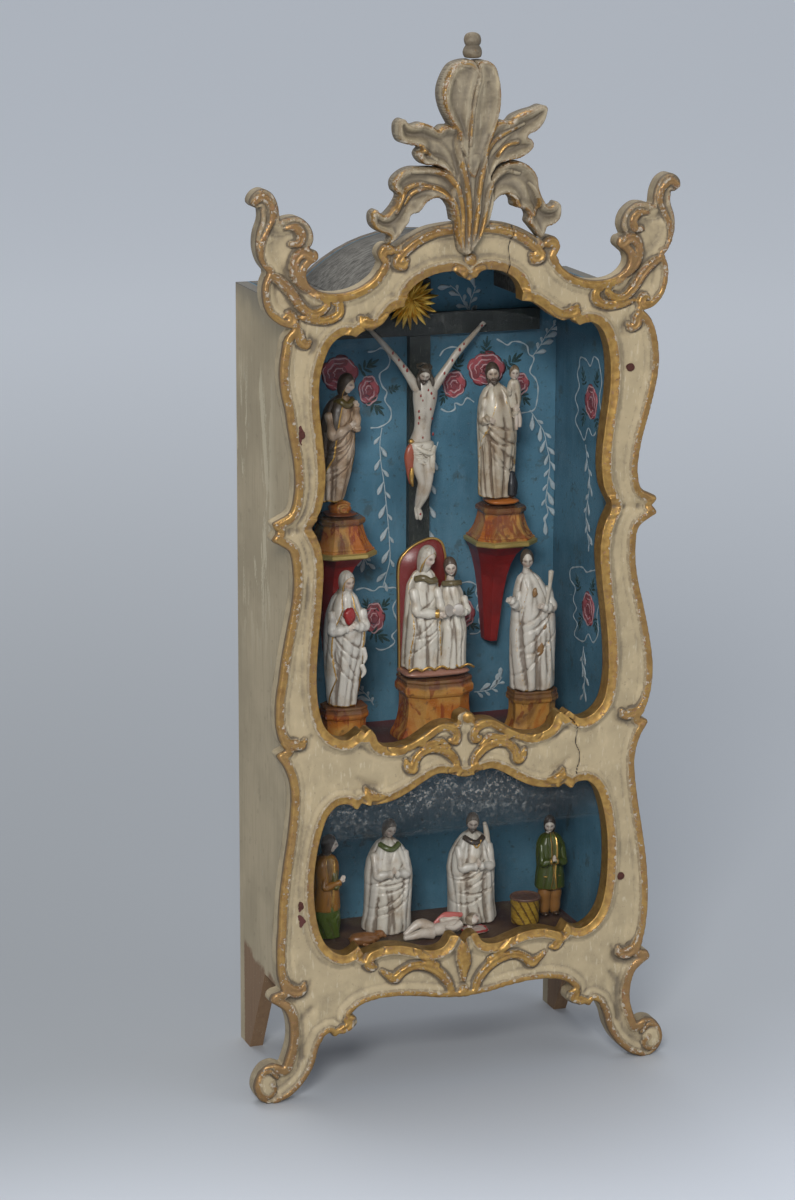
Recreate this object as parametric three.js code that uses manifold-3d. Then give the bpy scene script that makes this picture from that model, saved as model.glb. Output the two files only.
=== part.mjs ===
// A portable oratory: a glazed wooden case behind one carved and gilded face board, with two niches of
// small painted figures. Millimetres, +Z up, the front faces -Y, and the origin lies on the floor under
// the middle of the overall box.
import * as THREE from 'three';
import { mergeVertices } from 'three/addons/utils/BufferGeometryUtils.js';
import Module from 'manifold-3d';

const wasm = await Module();
wasm.setup();

// Overall height, and the shares of it at which the case, the board's waist, its rail and its feet lie
const HEIGHT = 599.8;
const CASE_TOP = Math.round(HEIGHT * 0.757);
const WAIST_Z = Math.round(HEIGHT * 0.5535);
const RAIL_Z = Math.round(HEIGHT * 0.345);
const FOOT_Z = Math.round(HEIGHT * 0.1067);

// Case
const CASE_W = 202;
const CASE_DEPTH = 98;
const SIDE_T = 8;
const BACK_T = 7;
const FLOOR_TOP = FOOT_Z + 4;
const FLOOR_T = 8;
const SHELF_TOP = RAIL_Z - 17;
const SHELF_T = 7;
const SHOULDER_T = 8;
const VAULT_RISE = 27;
const VAULT_SPAN = 127;
const VAULT_T = 7;
const JOINT_GAP = 0.3;

// Rear legs, the lower ends of the side boards
const SIDE_BOTTOM = FOOT_Z - 8;
const LEG_TOP_DEPTH = 49;
const LEG_FOOT_DEPTH = 18;

// Face board
const FACE_T = 9;
const RIM_W = 5;
const RIM_RISE = 2.6;
const RIM_MARGIN = 0.5;
const OUTLINE_STEP = 6;
const RIM_STEP = 10;
const EVEN_HALF = 30;
const NAIL_HEAD = 4.6;
const NAIL_HEAD_T = 1.2;
const NAIL_SHANK = 1.9;
const NAIL_LENGTH = 24;

// Glass panes, which stand in a rabbet behind the face board
const PANE_T = 2;
const SLOT_DEPTH = 4;
const SLOT_BITE = 3;
const PANE_SIDE_GAP = 0.5;
const PANE_JOINT_Z = 149;
const PANE_ARCH_R = 172;
const PANE_CROWN_Z = CASE_TOP - 7;
const LOWER_PANE_H = 85;

// Crest
const CREST_T = 13;
const CREST_PROUD = 8;
const CREST_SEAT_Z = CASE_TOP + 43.8;
const KNOB_H = 14;
const CREST_H = HEIGHT - CREST_SEAT_Z - KNOB_H;
const BUD_DEPTH = 10;

// Niches
const BRACKET_H = 62;
const BRACKET_DEPTH = 40;
const BRACKET_HALF_W = 17;
const BRACKET_TOP_Z = CASE_TOP - 156;
const UPPER_PEDESTAL_H = 22;
const ROUND_BOSS_H = 9;
const FLAT_BOSS_H = 5;
const LOW_PEDESTAL_H = 26;
const CENTRE_PEDESTAL_H = 37;
const CROSS_W = 12.6;
const CROSS_T = 5;
const CROSS_TOP_Z = CASE_TOP - 2;
const BEAM_Z = CASE_TOP - 28;
const BEAM_HALF = 74;
const CROSS_X = 6;
const SUNBURST_R = 19;
const SUNBURST_RAYS = 16;
const SUNBURST_T = 0.8;
const MOUND_H = 6;
const BASKET_H = 16.6;
const LAMB_H = 9;
const PILLOW_H = 3.2;

// Heights of the figures, and the length of the infant that lies down
const CORPUS_H = 117;
const UPPER_LEFT_H = 74;
const UPPER_RIGHT_H = 82;
const MIDDLE_H = 80;
const MIDDLE_RIGHT_H = 84;
const PUPIL_H = 66;
const KNEELING_LEFT_H = 62;
const MOTHER_H = 71;
const FATHER_H = 69;
const SHEPHERD_H = 61;
const INFANT_L = 52;

// Places worked out from the sizes above, with y counted from the middle of the overall depth
const side = CASE_W / 2;
const top = CASE_TOP;
const inner = side - SIDE_T;
const frontY = (CREST_PROUD - FACE_T - JOINT_GAP - CASE_DEPTH) / 2;
const caseY = frontY + FACE_T + JOINT_GAP;
const rearY = caseY + CASE_DEPTH;
const boardY = caseY + SLOT_DEPTH;
const backY = rearY - BACK_T;
const paneY = caseY + (SLOT_DEPTH - PANE_T) / 2;
const vaultR = ((VAULT_SPAN / 2) ** 2 + VAULT_RISE ** 2) / (2 * VAULT_RISE);
const vaultAxisZ = top + VAULT_RISE - vaultR;

const cream = new THREE.MeshStandardMaterial({ color: 0xb9ab8c, roughness: 0.7 });
const wood = new THREE.MeshStandardMaterial({ color: 0x8a8172, roughness: 0.85 });
const blue = new THREE.MeshStandardMaterial({ color: 0x4a7f9c, roughness: 0.8 });
const earth = new THREE.MeshStandardMaterial({ color: 0x6b4632, roughness: 0.9 });
const marbled = new THREE.MeshStandardMaterial({ color: 0xa85b2b, roughness: 0.5 });
const red = new THREE.MeshStandardMaterial({ color: 0x9a2320, roughness: 0.6 });
const stone = new THREE.MeshStandardMaterial({ color: 0xd9d2c4, roughness: 0.6 });
const green = new THREE.MeshStandardMaterial({ color: 0x5a5a20, roughness: 0.6 });
const black = new THREE.MeshStandardMaterial({ color: 0x22241f, roughness: 0.7 });
const gold = new THREE.MeshStandardMaterial({ color: 0xc79a2e, roughness: 0.4, metalness: 0.8 });
const iron = new THREE.MeshStandardMaterial({ color: 0x3a211b, roughness: 0.8, metalness: 0.4 });
const glass = new THREE.MeshStandardMaterial({ color: 0xcfd8d6, transparent: true, opacity: 0.25 });

const object = new THREE.Group();
const level = [[0, 0]];

/** Turns a closed three.js geometry into a solid that can be joined and cut. */
function solid(geometry) {
  const bare = new THREE.BufferGeometry();
  bare.setAttribute('position', geometry.attributes.position.clone());
  if (geometry.index) bare.setIndex(geometry.index.clone());
  const merged = mergeVertices(bare, 1e-4);
  const corners = merged.index.array;
  const kept = [];
  for (let i = 0; i < corners.length; i += 3) {
    const [a, b, c] = [corners[i], corners[i + 1], corners[i + 2]];
    if (a !== b && b !== c && c !== a) kept.push(a, b, c);
  }
  const mesh = new wasm.Mesh({
    numProp: 3,
    vertProperties: merged.attributes.position.array,
    triVerts: new Uint32Array(kept),
  });
  return new wasm.Manifold(mesh);
}

/** Adds a solid to the object as one named piece. */
function addPiece(name, manifold, material) {
  const result = manifold.getMesh();
  const geometry = new THREE.BufferGeometry();
  geometry.setAttribute('position', new THREE.BufferAttribute(result.vertProperties, 3));
  geometry.setIndex(new THREE.BufferAttribute(result.triVerts, 1));
  geometry.computeVertexNormals();
  const mesh = new THREE.Mesh(geometry, material);
  mesh.name = name;
  object.add(mesh);
}

/** Joins several solids into one. */
function join(solids) {
  return solids.reduce((sum, next) => sum.add(next));
}

/** A box from its least corner to its greatest. */
function block(low, high) {
  const size = high.map((value, i) => value - low[i]);
  const geometry = new THREE.BoxGeometry(...size);
  geometry.translate(...low.map((value, i) => value + size[i] / 2));
  return solid(geometry);
}

/** Points along a smooth line through the given ones, about a step apart; further numbers ride along. */
function alongSpline(points, step = OUTLINE_STEP) {
  if (points.length < 3) return points;
  const vectors = points.map((p) => new THREE.Vector3(p[0], p[1], p[2] ?? 0));
  const curve = new THREE.CatmullRomCurve3(vectors, false, 'centripetal');
  const count = Math.max(points.length - 1, Math.round(curve.getLength() / step));
  return curve.getSpacedPoints(count).map((v) => [v.x, v.y, v.z]);
}

/** The whole closed outline of smooth runs from the top middle round the right side to the bottom middle,
 * with its left half mirrored and drawn by hand: uneven gives, at heights, how far it lies further out. */
function mirroredOutline(runs, uneven = level) {
  const right = [];
  for (const run of runs) {
    for (const [x, z] of alongSpline(run)) {
      const last = right.at(-1);
      if (!last || Math.hypot(last[0] - x, last[1] - z) > 0.2) right.push([x, z]);
    }
  }
  const left = right.slice(1, -1).reverse().map(([x, z]) => onLeft(x, z, uneven));
  return [...right, ...left];
}

/** A right-hand point's place on the left side. */
function onLeft(x, z, uneven = level) {
  return [-x - shiftAt(uneven, z) * Math.min(1, Math.abs(x) / EVEN_HALF), z];
}

/** The sideways shift at a height, from a list of [height, shift] going down. */
function shiftAt(uneven, z) {
  const below = uneven.findIndex(([height]) => height <= z);
  if (below === 0) return uneven[0][1];
  if (below < 0) return uneven.at(-1)[1];
  const [[z0, shift0], [z1, shift1]] = [uneven[below - 1], uneven[below]];
  return shift0 + ((shift1 - shift0) * (z0 - z)) / (z0 - z1);
}

/** A plate in the XZ plane, from y to y + thickness, of an outline and any holes. */
function plate(outline, y, thickness, holes = []) {
  const toVectors = (points) => points.map(([x, z]) => new THREE.Vector2(x, z));
  const shape = new THREE.Shape(toVectors(outline));
  for (const hole of holes) shape.holes.push(new THREE.Path(toVectors(hole).reverse()));
  const geometry = new THREE.ExtrudeGeometry(shape, { depth: thickness, bevelEnabled: false });
  geometry.rotateX(Math.PI / 2);
  geometry.translate(0, y + thickness, 0);
  return solid(geometry);
}

/** A closed skin over rings of equally many points, with flat ends. */
function skin(rings) {
  const sides = rings[0].length;
  const middle = (ring) => {
    const sum = ring.reduce((a, p) => [a[0] + p[0], a[1] + p[1], a[2] + p[2]], [0, 0, 0]);
    return sum.map((value) => value / sides);
  };
  const points = [...rings.flat(), middle(rings[0]), middle(rings.at(-1))];
  const corners = [];
  for (let ring = 0; ring + 1 < rings.length; ring += 1) {
    for (let i = 0; i < sides; i += 1) {
      const a = ring * sides + i;
      const b = ring * sides + ((i + 1) % sides);
      corners.push(a, b, b + sides, a, b + sides, a + sides);
    }
  }
  const start = rings.length * sides;
  const end = (rings.length - 1) * sides;
  for (let i = 0; i < sides; i += 1) {
    const next = (i + 1) % sides;
    corners.push(start, next, i, start + 1, end + i, end + next);
  }
  const geometry = new THREE.BufferGeometry();
  geometry.setAttribute('position', new THREE.BufferAttribute(new Float32Array(points.flat()), 3));
  geometry.setIndex(corners);
  return solid(geometry);
}

/** A solid through level rings from the bottom up: [z, half width, half depth, x shift, y shift]. */
function loft(x, y, z, levels, sides = 12, boxy = 1) {
  const power = (value) => Math.sign(value) * Math.abs(value) ** (1 / boxy);
  return skin(levels.map(([up, halfX, halfY = halfX, dx = 0, dy = 0]) =>
    Array.from({ length: sides }, (_, i) => {
      const angle = ((i + 0.5) / sides) * 2 * Math.PI;
      return [x + dx + halfX * power(Math.cos(angle)), y + dy + halfY * power(Math.sin(angle)), z + up];
    })));
}

/** A round bar through points [x, y, z, radius]. */
function limb(points, sides = 6) {
  const spots = points.map((p) => new THREE.Vector3(p[0], p[1], p[2]));
  return skin(spots.map((spot, i) => {
    const ahead = spots[Math.min(i + 1, spots.length - 1)].clone();
    const along = ahead.sub(spots[Math.max(i - 1, 0)]).normalize();
    const reference = Math.abs(along.y) < 0.9 ? new THREE.Vector3(0, 1, 0) : new THREE.Vector3(0, 0, 1);
    const across = new THREE.Vector3().crossVectors(reference, along).normalize();
    const up = new THREE.Vector3().crossVectors(along, across);
    return Array.from({ length: sides }, (_, k) => {
      const angle = (k / sides) * 2 * Math.PI;
      const point = spot.clone();
      point.addScaledVector(across, points[i][3] * Math.cos(angle));
      point.addScaledVector(up, points[i][3] * Math.sin(angle));
      return point.toArray();
    });
  }));
}

/** A carved scroll or leaf in the XZ plane, through points [x, z, half width], at depth y. */
function scroll(points, y, rise, sides = 6, step = OUTLINE_STEP) {
  const route = alongSpline(points, step);
  return skin(route.map(([x, z, half], i) => {
    const [ax, az] = route[Math.max(i - 1, 0)];
    const [bx, bz] = route[Math.min(i + 1, route.length - 1)];
    const length = Math.hypot(bx - ax, bz - az);
    const normal = [-(bz - az) / length, (bx - ax) / length];
    return Array.from({ length: sides }, (_, k) => {
      const angle = ((k + 0.5) / sides) * 2 * Math.PI;
      const across = half * Math.cos(angle);
      return [x + normal[0] * across, y - rise * Math.sin(angle), z + normal[1] * across];
    });
  }));
}

/** A scroll and the one that answers it on the left side. */
function bothSides(points, uneven) {
  return [points, points.map(([x, z, half]) => [...onLeft(x, z, uneven), half])];
}

// The face board's outline, right half, from the crown to the apron; each run ends in a carved corner
const outerRuns = {
  crown: [[0, top + 43.5], [13, top + 43], [25, top + 41], [34, top + 37], [43, top + 31.5]],
  saddleKnob: [[43, top + 31.5], [46.5, top + 34], [51, top + 33], [53.4, top + 28.5], [51, top + 23]],
  saddle: [[51, top + 23], [55, top + 16.5], [side - 37, top + 10.5], [side - 25, top + 8],
    [side - 14, top + 10], [side - 8, top + 15.5], [side - 7.5, top + 21], [side - 11, top + 24.5]],
  shellKnob: [[side - 11, top + 24.5], [side - 14, top + 27.5], [side - 13, top + 31.5],
    [side - 9.5, top + 32.5]],
  shell: [[side - 9.5, top + 32.5], [side - 11.5, top + 38], [side - 9.5, top + 45], [side - 3, top + 50.3],
    [side + 3, top + 50.4], [side + 7.5, top + 49]],
  curl: [[side + 7.5, top + 49], [side + 8.5, top + 57], [side + 12, top + 63.5], [side + 17.5, top + 66],
    [side + 22.5, top + 63.5], [side + 24.5, top + 59], [side + 22.5, top + 56.5], [side + 18.5, top + 55.5]],
  curlBack: [[side + 18.5, top + 55.5], [side + 18.3, top + 50], [side + 20.8, top + 42],
    [side + 21.2, top + 34], [side + 18.8, top + 26], [side + 15, top + 21]],
  volute: [[side + 15, top + 21], [side + 17.6, top + 14], [side + 17.3, top + 5], [side + 14.3, top - 3],
    [side + 9, top - 8], [side + 3, top - 10]],
  upperStile: [[side + 3, top - 10], [side + 8.5, top - 16], [side + 12.5, top - 29], [side + 13, top - 44],
    [side + 9, WAIST_Z + 58], [side + 3.5, WAIST_Z + 37], [side + 1.7, WAIST_Z + 21],
    [side + 4, WAIST_Z + 10.5],
    [side + 9.5, WAIST_Z + 7], [side + 13.5, WAIST_Z + 4.8], [side + 11, WAIST_Z]],
  middleStile: [[side + 11, WAIST_Z], [side + 13.6, WAIST_Z - 4.5], [side + 9, WAIST_Z - 7.5],
    [side + 3, WAIST_Z - 12], [side + 1.2, WAIST_Z - 24], [side + 2.5, WAIST_Z - 39],
    [side + 7, WAIST_Z - 58],
    [side + 11, WAIST_Z - 76], [side + 13.4, RAIL_Z + 32], [side + 12.6, RAIL_Z + 17], [side + 9, RAIL_Z + 5],
    [side + 6, RAIL_Z + 1]],
  lowerStile: [[side + 6, RAIL_Z + 1], [side + 11, RAIL_Z - 1.5], [side + 7, RAIL_Z - 9],
    [side + 4, RAIL_Z - 18],
    [side + 3.4, RAIL_Z - 28], [side + 5.5, RAIL_Z - 46], [side + 9, RAIL_Z - 66], [side + 12, FOOT_Z + 58],
    [side + 13.4, FOOT_Z + 41], [side + 13.4, FOOT_Z + 27], [side + 11.5, FOOT_Z + 11],
    [side + 9, FOOT_Z + 3]],
  foot: [[side + 9, FOOT_Z + 3], [side + 14, FOOT_Z + 1.5], [side + 15.5, FOOT_Z - 2.5],
    [side + 11, FOOT_Z - 6],
    [side + 6.5, FOOT_Z - 10], [side + 4, FOOT_Z - 18], [side + 4, FOOT_Z - 29], [side + 8, FOOT_Z - 42]],
  footScroll: [[side + 8, FOOT_Z - 42], [side + 13, FOOT_Z - 40], [side + 19, FOOT_Z - 41.5],
    [side + 24, 16], [side + 25, 9], [side + 22, 3], [side + 17.5, 0]],
  sole: [[side + 17.5, 0], [side + 10.5, 0]],
  footInside: [[side + 10.5, 0], [side + 3, 3.5], [side - 5, 11], [side - 10.5, 20], [side - 13.5, 30],
    [side - 16.5, FOOT_Z - 27.5]],
  drop: [[side - 16.5, FOOT_Z - 27.5], [side - 20, FOOT_Z - 25.5], [side - 22.5, FOOT_Z - 28.5],
    [side - 25.5, FOOT_Z - 27]],
  dropKnob: [[side - 25.5, FOOT_Z - 27], [side - 31, FOOT_Z - 26.7], [side - 36.5, FOOT_Z - 23],
    [side - 36, FOOT_Z - 18], [side - 32.5, FOOT_Z - 16]],
  apron: [[side - 32.5, FOOT_Z - 16], [side - 38, FOOT_Z - 11.5], [side - 47, FOOT_Z - 9], [42, FOOT_Z - 8.5],
    [28, FOOT_Z - 10], [14, FOOT_Z - 12.5], [0, FOOT_Z - 13.5]],
};

// How much further out than the right half the left half of the board and of its windows was carved
const outerUneven = [[top, 0], [top - 22, -4], [top - 54, -6], [WAIST_Z + 20, -1.5], [WAIST_Z - 15, 0],
  [RAIL_Z + 40, -3], [RAIL_Z, 0], [FOOT_Z + 40, -3], [FOOT_Z, 0]];
const windowUneven = [[top + 16, 3], [top, 7], [top - 9, 2], [top - 16, 0], [top - 40, 2],
  [WAIST_Z + 20, 3.2],
  [WAIST_Z - 30, 4], [RAIL_Z + 40, 2], [RAIL_Z + 8, 0], [RAIL_Z - 40, 1], [FOOT_Z + 60, 2],
  [FOOT_Z + 24, 0.5]];

// The upper window's outline, right half, from its head to its sill
const sightX = inner - 8;
const upperWindowRuns = {
  head: [[0, top + 11.5], [3, top + 13], [6.5, top + 16.5], [14, top + 16.8], [22, top + 14.5],
    [28, top + 10],
    [30.8, top + 4], [30.8, top - 1.2]],
  lobe: [[30.8, top - 1.2], [37, top - 2], [43, top - 5.5], [49, top - 10], [55, top - 13.2],
    [61, top - 13.2],
    [65.5, top - 16.5]],
  upperSide: [[65.5, top - 16.5], [70, top - 15], [75, top - 16], [sightX - 5.5, top - 20],
    [sightX - 2.5, top - 27], [sightX - 0.5, top - 38], [sightX - 0.5, top - 54], [sightX - 3, WAIST_Z + 48],
    [sightX - 4.7, WAIST_Z + 28], [sightX - 3, WAIST_Z + 13], [sightX + 2.5, WAIST_Z + 1]],
  lowerSide: [[sightX + 2.5, WAIST_Z + 1], [sightX - 2.5, WAIST_Z - 10], [sightX - 4.5, WAIST_Z - 24],
    [sightX - 3, WAIST_Z - 42], [sightX - 0.5, WAIST_Z - 62], [sightX + 1.5, RAIL_Z + 43],
    [sightX + 1.5, RAIL_Z + 25],
    [sightX - 1.5, RAIL_Z + 12], [sightX - 7.5, RAIL_Z + 5.5], [70.5, RAIL_Z + 3.5], [65.5, RAIL_Z + 6.5],
    [62.5, RAIL_Z + 9]],
  notch: [[62.5, RAIL_Z + 9], [60, RAIL_Z + 6.5]],
  sill: [[60, RAIL_Z + 6.5], [57.5, RAIL_Z + 9], [54, RAIL_Z + 5], [52, RAIL_Z + 0.5], [47, RAIL_Z - 2.5],
    [40, RAIL_Z - 3]],
  ribbon: [[40, RAIL_Z - 3], [33, RAIL_Z - 1.5], [25, RAIL_Z + 3], [17, RAIL_Z + 7.5], [10, RAIL_Z + 8.5],
    [5.5, RAIL_Z + 7.5]],
  shell: [[5.5, RAIL_Z + 7.5], [4.5, RAIL_Z + 12], [0, RAIL_Z + 14]],
};

// The lower window's outline, right half
const lowerWindowRuns = {
  head: [[0, RAIL_Z - 24.5], [4, RAIL_Z - 23.5], [9, RAIL_Z - 22], [16, RAIL_Z - 21], [24, RAIL_Z - 24.5],
    [33, RAIL_Z - 30], [42, RAIL_Z - 34], [50, RAIL_Z - 35.5], [57, RAIL_Z - 35.5], [61, RAIL_Z - 34]],
  side: [[61, RAIL_Z - 34], [64, RAIL_Z - 37], [69, RAIL_Z - 34], [75, RAIL_Z - 34],
    [sightX - 4.5, RAIL_Z - 39],
    [sightX - 0.5, RAIL_Z - 49], [sightX + 2.5, RAIL_Z - 64], [sightX + 3.5, FOOT_Z + 61],
    [sightX + 2.5, FOOT_Z + 43],
    [sightX - 1, FOOT_Z + 30], [sightX - 6.5, FOOT_Z + 23], [71.5, FOOT_Z + 20], [66.5, FOOT_Z + 22],
    [63.5, FOOT_Z + 25]],
  notch: [[63.5, FOOT_Z + 25], [60.5, FOOT_Z + 19]],
  sill: [[60.5, FOOT_Z + 19], [56, FOOT_Z + 20.5], [48, FOOT_Z + 22.5], [38, FOOT_Z + 22],
    [29, FOOT_Z + 19.5],
    [20, FOOT_Z + 17], [12, FOOT_Z + 18.5], [8, FOOT_Z + 24.5]],
  tip: [[8, FOOT_Z + 24.5], [4.5, FOOT_Z + 24.5], [0, FOOT_Z + 19.5]],
};

// Scrolls carved on the face, right half, as [x, z, half width]
const faceScrolls = [
  [[8, top + 39, 2], [20, top + 38, 2.6], [31, top + 33.5, 2.6], [39, top + 27, 2.6], [41, top + 22.5, 3.8],
    [39, top + 22.5, 1]],
  [[63, top - 7, 1], [63.5, top - 8, 3.4], [60, top - 9.5, 3], [55, top - 10, 2.2]],
  [[side + 13, top + 18, 2], [side + 3, top + 12, 2.4], [side - 6, top + 1, 2.6], [side - 15, top - 2.5, 2.6],
    [side - 24, top + 3, 2.6], [side - 27, top + 5, 1]],
  [[side + 5, top - 4, 3.6], [side + 4, top - 6, 3.2], [side + 9, top - 4, 2.2], [side + 14, top + 2, 2]],
  [[side - 4, top - 17.5, 1], [side - 3, top - 17, 3.2], [side + 3, top - 14, 2.2], [side + 7, top - 20, 2]],
  [[side - 2, RAIL_Z + 4, 1], [side - 1, RAIL_Z + 4.5, 3.2], [side + 4, RAIL_Z + 4.5, 2.2],
    [side + 9, RAIL_Z + 12, 2]],
  [[side - 2, FOOT_Z + 4, 1], [side, FOOT_Z + 4, 4], [side + 5, FOOT_Z + 5, 2.6], [side + 9, FOOT_Z + 13, 2]],
  [[35, RAIL_Z - 12, 1.2], [33.5, RAIL_Z - 15, 3], [29, RAIL_Z - 9, 2.6], [20, RAIL_Z - 6, 2.6],
    [11, RAIL_Z - 8, 2.6], [6, RAIL_Z - 14, 2.4], [4, RAIL_Z - 21, 1.4]],
  [[34, RAIL_Z - 4, 2], [24, RAIL_Z - 0.5, 2.6], [14, RAIL_Z + 4, 2.8], [8, RAIL_Z + 2, 2.6],
    [7, RAIL_Z - 2.5, 3]],
  [[58, RAIL_Z - 28, 1.2], [57, RAIL_Z - 29, 3.2], [54, RAIL_Z - 31.5, 2.2]],
  [[47, FOOT_Z + 6, 1.5], [41, FOOT_Z + 4, 3.4], [33, FOOT_Z + 7, 2.6], [22, FOOT_Z + 6.5, 2.8],
    [12, FOOT_Z + 1, 2.8], [7, FOOT_Z - 8, 2.6], [8, FOOT_Z - 12, 1.6]],
  [[57, FOOT_Z + 12, 1], [57, FOOT_Z + 14, 3.2], [57.5, FOOT_Z + 18, 2.2]],
];
const centreLeaf = [[0, FOOT_Z + 19, 1.5], [0, FOOT_Z + 10, 4.2], [0, FOOT_Z + 2, 3], [0, FOOT_Z - 4, 1.6],
  [0, FOOT_Z - 9, 3.6], [0, FOOT_Z - 12, 1.2]];

/** A rim that follows a run of an outline, held in from its edge; inward is 1 or -1. */
function rim(run, inward) {
  const route = alongSpline(run, RIM_STEP);
  const offset = inward * (RIM_W / 2 + RIM_MARGIN);
  const middle = route.map(([x, z], i) => {
    const [ax, az] = route[Math.max(i - 1, 0)];
    const [bx, bz] = route[Math.min(i + 1, route.length - 1)];
    const length = Math.hypot(bx - ax, bz - az);
    return [x + (offset * (bz - az)) / length, z - (offset * (bx - ax)) / length, RIM_W / 2];
  });
  return middle;
}

function addFaceBoard() {
  const outer = mirroredOutline(Object.values(outerRuns), outerUneven);
  const upperWindow = mirroredOutline(Object.values(upperWindowRuns), windowUneven);
  const lowerWindow = mirroredOutline(Object.values(lowerWindowRuns), windowUneven);
  const carved = [
    ...['upperStile', 'middleStile', 'lowerStile', 'foot', 'footInside', 'apron', 'saddle', 'volute']
      .flatMap((name) => bothSides(rim(outerRuns[name], 1), outerUneven)),
    ...['head', 'lobe', 'upperSide', 'lowerSide', 'sill']
      .flatMap((name) => bothSides(rim(upperWindowRuns[name], -1), windowUneven)),
    ...['head', 'side', 'sill'].flatMap((name) => bothSides(rim(lowerWindowRuns[name], -1), windowUneven)),
    ...faceScrolls.flatMap((points) => bothSides(points, outerUneven)),
  ];
  const board = plate(outer, frontY, FACE_T, [upperWindow, lowerWindow]);
  const reliefs = carved.map((points) => scroll(points, frontY, RIM_RISE, 5, RIM_STEP));
  const leaf = scroll(centreLeaf, frontY, RIM_RISE);
  const nailHoles = nailPlaces().map(([x, z]) => nailShape(x, z, JOINT_GAP));
  addPiece('face_board', join([board, leaf, ...reliefs]).subtract(join(nailHoles)), cream);
}

/** Where the face board is nailed to the front edges of the side boards. */
function nailPlaces() {
  const line = side - SIDE_T / 2;
  return [[-line, top - 69], [line, top - 42], [-line, FOOT_Z + 52], [line, FOOT_Z + 49]];
}

/** A forged nail driven straight back; room makes it that much larger all round. */
function nailShape(x, z, room = 0) {
  const head = NAIL_HEAD / 2 + room;
  const shank = NAIL_SHANK / 2 + room;
  const headBack = frontY + 0.6;
  return join([
    block([x - head, headBack - NAIL_HEAD_T - 2 * room, z - head], [x + head, headBack + room, z + head]),
    block([x - shank, headBack - NAIL_HEAD_T, z - shank],
      [x + shank, frontY + NAIL_LENGTH + room, z + shank]),
  ]);
}

function addNails() {
  nailPlaces().forEach(([x, z], i) => addPiece(`face_nail_${i + 1}`, nailShape(x, z), iron));
}

/**
 * The crest: a bud over spreading leaves, on a ribbed stem that laps the face board. Its points are
 * hundredths of its height above the seat, as [x, z, half width].
 */
function addCrest() {
  const middleY = frontY + FACE_T - CREST_T / 2;
  const unit = CREST_H / 100;
  const leaves = [
    [[-3.4, 20.7, 6.8], [-10.2, 38.9, 9.1], [-19.3, 50.3, 9.7], [-33, 54.2, 7.4], [-43.2, 56.5, 5.7],
      [-47.2, 63.3, 2.3]],
    [[-5.7, 25.2, 5.7], [-17, 38.9, 8], [-28.4, 42.3, 7], [-36.4, 45.7, 2.8]],
    [[4.5, 20.7, 6.8], [10.2, 38.9, 9.1], [19.3, 50.3, 9.7], [31.8, 58.2, 8], [42, 63.3, 5.7],
      [48.3, 69.5, 1.6]],
    [[6.8, 25.2, 5.7], [19.3, 40, 7.4], [31.8, 44.5, 6.1], [39.8, 46.8, 2.8]],
    [[-5.7, 1.4, 4.5], [-10.2, 15, 6.8], [-20.5, 24.1, 7.5], [-33, 24.7, 9.7], [-43.2, 17.3, 9.1],
      [-48.9, 7, 8.5],
      [-54.5, 1.9, 7.4], [-61.4, 4.2, 5.1], [-63.6, 8.8, 2.3]],
    [[6.8, 1.4, 4.5], [11.4, 16.1, 6.8], [20.5, 25.2, 8], [31.8, 25.8, 9.7], [40.9, 17.3, 9.1],
      [46.6, 7, 8.5],
      [52.3, 1.9, 6.8], [58, 4.8, 4.5], [58.5, 9.3, 2]],
    [[-45.5, 7, 3.4], [-46.6, -1, 4], [-48.9, -7.7, 4]],
    [[43.2, 5.9, 3.4], [44.9, -2.1, 4], [46.6, -7.7, 4]],
  ];
  const place = (points) => points.map(([x, z, half]) => [x * unit, CREST_SEAT_Z + z * unit, half * unit]);
  const parts = leaves.map((points) => scroll(place(points), middleY, CREST_T / 2, 8, 6));
  const budDepth = BUD_DEPTH;
  const bud = loft(0, middleY, CREST_SEAT_Z, [[45.7, 8, 0.6], [57, 13.6, 0.8], [67.3, 17.6, 1],
    [79.8, 19.3, 1],
    [90, 17.6, 1], [97.4, 12.5, 0.8],
    [100, 6.8, 0.5]].map(([z, w, d]) => [z * unit, w * unit, d * budDepth]), 14);
  const stem = scroll(place([[0, 57, 10.2], [0, 36.6, 10.2], [-0.6, 19.5, 9.7],
    [-1.7, 2.5, 9.1]]), middleY, CREST_T / 2, 8);
  const lap = scroll(place([[-1.1, 8.2, 9.1], [-3.4, -4.3, 8], [-6.3, -13.4, 5.7], [-8.5, -19.7, 2.3]]),
    frontY - CREST_PROUD / 2 - RIM_RISE / 2, (CREST_PROUD - RIM_RISE) / 2, 8);
  const bridge = block([-8 * unit, frontY - CREST_PROUD + 1, CREST_SEAT_Z + JOINT_GAP],
    [8 * unit, middleY, CREST_SEAT_Z + 9 * unit]);
  const crownOutline = mirroredOutline([outerRuns.crown, outerRuns.saddleKnob, [[51, top + 23],
    [0, top + 23]]]);
  const board = plate(crownOutline, frontY - JOINT_GAP, FACE_T + 2 * JOINT_GAP);
  const room = plate(crownOutline.map(([x, z]) => [x, z + JOINT_GAP]), frontY - JOINT_GAP,
    FACE_T + 2 * JOINT_GAP);
  addPiece('crest', join([...parts, bud, stem, lap, bridge]).subtract(join([board, room])), cream);
  const knob = loft(1.5, middleY, CREST_SEAT_Z + CREST_H + JOINT_GAP, [[0, 4.5], [0.11, 6], [0.33, 6],
    [0.46, 4.4],
    [0.57, 5.4], [0.79, 5.4], [0.94, 3.4], [1, 1]].map(([z, w]) => [z * (KNOB_H - JOINT_GAP), w]), 12);
  addPiece('crest_knob', knob, wood);
}

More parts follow.
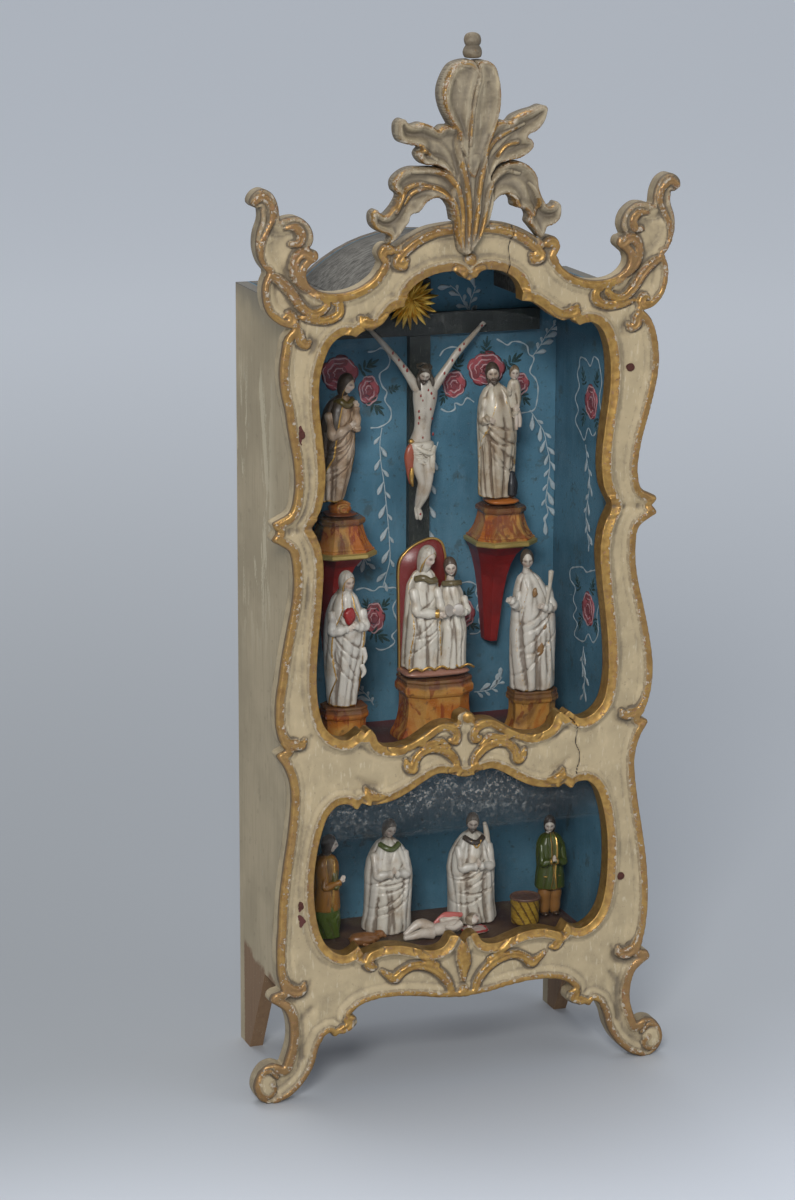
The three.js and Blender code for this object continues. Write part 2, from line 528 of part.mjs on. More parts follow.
function addSideBoards() {
  const legFront = rearY - LEG_TOP_DEPTH;
  const outline = [[caseY, SIDE_BOTTOM], [legFront, SIDE_BOTTOM], [rearY - LEG_FOOT_DEPTH, 0], [rearY, 0],
    [rearY, top], [caseY, top]];
  const shape = new THREE.Shape(outline.map(([y, z]) => new THREE.Vector2(y, z)));
  for (const [name, sign] of [['side_board_left', -1], ['side_board_right', 1]]) {
    const geometry = new THREE.ExtrudeGeometry(shape, { depth: SIDE_T, bevelEnabled: false });
    geometry.rotateX(Math.PI / 2);
    geometry.rotateZ(Math.PI / 2);
    geometry.translate(sign > 0 ? inner : -side, 0, 0);
    const rabbetX = [sign * (inner - 1), sign * (inner + SLOT_BITE)].sort((a, b) => a - b);
    const rabbet = block([rabbetX[0], caseY - 1, paneFootZ()], [rabbetX[1], boardY, top + 1]);
    const holes = nailPlaces().filter(([x]) => x * sign > 0).map(([x, z]) => nailShape(x, z, JOINT_GAP));
    addPiece(name, solid(geometry).subtract(join([rabbet, ...holes])), cream);
  }
}

/** The height at which the lower pane stands on the stopped ends of its rabbets. */
function paneFootZ() {
  return PANE_JOINT_Z - LOWER_PANE_H - JOINT_GAP;
}

function addBoards() {
  const wide = inner - JOINT_GAP;
  const arch = [];
  const half = VAULT_SPAN / 2;
  const sweep = Math.asin(half / vaultR);
  const steps = 16;
  for (let i = 0; i <= steps; i += 1) {
    const angle = sweep - (2 * sweep * i) / steps;
    arch.push([vaultR * Math.sin(angle), vaultAxisZ + vaultR * Math.cos(angle)]);
  }
  const backOutline = [[-wide, SIDE_BOTTOM], [wide, SIDE_BOTTOM], [wide, top], ...arch, [-wide, top]];
  addPiece('back_board', plate(backOutline, backY, BACK_T), blue);
  const reach = backY - JOINT_GAP;
  addPiece('floor_board', block([-wide, boardY, FLOOR_TOP - FLOOR_T], [wide, reach, FLOOR_TOP]), earth);
  addPiece('middle_shelf', block([-wide, boardY, SHELF_TOP - SHELF_T], [wide, reach, SHELF_TOP]), earth);
  const innerR = vaultR - VAULT_T;
  const springing = top + JOINT_GAP;
  const outerSweep = Math.acos((springing - vaultAxisZ) / vaultR);
  const innerSweep = Math.acos((springing - vaultAxisZ) / innerR);
  const ring = [];
  for (let i = 0; i <= steps; i += 1) {
    const angle = outerSweep - (2 * outerSweep * i) / steps;
    ring.push([vaultR * Math.sin(angle), vaultAxisZ + vaultR * Math.cos(angle)]);
  }
  for (let i = 0; i <= steps; i += 1) {
    const angle = -innerSweep + (2 * innerSweep * i) / steps;
    ring.push([innerR * Math.sin(angle), vaultAxisZ + innerR * Math.cos(angle)]);
  }
  addPiece('roof_vault', plate(ring, boardY, reach - boardY), wood);
  const shoulderX = innerR * Math.sin(innerSweep);
  for (const [name, sign] of [['roof_shoulder_left', -1], ['roof_shoulder_right', 1]]) {
    const ends = [sign * shoulderX, sign * wide].sort((a, b) => a - b);
    addPiece(name, block([ends[0], boardY, top - SHOULDER_T], [ends[1], reach, top]), wood);
  }
}

function addPanes() {
  const half = inner + SLOT_BITE - PANE_SIDE_GAP;
  const bottom = PANE_JOINT_Z - LOWER_PANE_H;
  addPiece('glass_lower', block([-half, paneY, bottom], [half, paneY + PANE_T, PANE_JOINT_Z]), glass);
  const arch = [];
  const steps = 18;
  const sweep = Math.asin(half / PANE_ARCH_R);
  for (let i = 0; i <= steps; i += 1) {
    const angle = sweep - (2 * sweep * i) / steps;
    arch.push([PANE_ARCH_R * Math.sin(angle), PANE_CROWN_Z - PANE_ARCH_R * (1 - Math.cos(angle))]);
  }
  const foot = PANE_JOINT_Z + JOINT_GAP;
  addPiece('glass_upper', plate([[-half, foot], [half, foot], ...arch], paneY, PANE_T), glass);
}

// Where the figures stand: the x of each, and how far the middle of its base lies behind the face
const upperLeftX = 45 - inner;
const upperRightX = inner - 42;
const upperFigureShift = 3;
const middleLeft = { x: 38 - inner, depth: 52 };
const middleCentre = { x: 3, depth: 60 };
const middleRight = { x: inner - 32, depth: 52 };
const pedestalHalf = 13;
const centrePedestalHalf = 22;

/** A red bracket on the back board, with a marbled pedestal and a round boss on it. */
function addBracketedPedestal(name, x, bossH) {
  const wall = backY - JOINT_GAP;
  const y = wall - BRACKET_DEPTH / 2;
  const base = BRACKET_TOP_Z - BRACKET_H;
  const lean = BRACKET_DEPTH / 2;
  const bracket = loft(x, y, base, [[0, 5, 4, 0, lean - 4], [BRACKET_H * 0.5, 9, 9.5, 0, lean - 9.5],
    [BRACKET_H, BRACKET_HALF_W, lean, 0, 0]], 8);
  const beyond = block([x - 40, wall, base - 1], [x + 40, wall + 40, BRACKET_TOP_Z + 1]);
  addPiece(`bracket_${name}`, bracket.subtract(beyond), red);
  const w = BRACKET_HALF_W;
  const h = UPPER_PEDESTAL_H;
  const pedestal = loft(x, y, BRACKET_TOP_Z + JOINT_GAP, [[0, w + 2, lean - 1, 0, -1], [4, w + 3, lean, 0, 0],
    [h * 0.3, w + 3, lean - 1, 0, 0], [h * 0.5, w - 1, lean - 5, 0, 0], [h * 0.8, w - 3, lean - 7, 0, 0],
    [h, w - 4, lean - 8, 0, 0]], 8, 1.6);
  addPiece(`pedestal_${name}`, pedestal.subtract(beyond), marbled);
  const bossZ = BRACKET_TOP_Z + h + 2 * JOINT_GAP;
  const boss = loft(x, y, bossZ, [[0, 8], [bossH * 0.3, 10], [bossH * 0.7, 10], [bossH, 8]], 12);
  addPiece(`boss_${name}`, boss, marbled);
  return { x: x - upperFigureShift, y, z: bossZ + bossH + JOINT_GAP };
}

/** A marbled pedestal standing on the shelf. */
function addPedestal(name, place, half, height) {
  const y = frontY + place.depth;
  const z = SHELF_TOP + JOINT_GAP;
  const deep = half * 0.8;
  const body = loft(place.x, y, z, [[0, half + 2, deep + 2], [4, half + 2, deep + 2], [7, half - 1, deep - 1],
    [height - 6, half - 2, deep - 2], [height - 3, half + 1, deep], [height, half + 1, deep]], 8, 2.2);
  addPiece(`pedestal_${name}`, body, marbled);
  return { x: place.x, y, z: z + height + JOINT_GAP };
}

/** A standing figure in a long robe with its forearms brought together in front. */
function robedFigure({ x, y, z }, height, half, handZ = 0.62, lean = 0) {
  const h = height;
  const w = half;
  const d = half * 0.72;
  const body = loft(x, y, z, [[0, w * 0.82, d * 0.9], [h * 0.12, w * 0.74, d * 0.85],
    [h * 0.35, w * 0.8, d * 0.9],
    [h * 0.55, w * 0.92, d], [h * 0.68, w, d * 0.95], [h * 0.77, w * 0.86, d * 0.8, lean * 0.5],
    [h * 0.82, w * 0.5, d * 0.55, lean * 0.7], [h * 0.87, w * 0.26, d * 0.4, lean]], 12);
  const head = loft(x + lean, y - d * 0.1, z + h * 0.84, [[0, w * 0.2, d * 0.3],
    [h * 0.03, w * 0.36, d * 0.52],
    [h * 0.08, w * 0.42, d * 0.6], [h * 0.13, w * 0.36, d * 0.5], [h * 0.16, w * 0.12, d * 0.16]], 10);
  const arm = (sign) => limb([[x + sign * w * 0.7, y, z + h * 0.76, w * 0.2],
    [x + sign * w * 0.8, y - d * 0.5, z + h * (handZ - 0.02), w * 0.22],
    [x + sign * w * 0.1, y - d * 1.15, z + h * handZ, w * 0.16]]);
  return join([body, head, arm(-1), arm(1)]);
}

/** A kneeling figure: the robe spreads back over the heels and the hands meet at the chest. */
function kneelingFigure({ x, y, z }, height, half, facing = 0) {
  const h = height;
  const w = half;
  const turn = facing * w * 0.35;
  const body = loft(x, y, z, [[0, w * 0.95, w * 0.85], [h * 0.12, w, w * 0.85], [h * 0.3, w * 0.82, w * 0.68],
    [h * 0.5, w * 0.78, w * 0.6], [h * 0.66, w * 0.86, w * 0.56, turn * 0.3],
    [h * 0.76, w * 0.62, w * 0.45, turn * 0.6],
    [h * 0.82, w * 0.28, w * 0.3, turn]], 12);
  const head = loft(x + turn, y - w * 0.12, z + h * 0.79, [[0, w * 0.18, w * 0.22],
    [h * 0.05, w * 0.36, w * 0.38],
    [h * 0.11, w * 0.4, w * 0.42], [h * 0.17, w * 0.32, w * 0.34], [h * 0.21, w * 0.1, w * 0.12]], 10);
  const arm = (sign) => limb([[x + sign * w * 0.55, y, z + h * 0.7, w * 0.2],
    [x + sign * w * 0.5 + turn, y - w * 0.45, z + h * 0.5, w * 0.2],
    [x + turn * 1.4, y - w * 0.85, z + h * 0.58, w * 0.17]]);
  return join([body, head, arm(-1), arm(1)]);
}

function addUpperNiche() {
  const left = addBracketedPedestal('upper_left', upperLeftX, ROUND_BOSS_H);
  addPiece('figure_upper_left', robedFigure(left, UPPER_LEFT_H, UPPER_LEFT_H * 0.176, 0.66), stone);
  const right = addBracketedPedestal('upper_right', upperRightX, FLAT_BOSS_H);
  const h = UPPER_RIGHT_H / 100;
  const child = loft(right.x + 10 * h, right.y - 9 * h, right.z + 63 * h, [[0, 3.8, 3.8], [3.8, 5.7, 5],
    [15.2, 5, 4.6],
    [19, 2.5, 2.5], [21.5, 4.3, 4], [26.6, 4.3, 4],
    [30.4, 1.5, 1.5]].map((level) => level.map((v) => v * h)), 10);
  addPiece('figure_upper_right', join([robedFigure(right, UPPER_RIGHT_H, UPPER_RIGHT_H * 0.171, 0.66),
    child]), stone);
  const a = addPedestal('middle_left', middleLeft, pedestalHalf, LOW_PEDESTAL_H);
  addPiece('figure_middle_left', robedFigure(a, MIDDLE_H, MIDDLE_H * 0.156, 0.6), stone);
  const b = addPedestal('middle_centre', middleCentre, centrePedestalHalf, CENTRE_PEDESTAL_H);
  const m = MIDDLE_H / 80;
  const seated = robedFigure({ x: b.x - 6 * m, y: b.y, z: b.z }, MIDDLE_H, MIDDLE_H * 0.181, 0.55);
  const pupil = robedFigure({ x: b.x + 9 * m, y: b.y - 6 * m, z: b.z }, PUPIL_H, PUPIL_H * 0.159, 0.6);
  const chair = block([b.x - 21.5 * m, b.y + 4 * m, b.z], [b.x + 5 * m, b.y + 10 * m, b.z + 76 * m]);
  addPiece('figure_middle_centre', join([seated, pupil, chair]), stone);
  const c = addPedestal('middle_right', middleRight, pedestalHalf + 1, LOW_PEDESTAL_H);
  const k = MIDDLE_RIGHT_H / 80;
  const raised = limb([[-9, -2, 58, 3], [-14, -8, 60, 2.6], [-18, -12, 62, 2.2]]
    .map(([x, y, z, r]) => [c.x + x * k, c.y + y * k, c.z + z * k, r * k]));
  addPiece('figure_middle_right', join([robedFigure(c, MIDDLE_RIGHT_H, MIDDLE_RIGHT_H * 0.165, 0.55),
    raised]), stone);
}

/** The cross stands on the shelf against the back board; the beam is halved over the upright. */
function addCross() {
  const y = backY - JOINT_GAP - CROSS_T;
  const half = CROSS_W / 2;
  const lap = CROSS_T / 2;
  const beamLow = BEAM_Z - half;
  const beamHigh = BEAM_Z + half;
  const upright = block([CROSS_X - half, y, SHELF_TOP + JOINT_GAP],
    [CROSS_X + half, y + CROSS_T, CROSS_TOP_Z]).subtract(block([CROSS_X - half - 1, y - 1,
    beamLow - JOINT_GAP], [CROSS_X + half + 1, y + lap, beamHigh + JOINT_GAP]));
  addPiece('cross_upright', upright, black);
  const lapRoom = block([CROSS_X - half - JOINT_GAP, y + lap - JOINT_GAP, beamLow - 1],
    [CROSS_X + half + JOINT_GAP, y + CROSS_T + 1, beamHigh + 1]);
  const beam = block([CROSS_X - BEAM_HALF, y, beamLow],
    [CROSS_X + BEAM_HALF, y + CROSS_T, beamHigh]).subtract(lapRoom);
  addPiece('cross_beam', beam, black);
  addCorpus(y - JOINT_GAP);
  const ringY = y - JOINT_GAP - SUNBURST_T;
  const burstZ = BEAM_Z + 17;
  const star = [];
  for (let i = 0; i < 2 * SUNBURST_RAYS; i += 1) {
    const angle = (i / SUNBURST_RAYS) * Math.PI;
    const long = 1 + 0.35 * Math.cos(2 * angle) ** 2;
    const r = (i % 2 ? 0.45 : 0.74 * long) * SUNBURST_R;
    star.push([r * Math.sin(angle), burstZ + r * Math.cos(angle)]);
  }
  const burst = plate(star, ringY, SUNBURST_T);
  const hub = loft(0, ringY - 1.6, burstZ - SUNBURST_R * 0.26, [[0, 0.1, 0.05], [0.1, 0.24, 0.12],
    [0.42, 0.24, 0.12],
    [0.52, 0.1, 0.05]].map((level) => level.map((v) => v * SUNBURST_R)), 10);
  addPiece('sunburst', join([burst, hub]), gold);
}

/** The body on the cross: arms raised to the beam, legs together, a cloth at the hips. */
function addCorpus(wallY) {
  const unit = CORPUS_H / 121;
  const foot = BEAM_Z - 117 * unit;
  const y = wallY - 6.5 * unit;
  const grown = (rings) => rings.map((ring) => ring.map((v) => v * unit));
  const torso = loft(CROSS_X + unit, y, foot + 33 * unit, grown([[0, 5.5, 4], [8, 6.5, 4.6], [18, 5.2, 4],
    [32, 8, 4.8],
    [44, 8.5, 4.4], [50, 5, 3.4], [54, 2.6, 2.6]]), 10);
  const head = loft(CROSS_X, y - 2 * unit, foot + 84 * unit, grown([[0, 2.4, 2.6], [4, 4.6, 4.6], [11, 5, 5],
    [17, 4, 4],
    [20, 1.4, 1.6]]), 10);
  const route = (points, sign = 1) => points
    .map(([x, dy, z, r]) => [CROSS_X + sign * x * unit, y + dy * unit, foot + z * unit, r * unit]);
  const arm = (sign) => limb(route([[6, 0, 78, 3.2], [18, 0, 93, 2.6], [30, 1, 109, 2.1],
    [37, 2, 119, 2.6]], sign));
  const legs = limb(route([[1, 0, 43, 6], [0, -2.5, 25, 5], [-1, -1, 9, 3.4], [0, -1.5, 0, 3]]), 8);
  const cloth = loft(CROSS_X - unit, y, foot + 37 * unit, grown([[0, 7.5, 4.6], [6, 9, 4.8],
    [12, 8, 4.8]]), 10);
  const drape = loft(CROSS_X - 10 * unit, y, foot + 17 * unit, grown([[0, 2, 2], [8, 4, 3], [20, 4.5, 3.6],
    [28, 3, 3]]), 8);
  addPiece('corpus', join([torso, head, arm(-1), arm(1), legs, cloth, drape]), stone);
}

function addNativity() {
  const ground = FLOOR_TOP + JOINT_GAP;
  const moundTop = ground + MOUND_H;
  const moundFront = boardY + 10;
  const mound = loft(0, (moundFront + backY - 8) / 2, ground, [[0, inner - 6, (backY - 8 - moundFront) / 2],
    [MOUND_H * 0.75, inner - 8, (backY - 14 - moundFront) / 2],
    [MOUND_H, inner - 10, (backY - 18 - moundFront) / 2]],
  20, 2.6);
  addPiece('ground_mound', mound, earth);
  const at = (x, depth) => ({ x, y: frontY + depth, z: moundTop + JOINT_GAP });
  const kneelingLeft = at(29 - inner, 60);
  addPiece('figure_kneeling_left', kneelingFigure(kneelingLeft, KNEELING_LEFT_H, KNEELING_LEFT_H * 0.1515,
    1), green);
  addPiece('figure_mother', kneelingFigure(at(-inner * 0.27, 62), MOTHER_H, MOTHER_H * 0.218), stone);
  addPiece('figure_father', kneelingFigure(at(inner * 0.3, 63), FATHER_H, FATHER_H * 0.21), stone);
  addPiece('figure_shepherd', robedFigure(at(inner - 18, 56), SHEPHERD_H, SHEPHERD_H * 0.156, 0.66), green);
  const cradle = at(3, 38);
  const unit = INFANT_L / 52;
  const infant = limb([[-27, 3.3, 2.4], [-12, 4.6, 4], [4, 6.2, 5.4], [12, 7.4, 3.2], [17, 9, 5],
    [22, 9.6, 3.6]]
    .map(([x, z, r]) => [cradle.x + x * unit, cradle.y, cradle.z + z * unit, r * unit]), 8);
  const pillow = loft(cradle.x + 18 * unit, cradle.y, cradle.z, [[0, 7, 5], [0.5, 8, 6], [1, 7, 5]]
    .map(([z, w, d]) => [z * PILLOW_H, w * unit, d * unit]), 12, 2);
  const above = block([cradle.x - 40 * unit, cradle.y - 20 * unit, cradle.z - 5],
    [cradle.x + 40 * unit, cradle.y + 20 * unit, cradle.z]);
  const pillowRoom = block([cradle.x + 9 * unit, cradle.y - 8 * unit, cradle.z - 1],
    [cradle.x + 28 * unit, cradle.y + 8 * unit, cradle.z + PILLOW_H + JOINT_GAP]);
  addPiece('pillow', pillow, red);
  addPiece('infant', infant.subtract(join([above, pillowRoom])), stone);
  const basket = at(inner - 37, 46);
  const b = BASKET_H / 16.6;
  addPiece('basket', loft(basket.x, basket.y, basket.z, [[0, 6.5], [4, 7], [15, 9], [16.5, 9.4],
    [16.6, 7.6], [10, 6.4]]
    .map((level) => level.map((v) => v * b)), 14), gold);
  const lamb = at(47 - inner, 38);
  const l = LAMB_H / 9;
  addPiece('resting_lamb', loft(lamb.x, lamb.y, lamb.z, [[0, 11, 4.5], [3, 12, 5.4], [6.5, 10, 4.6],
    [9, 5, 2.6, -4]]
    .map((level) => level.map((v) => v * l)), 12), earth);
}

addFaceBoard();
addNails();
addCrest();
addSideBoards();
addBoards();
addPanes();
addUpperNiche();
addCross();
addNativity();

export default object;
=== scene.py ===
# %% [markdown]
# # A portable oratory in Blender
# The object is a small glazed case with a carved front, and two niches of little painted figures.
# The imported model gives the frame: where every board, pane and figure stands, in metres. This lesson
# keeps the plain boards, and carves, models and paints everything that a square solid can't show.

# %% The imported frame
import math

import bpy
import numpy as np
from mathutils import Matrix, Vector, geometry


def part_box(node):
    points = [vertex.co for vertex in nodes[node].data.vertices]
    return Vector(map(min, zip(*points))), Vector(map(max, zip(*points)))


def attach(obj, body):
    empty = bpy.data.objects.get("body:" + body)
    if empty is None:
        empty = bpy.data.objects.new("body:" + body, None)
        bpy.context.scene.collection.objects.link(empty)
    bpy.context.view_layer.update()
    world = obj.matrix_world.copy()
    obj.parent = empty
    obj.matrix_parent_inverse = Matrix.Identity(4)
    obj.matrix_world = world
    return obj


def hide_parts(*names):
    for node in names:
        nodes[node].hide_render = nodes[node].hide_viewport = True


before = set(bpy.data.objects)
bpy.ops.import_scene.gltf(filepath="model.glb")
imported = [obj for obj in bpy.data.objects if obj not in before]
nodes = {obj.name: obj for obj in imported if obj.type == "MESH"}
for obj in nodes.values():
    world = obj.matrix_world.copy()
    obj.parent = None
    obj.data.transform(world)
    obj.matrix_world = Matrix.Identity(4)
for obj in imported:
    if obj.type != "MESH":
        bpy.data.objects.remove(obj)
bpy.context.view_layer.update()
MM = 0.001


def box_mm(node):
    """The lowest and highest corner of a node, in millimetres."""
    low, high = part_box(node)
    return np.array(low) * 1000, np.array(high) * 1000


face_low, face_high = box_mm("face_board")
side_high = box_mm("side_board_left")[1]
wall_y = box_mm("back_board")[0][1]
FRONT = -49.65  # y of the face's ground, from which the relief is measured
BACK = face_high[1]
print("carved face from y", round(face_low[1], 2), "to", round(BACK, 2))

# %% [markdown]
# ## Camera
# A picture taken from the left and a little above shows the front, the left side and the roof. The
# camera is placed by three turns: tilt down, roll and swing. A long lens keeps the upright lines
# nearly parallel, as a product photograph does.

# %% Camera
SWING, TILT, ROLL = 19.578, 13.743, 0.227
camera_data = bpy.data.cameras.new("camera")
camera_data.sensor_width = 36
camera_data.lens = 105
camera = bpy.data.objects.new("camera", camera_data)
camera.matrix_world = (
    Matrix.Translation((-0.67374, -1.82869, 0.7504))
    @ Matrix.Rotation(math.radians(-SWING), 4, "Z")
    @ Matrix.Rotation(math.radians(90 - TILT), 4, "X")
    @ Matrix.Rotation(math.radians(ROLL), 4, "Z")
)
bpy.context.scene.collection.objects.link(camera)
bpy.context.scene.camera = camera
bpy.context.scene.view_settings.view_transform = "Standard"
print("camera at", [round(v, 3) for v in camera.location])

# %% [markdown]
# ## Shader sums as plain Python
# A material is a small machine of nodes. Wiring it by hand hides the idea, so one class wraps a
# socket and turns `a * b + c` into Math nodes, and another holds a material and adds any node by
# name. Colours go through Mix nodes, because a Math node would turn them grey.


# %% Wires and finishes
class Wire:
    """An output socket that can stand in a sum."""

    def __init__(self, finish, socket):
        self.finish = finish
        self.socket = socket

    def sum(self, operation, *values):
        return self.finish.node("Math", {"operation": operation}, dict(enumerate(values)))

    def __add__(self, other):
        return self.sum("ADD", self, other)

    def __sub__(self, other):
        return self.sum("SUBTRACT", self, other)

    def __rsub__(self, other):
        return self.sum("SUBTRACT", other, self)

    def __mul__(self, other):
        return self.sum("MULTIPLY", self, other)

    def __abs__(self):
        return self.sum("ABSOLUTE", self)

    __radd__ = __add__
    __rmul__ = __mul__


class Finish:
    """A material that grows node by node."""

    def __init__(self, name):
        self.material = bpy.data.materials.new(name)
        self.material.use_nodes = True
        self.tree = self.material.node_tree
        self.tree.nodes.clear()

    def node(self, kind, settings=None, values=None, output=0):
        """Adds a node: its settings are set first, then its inputs' values or links."""
        node = self.tree.nodes.new("ShaderNode" + kind)
        for key, value in (settings or {}).items():
            setattr(node, key, value)
        for key, value in (values or {}).items():
            if isinstance(value, Wire):
                self.tree.links.new(value.socket, node.inputs[key])
            elif isinstance(value, tuple) and len(value) == 3 and node.inputs[key].type == "RGBA":
                node.inputs[key].default_value = (*value, 1)
            else:
                node.inputs[key].default_value = value
        return Wire(self, node.outputs[output]) if node.outputs else node

    def place(self, stretch=(1, 1, 1)):
        """Object coordinates in metres, stretched by the numbers given."""
        spot = self.node("TexCoord", output=3)
        if stretch == (1, 1, 1):
            return spot
        return self.node("Mapping", {}, {"Vector": spot, "Scale": stretch})

    def axis(self, letter):
        """One coordinate, in millimetres."""
        split = self.node("SeparateXYZ", {}, {0: self.place()}, output="XYZ".index(letter))
        return split * 1000

    def noise(self, size_mm, detail=3, stretch=(1, 1, 1), rough=0.55, warp=0.0):
        """Cloudy noise whose blots are about size_mm across, from 0 to 1."""
        return self.node("TexNoise", {}, {"Vector": self.place(stretch), "Scale": 1000 / size_mm,
                                          "Detail": detail, "Roughness": rough, "Distortion": warp})

    def cells(self, size_mm):
        """Distance inside cells of about size_mm."""
        return self.node("TexVoronoi", {}, {"Vector": self.place(), "Scale": 1000 / size_mm})

    def given(self, name, output=2):
        """A value that the mesh carries at every point."""
        return self.node("Attribute", {"attribute_name": name}, output=output)

    def step(self, value, low, high):
        """0 below low, 1 above high, and a smooth slope between."""
        return self.node("MapRange", {"interpolation_type": "SMOOTHSTEP"},
                         {0: value, 1: low, 2: high, 3: 0.0, 4: 1.0})

    def mix(self, share, first, second, blend="MIX"):
        """Colour between first and second."""
        return self.node("Mix", {"data_type": "RGBA", "blend_type": blend}, {0: share, 6: first, 7: second},
            output=2)

    def shader(self, colour, rough, metal=0.0, bump=None, depth_mm=0.2, **constants):
        """Closes the material with one Principled shader; bump is a height from 0 to 1."""
        values = {"Base Color": colour, "Roughness": rough, "Metallic": metal}
        values.update({key.replace("_", " "): value for key, value in constants.items()})
        if bump is not None:
            values["Normal"] = self.node("Bump", {}, {"Height": bump, "Distance": depth_mm * MM,
                "Strength": 1.0})
        end = self.node("BsdfPrincipled", {}, values)
        self.node("OutputMaterial", {}, {"Surface": end})
        return self.material


def cloudy(f, colour, layers):
    """Lays colours over each other: every layer is (blot size, detail, start, full, share, colour), and
    shows where noise of that size lies between start and full."""
    for size, detail, start, full, share, over in layers:
        colour = f.mix(f.step(f.noise(size, detail), start, full) * share, colour, over)
    return colour


print("a sum of wires is a chain of Math nodes")

# %% [markdown]
# ## Floor and light
# Old painted wood wants a large soft light, so that the carving reads by gentle shade and no glint
# hides the paint. The key stands at the left front and the world fills the rest. The floor is pale,
# and looks a little paler to the camera than it is, so the shadow stays and the table seems endless.
# That paleness is painted light: a glow away from the case and before its feet, and painted shade
# towards the left and the back.


# %% Floor and light
def lamp(name, place, target, size, power, colour=(1, 1, 1)):
    """A square area lamp at a place, looking at a target."""
    data = bpy.data.lights.new(name, "AREA")
    data.size = size
    data.energy = power
    data.color = colour
    lit = bpy.data.objects.new(name, data)
    lit.location = place
    lit.rotation_mode = "QUATERNION"
    lit.rotation_quaternion = (Vector(target) - Vector(place)).to_track_quat("-Z", "Y")
    bpy.context.scene.collection.objects.link(lit)


lamp("key", (-1.0, -2.1, 1.5), (0, 0, 0.28), 0.6, 40, (1.0, 0.985, 0.955))
lamp("fill", (1.7, -1.6, 1.0), (0, 0, 0.25), 1.4, 7, (0.94, 0.97, 1.0))
lamp("top", (-0.2, 0.7, 1.9), (0, 0, 0.3), 1.2, 12)

world = bpy.data.worlds.new("studio")
world.use_nodes = True
sky = world.node_tree.nodes["Background"]
sky.inputs[0].default_value = (0.80, 0.86, 0.95, 1)
sky.inputs[1].default_value = 0.40
behind_all = world.node_tree.nodes.new("ShaderNodeBackground")
behind_all.inputs[0].default_value = (0.405, 0.440, 0.500, 1)
camera_ray = world.node_tree.nodes.new("ShaderNodeLightPath")
blend = world.node_tree.nodes.new("ShaderNodeMixShader")
for start, end in ((camera_ray.outputs[0], 0), (sky.outputs[0], 1), (behind_all.outputs[0], 2)):
    world.node_tree.links.new(start, blend.inputs[end])
world.node_tree.links.new(blend.outputs[0], world.node_tree.nodes["World Output"].inputs[0])
bpy.context.scene.world = world

pale = Finish("table")
seen = pale.node("LightPath", output=0)
seen = seen + pale.node("LightPath", output=3) + pale.node("LightPath", output=6)
seen = pale.node("Math", {"operation": "MINIMUM"}, {0: seen, 1: 1.0})
# Painted shade: to the camera the floor darkens towards the left and the back.
beside = pale.step(pale.axis("X") * 0.94 - pale.axis("Y") * 0.34, -500, 420)
table_colour = pale.mix(beside, (0.34, 0.357, 0.375), (0.46, 0.485, 0.52))
# Zones of the floor, in millimetres: before the feet, under the lamps and far away.
near = (1 - pale.step(pale.axis("Y"), -330, 60)) * pale.step(pale.axis("Y"), -800, -400)
under_lamps = (1 - pale.step(pale.axis("Y"), -760, -420)) * pale.step(pale.axis("Y"), -3400, -1100)
# Painted light: before the feet and away from the case the floor is paler.
table_colour = pale.mix(near * 0.85, table_colour, (0.70, 0.74, 0.81))
out = pale.node("VectorMath", {"operation": "LENGTH"}, {0: pale.place()}, output=1) * 1000
far = pale.step(out, 150, 3000)
table_colour = pale.mix(far, table_colour, (0.74, 0.77, 0.80))
table_colour = pale.mix(under_lamps * 0.9, table_colour, (0.19, 0.20, 0.215))
table_dim = pale.mix(0.5, table_colour, (0.5, 0.53, 0.58))
# The glow is painted light, seen by the camera and in reflections.
painted_glow = pale.mix(seen * (far * (1 - under_lamps) + near * 0.6), (0.0, 0.0, 0.0), (0.165, 0.172, 0.186))
table_finish = pale.shader(pale.mix(seen, table_dim, table_colour), 0.6, Emission_Color=painted_glow,
    Emission_Strength=1.0)
bpy.ops.mesh.primitive_grid_add(x_subdivisions=2, y_subdivisions=2, size=60, location=(0, 0, 0))
table = bpy.context.object
table.name = "table"
table.data.materials.append(table_finish)
print("three lamps and a table")

# %% [markdown]
# ## Smooth lines and a sheet to carve
# Every carved line of the face is drawn as a few points in millimetres and smoothed by a
# Catmull-Rom spline. A sheet is a fine grid of points over the face. For a line, the sheet works out
# how far each grid point lies from it: rims, scrolls, gold and dirt all follow from that distance.


# %% Lines and the sheet
def points_of(text):
    """Points typed as text: a space between the numbers of a point, a comma between points."""
    return [tuple(float(v) for v in point.split()) for point in text.split(",")]


def rows_of(text):
    """The rows of a table; a row that ends with a comma goes on below."""
    return text.strip().replace(",\n", ", ").split("\n")


def lines_of(text):
    """One line of points in every row."""
    return [points_of(row) for row in rows_of(text)]


def drawn(text):
    """A heading and a line of points in every row."""
    return [(row.split(":")[0], points_of(row.split(":")[1])) for row in rows_of(text)]


def cubic(u, a, b, leave, arrive):
    """The curve from a to b that leaves and arrives along two slopes, as u runs from 0 to 1."""
    return ((2 * u**3 - 3 * u**2 + 1) * a + (u**3 - 2 * u**2 + u) * leave + (3 * u**2 - 2 * u**3) * b
        + (u**3 - u**2) * arrive)


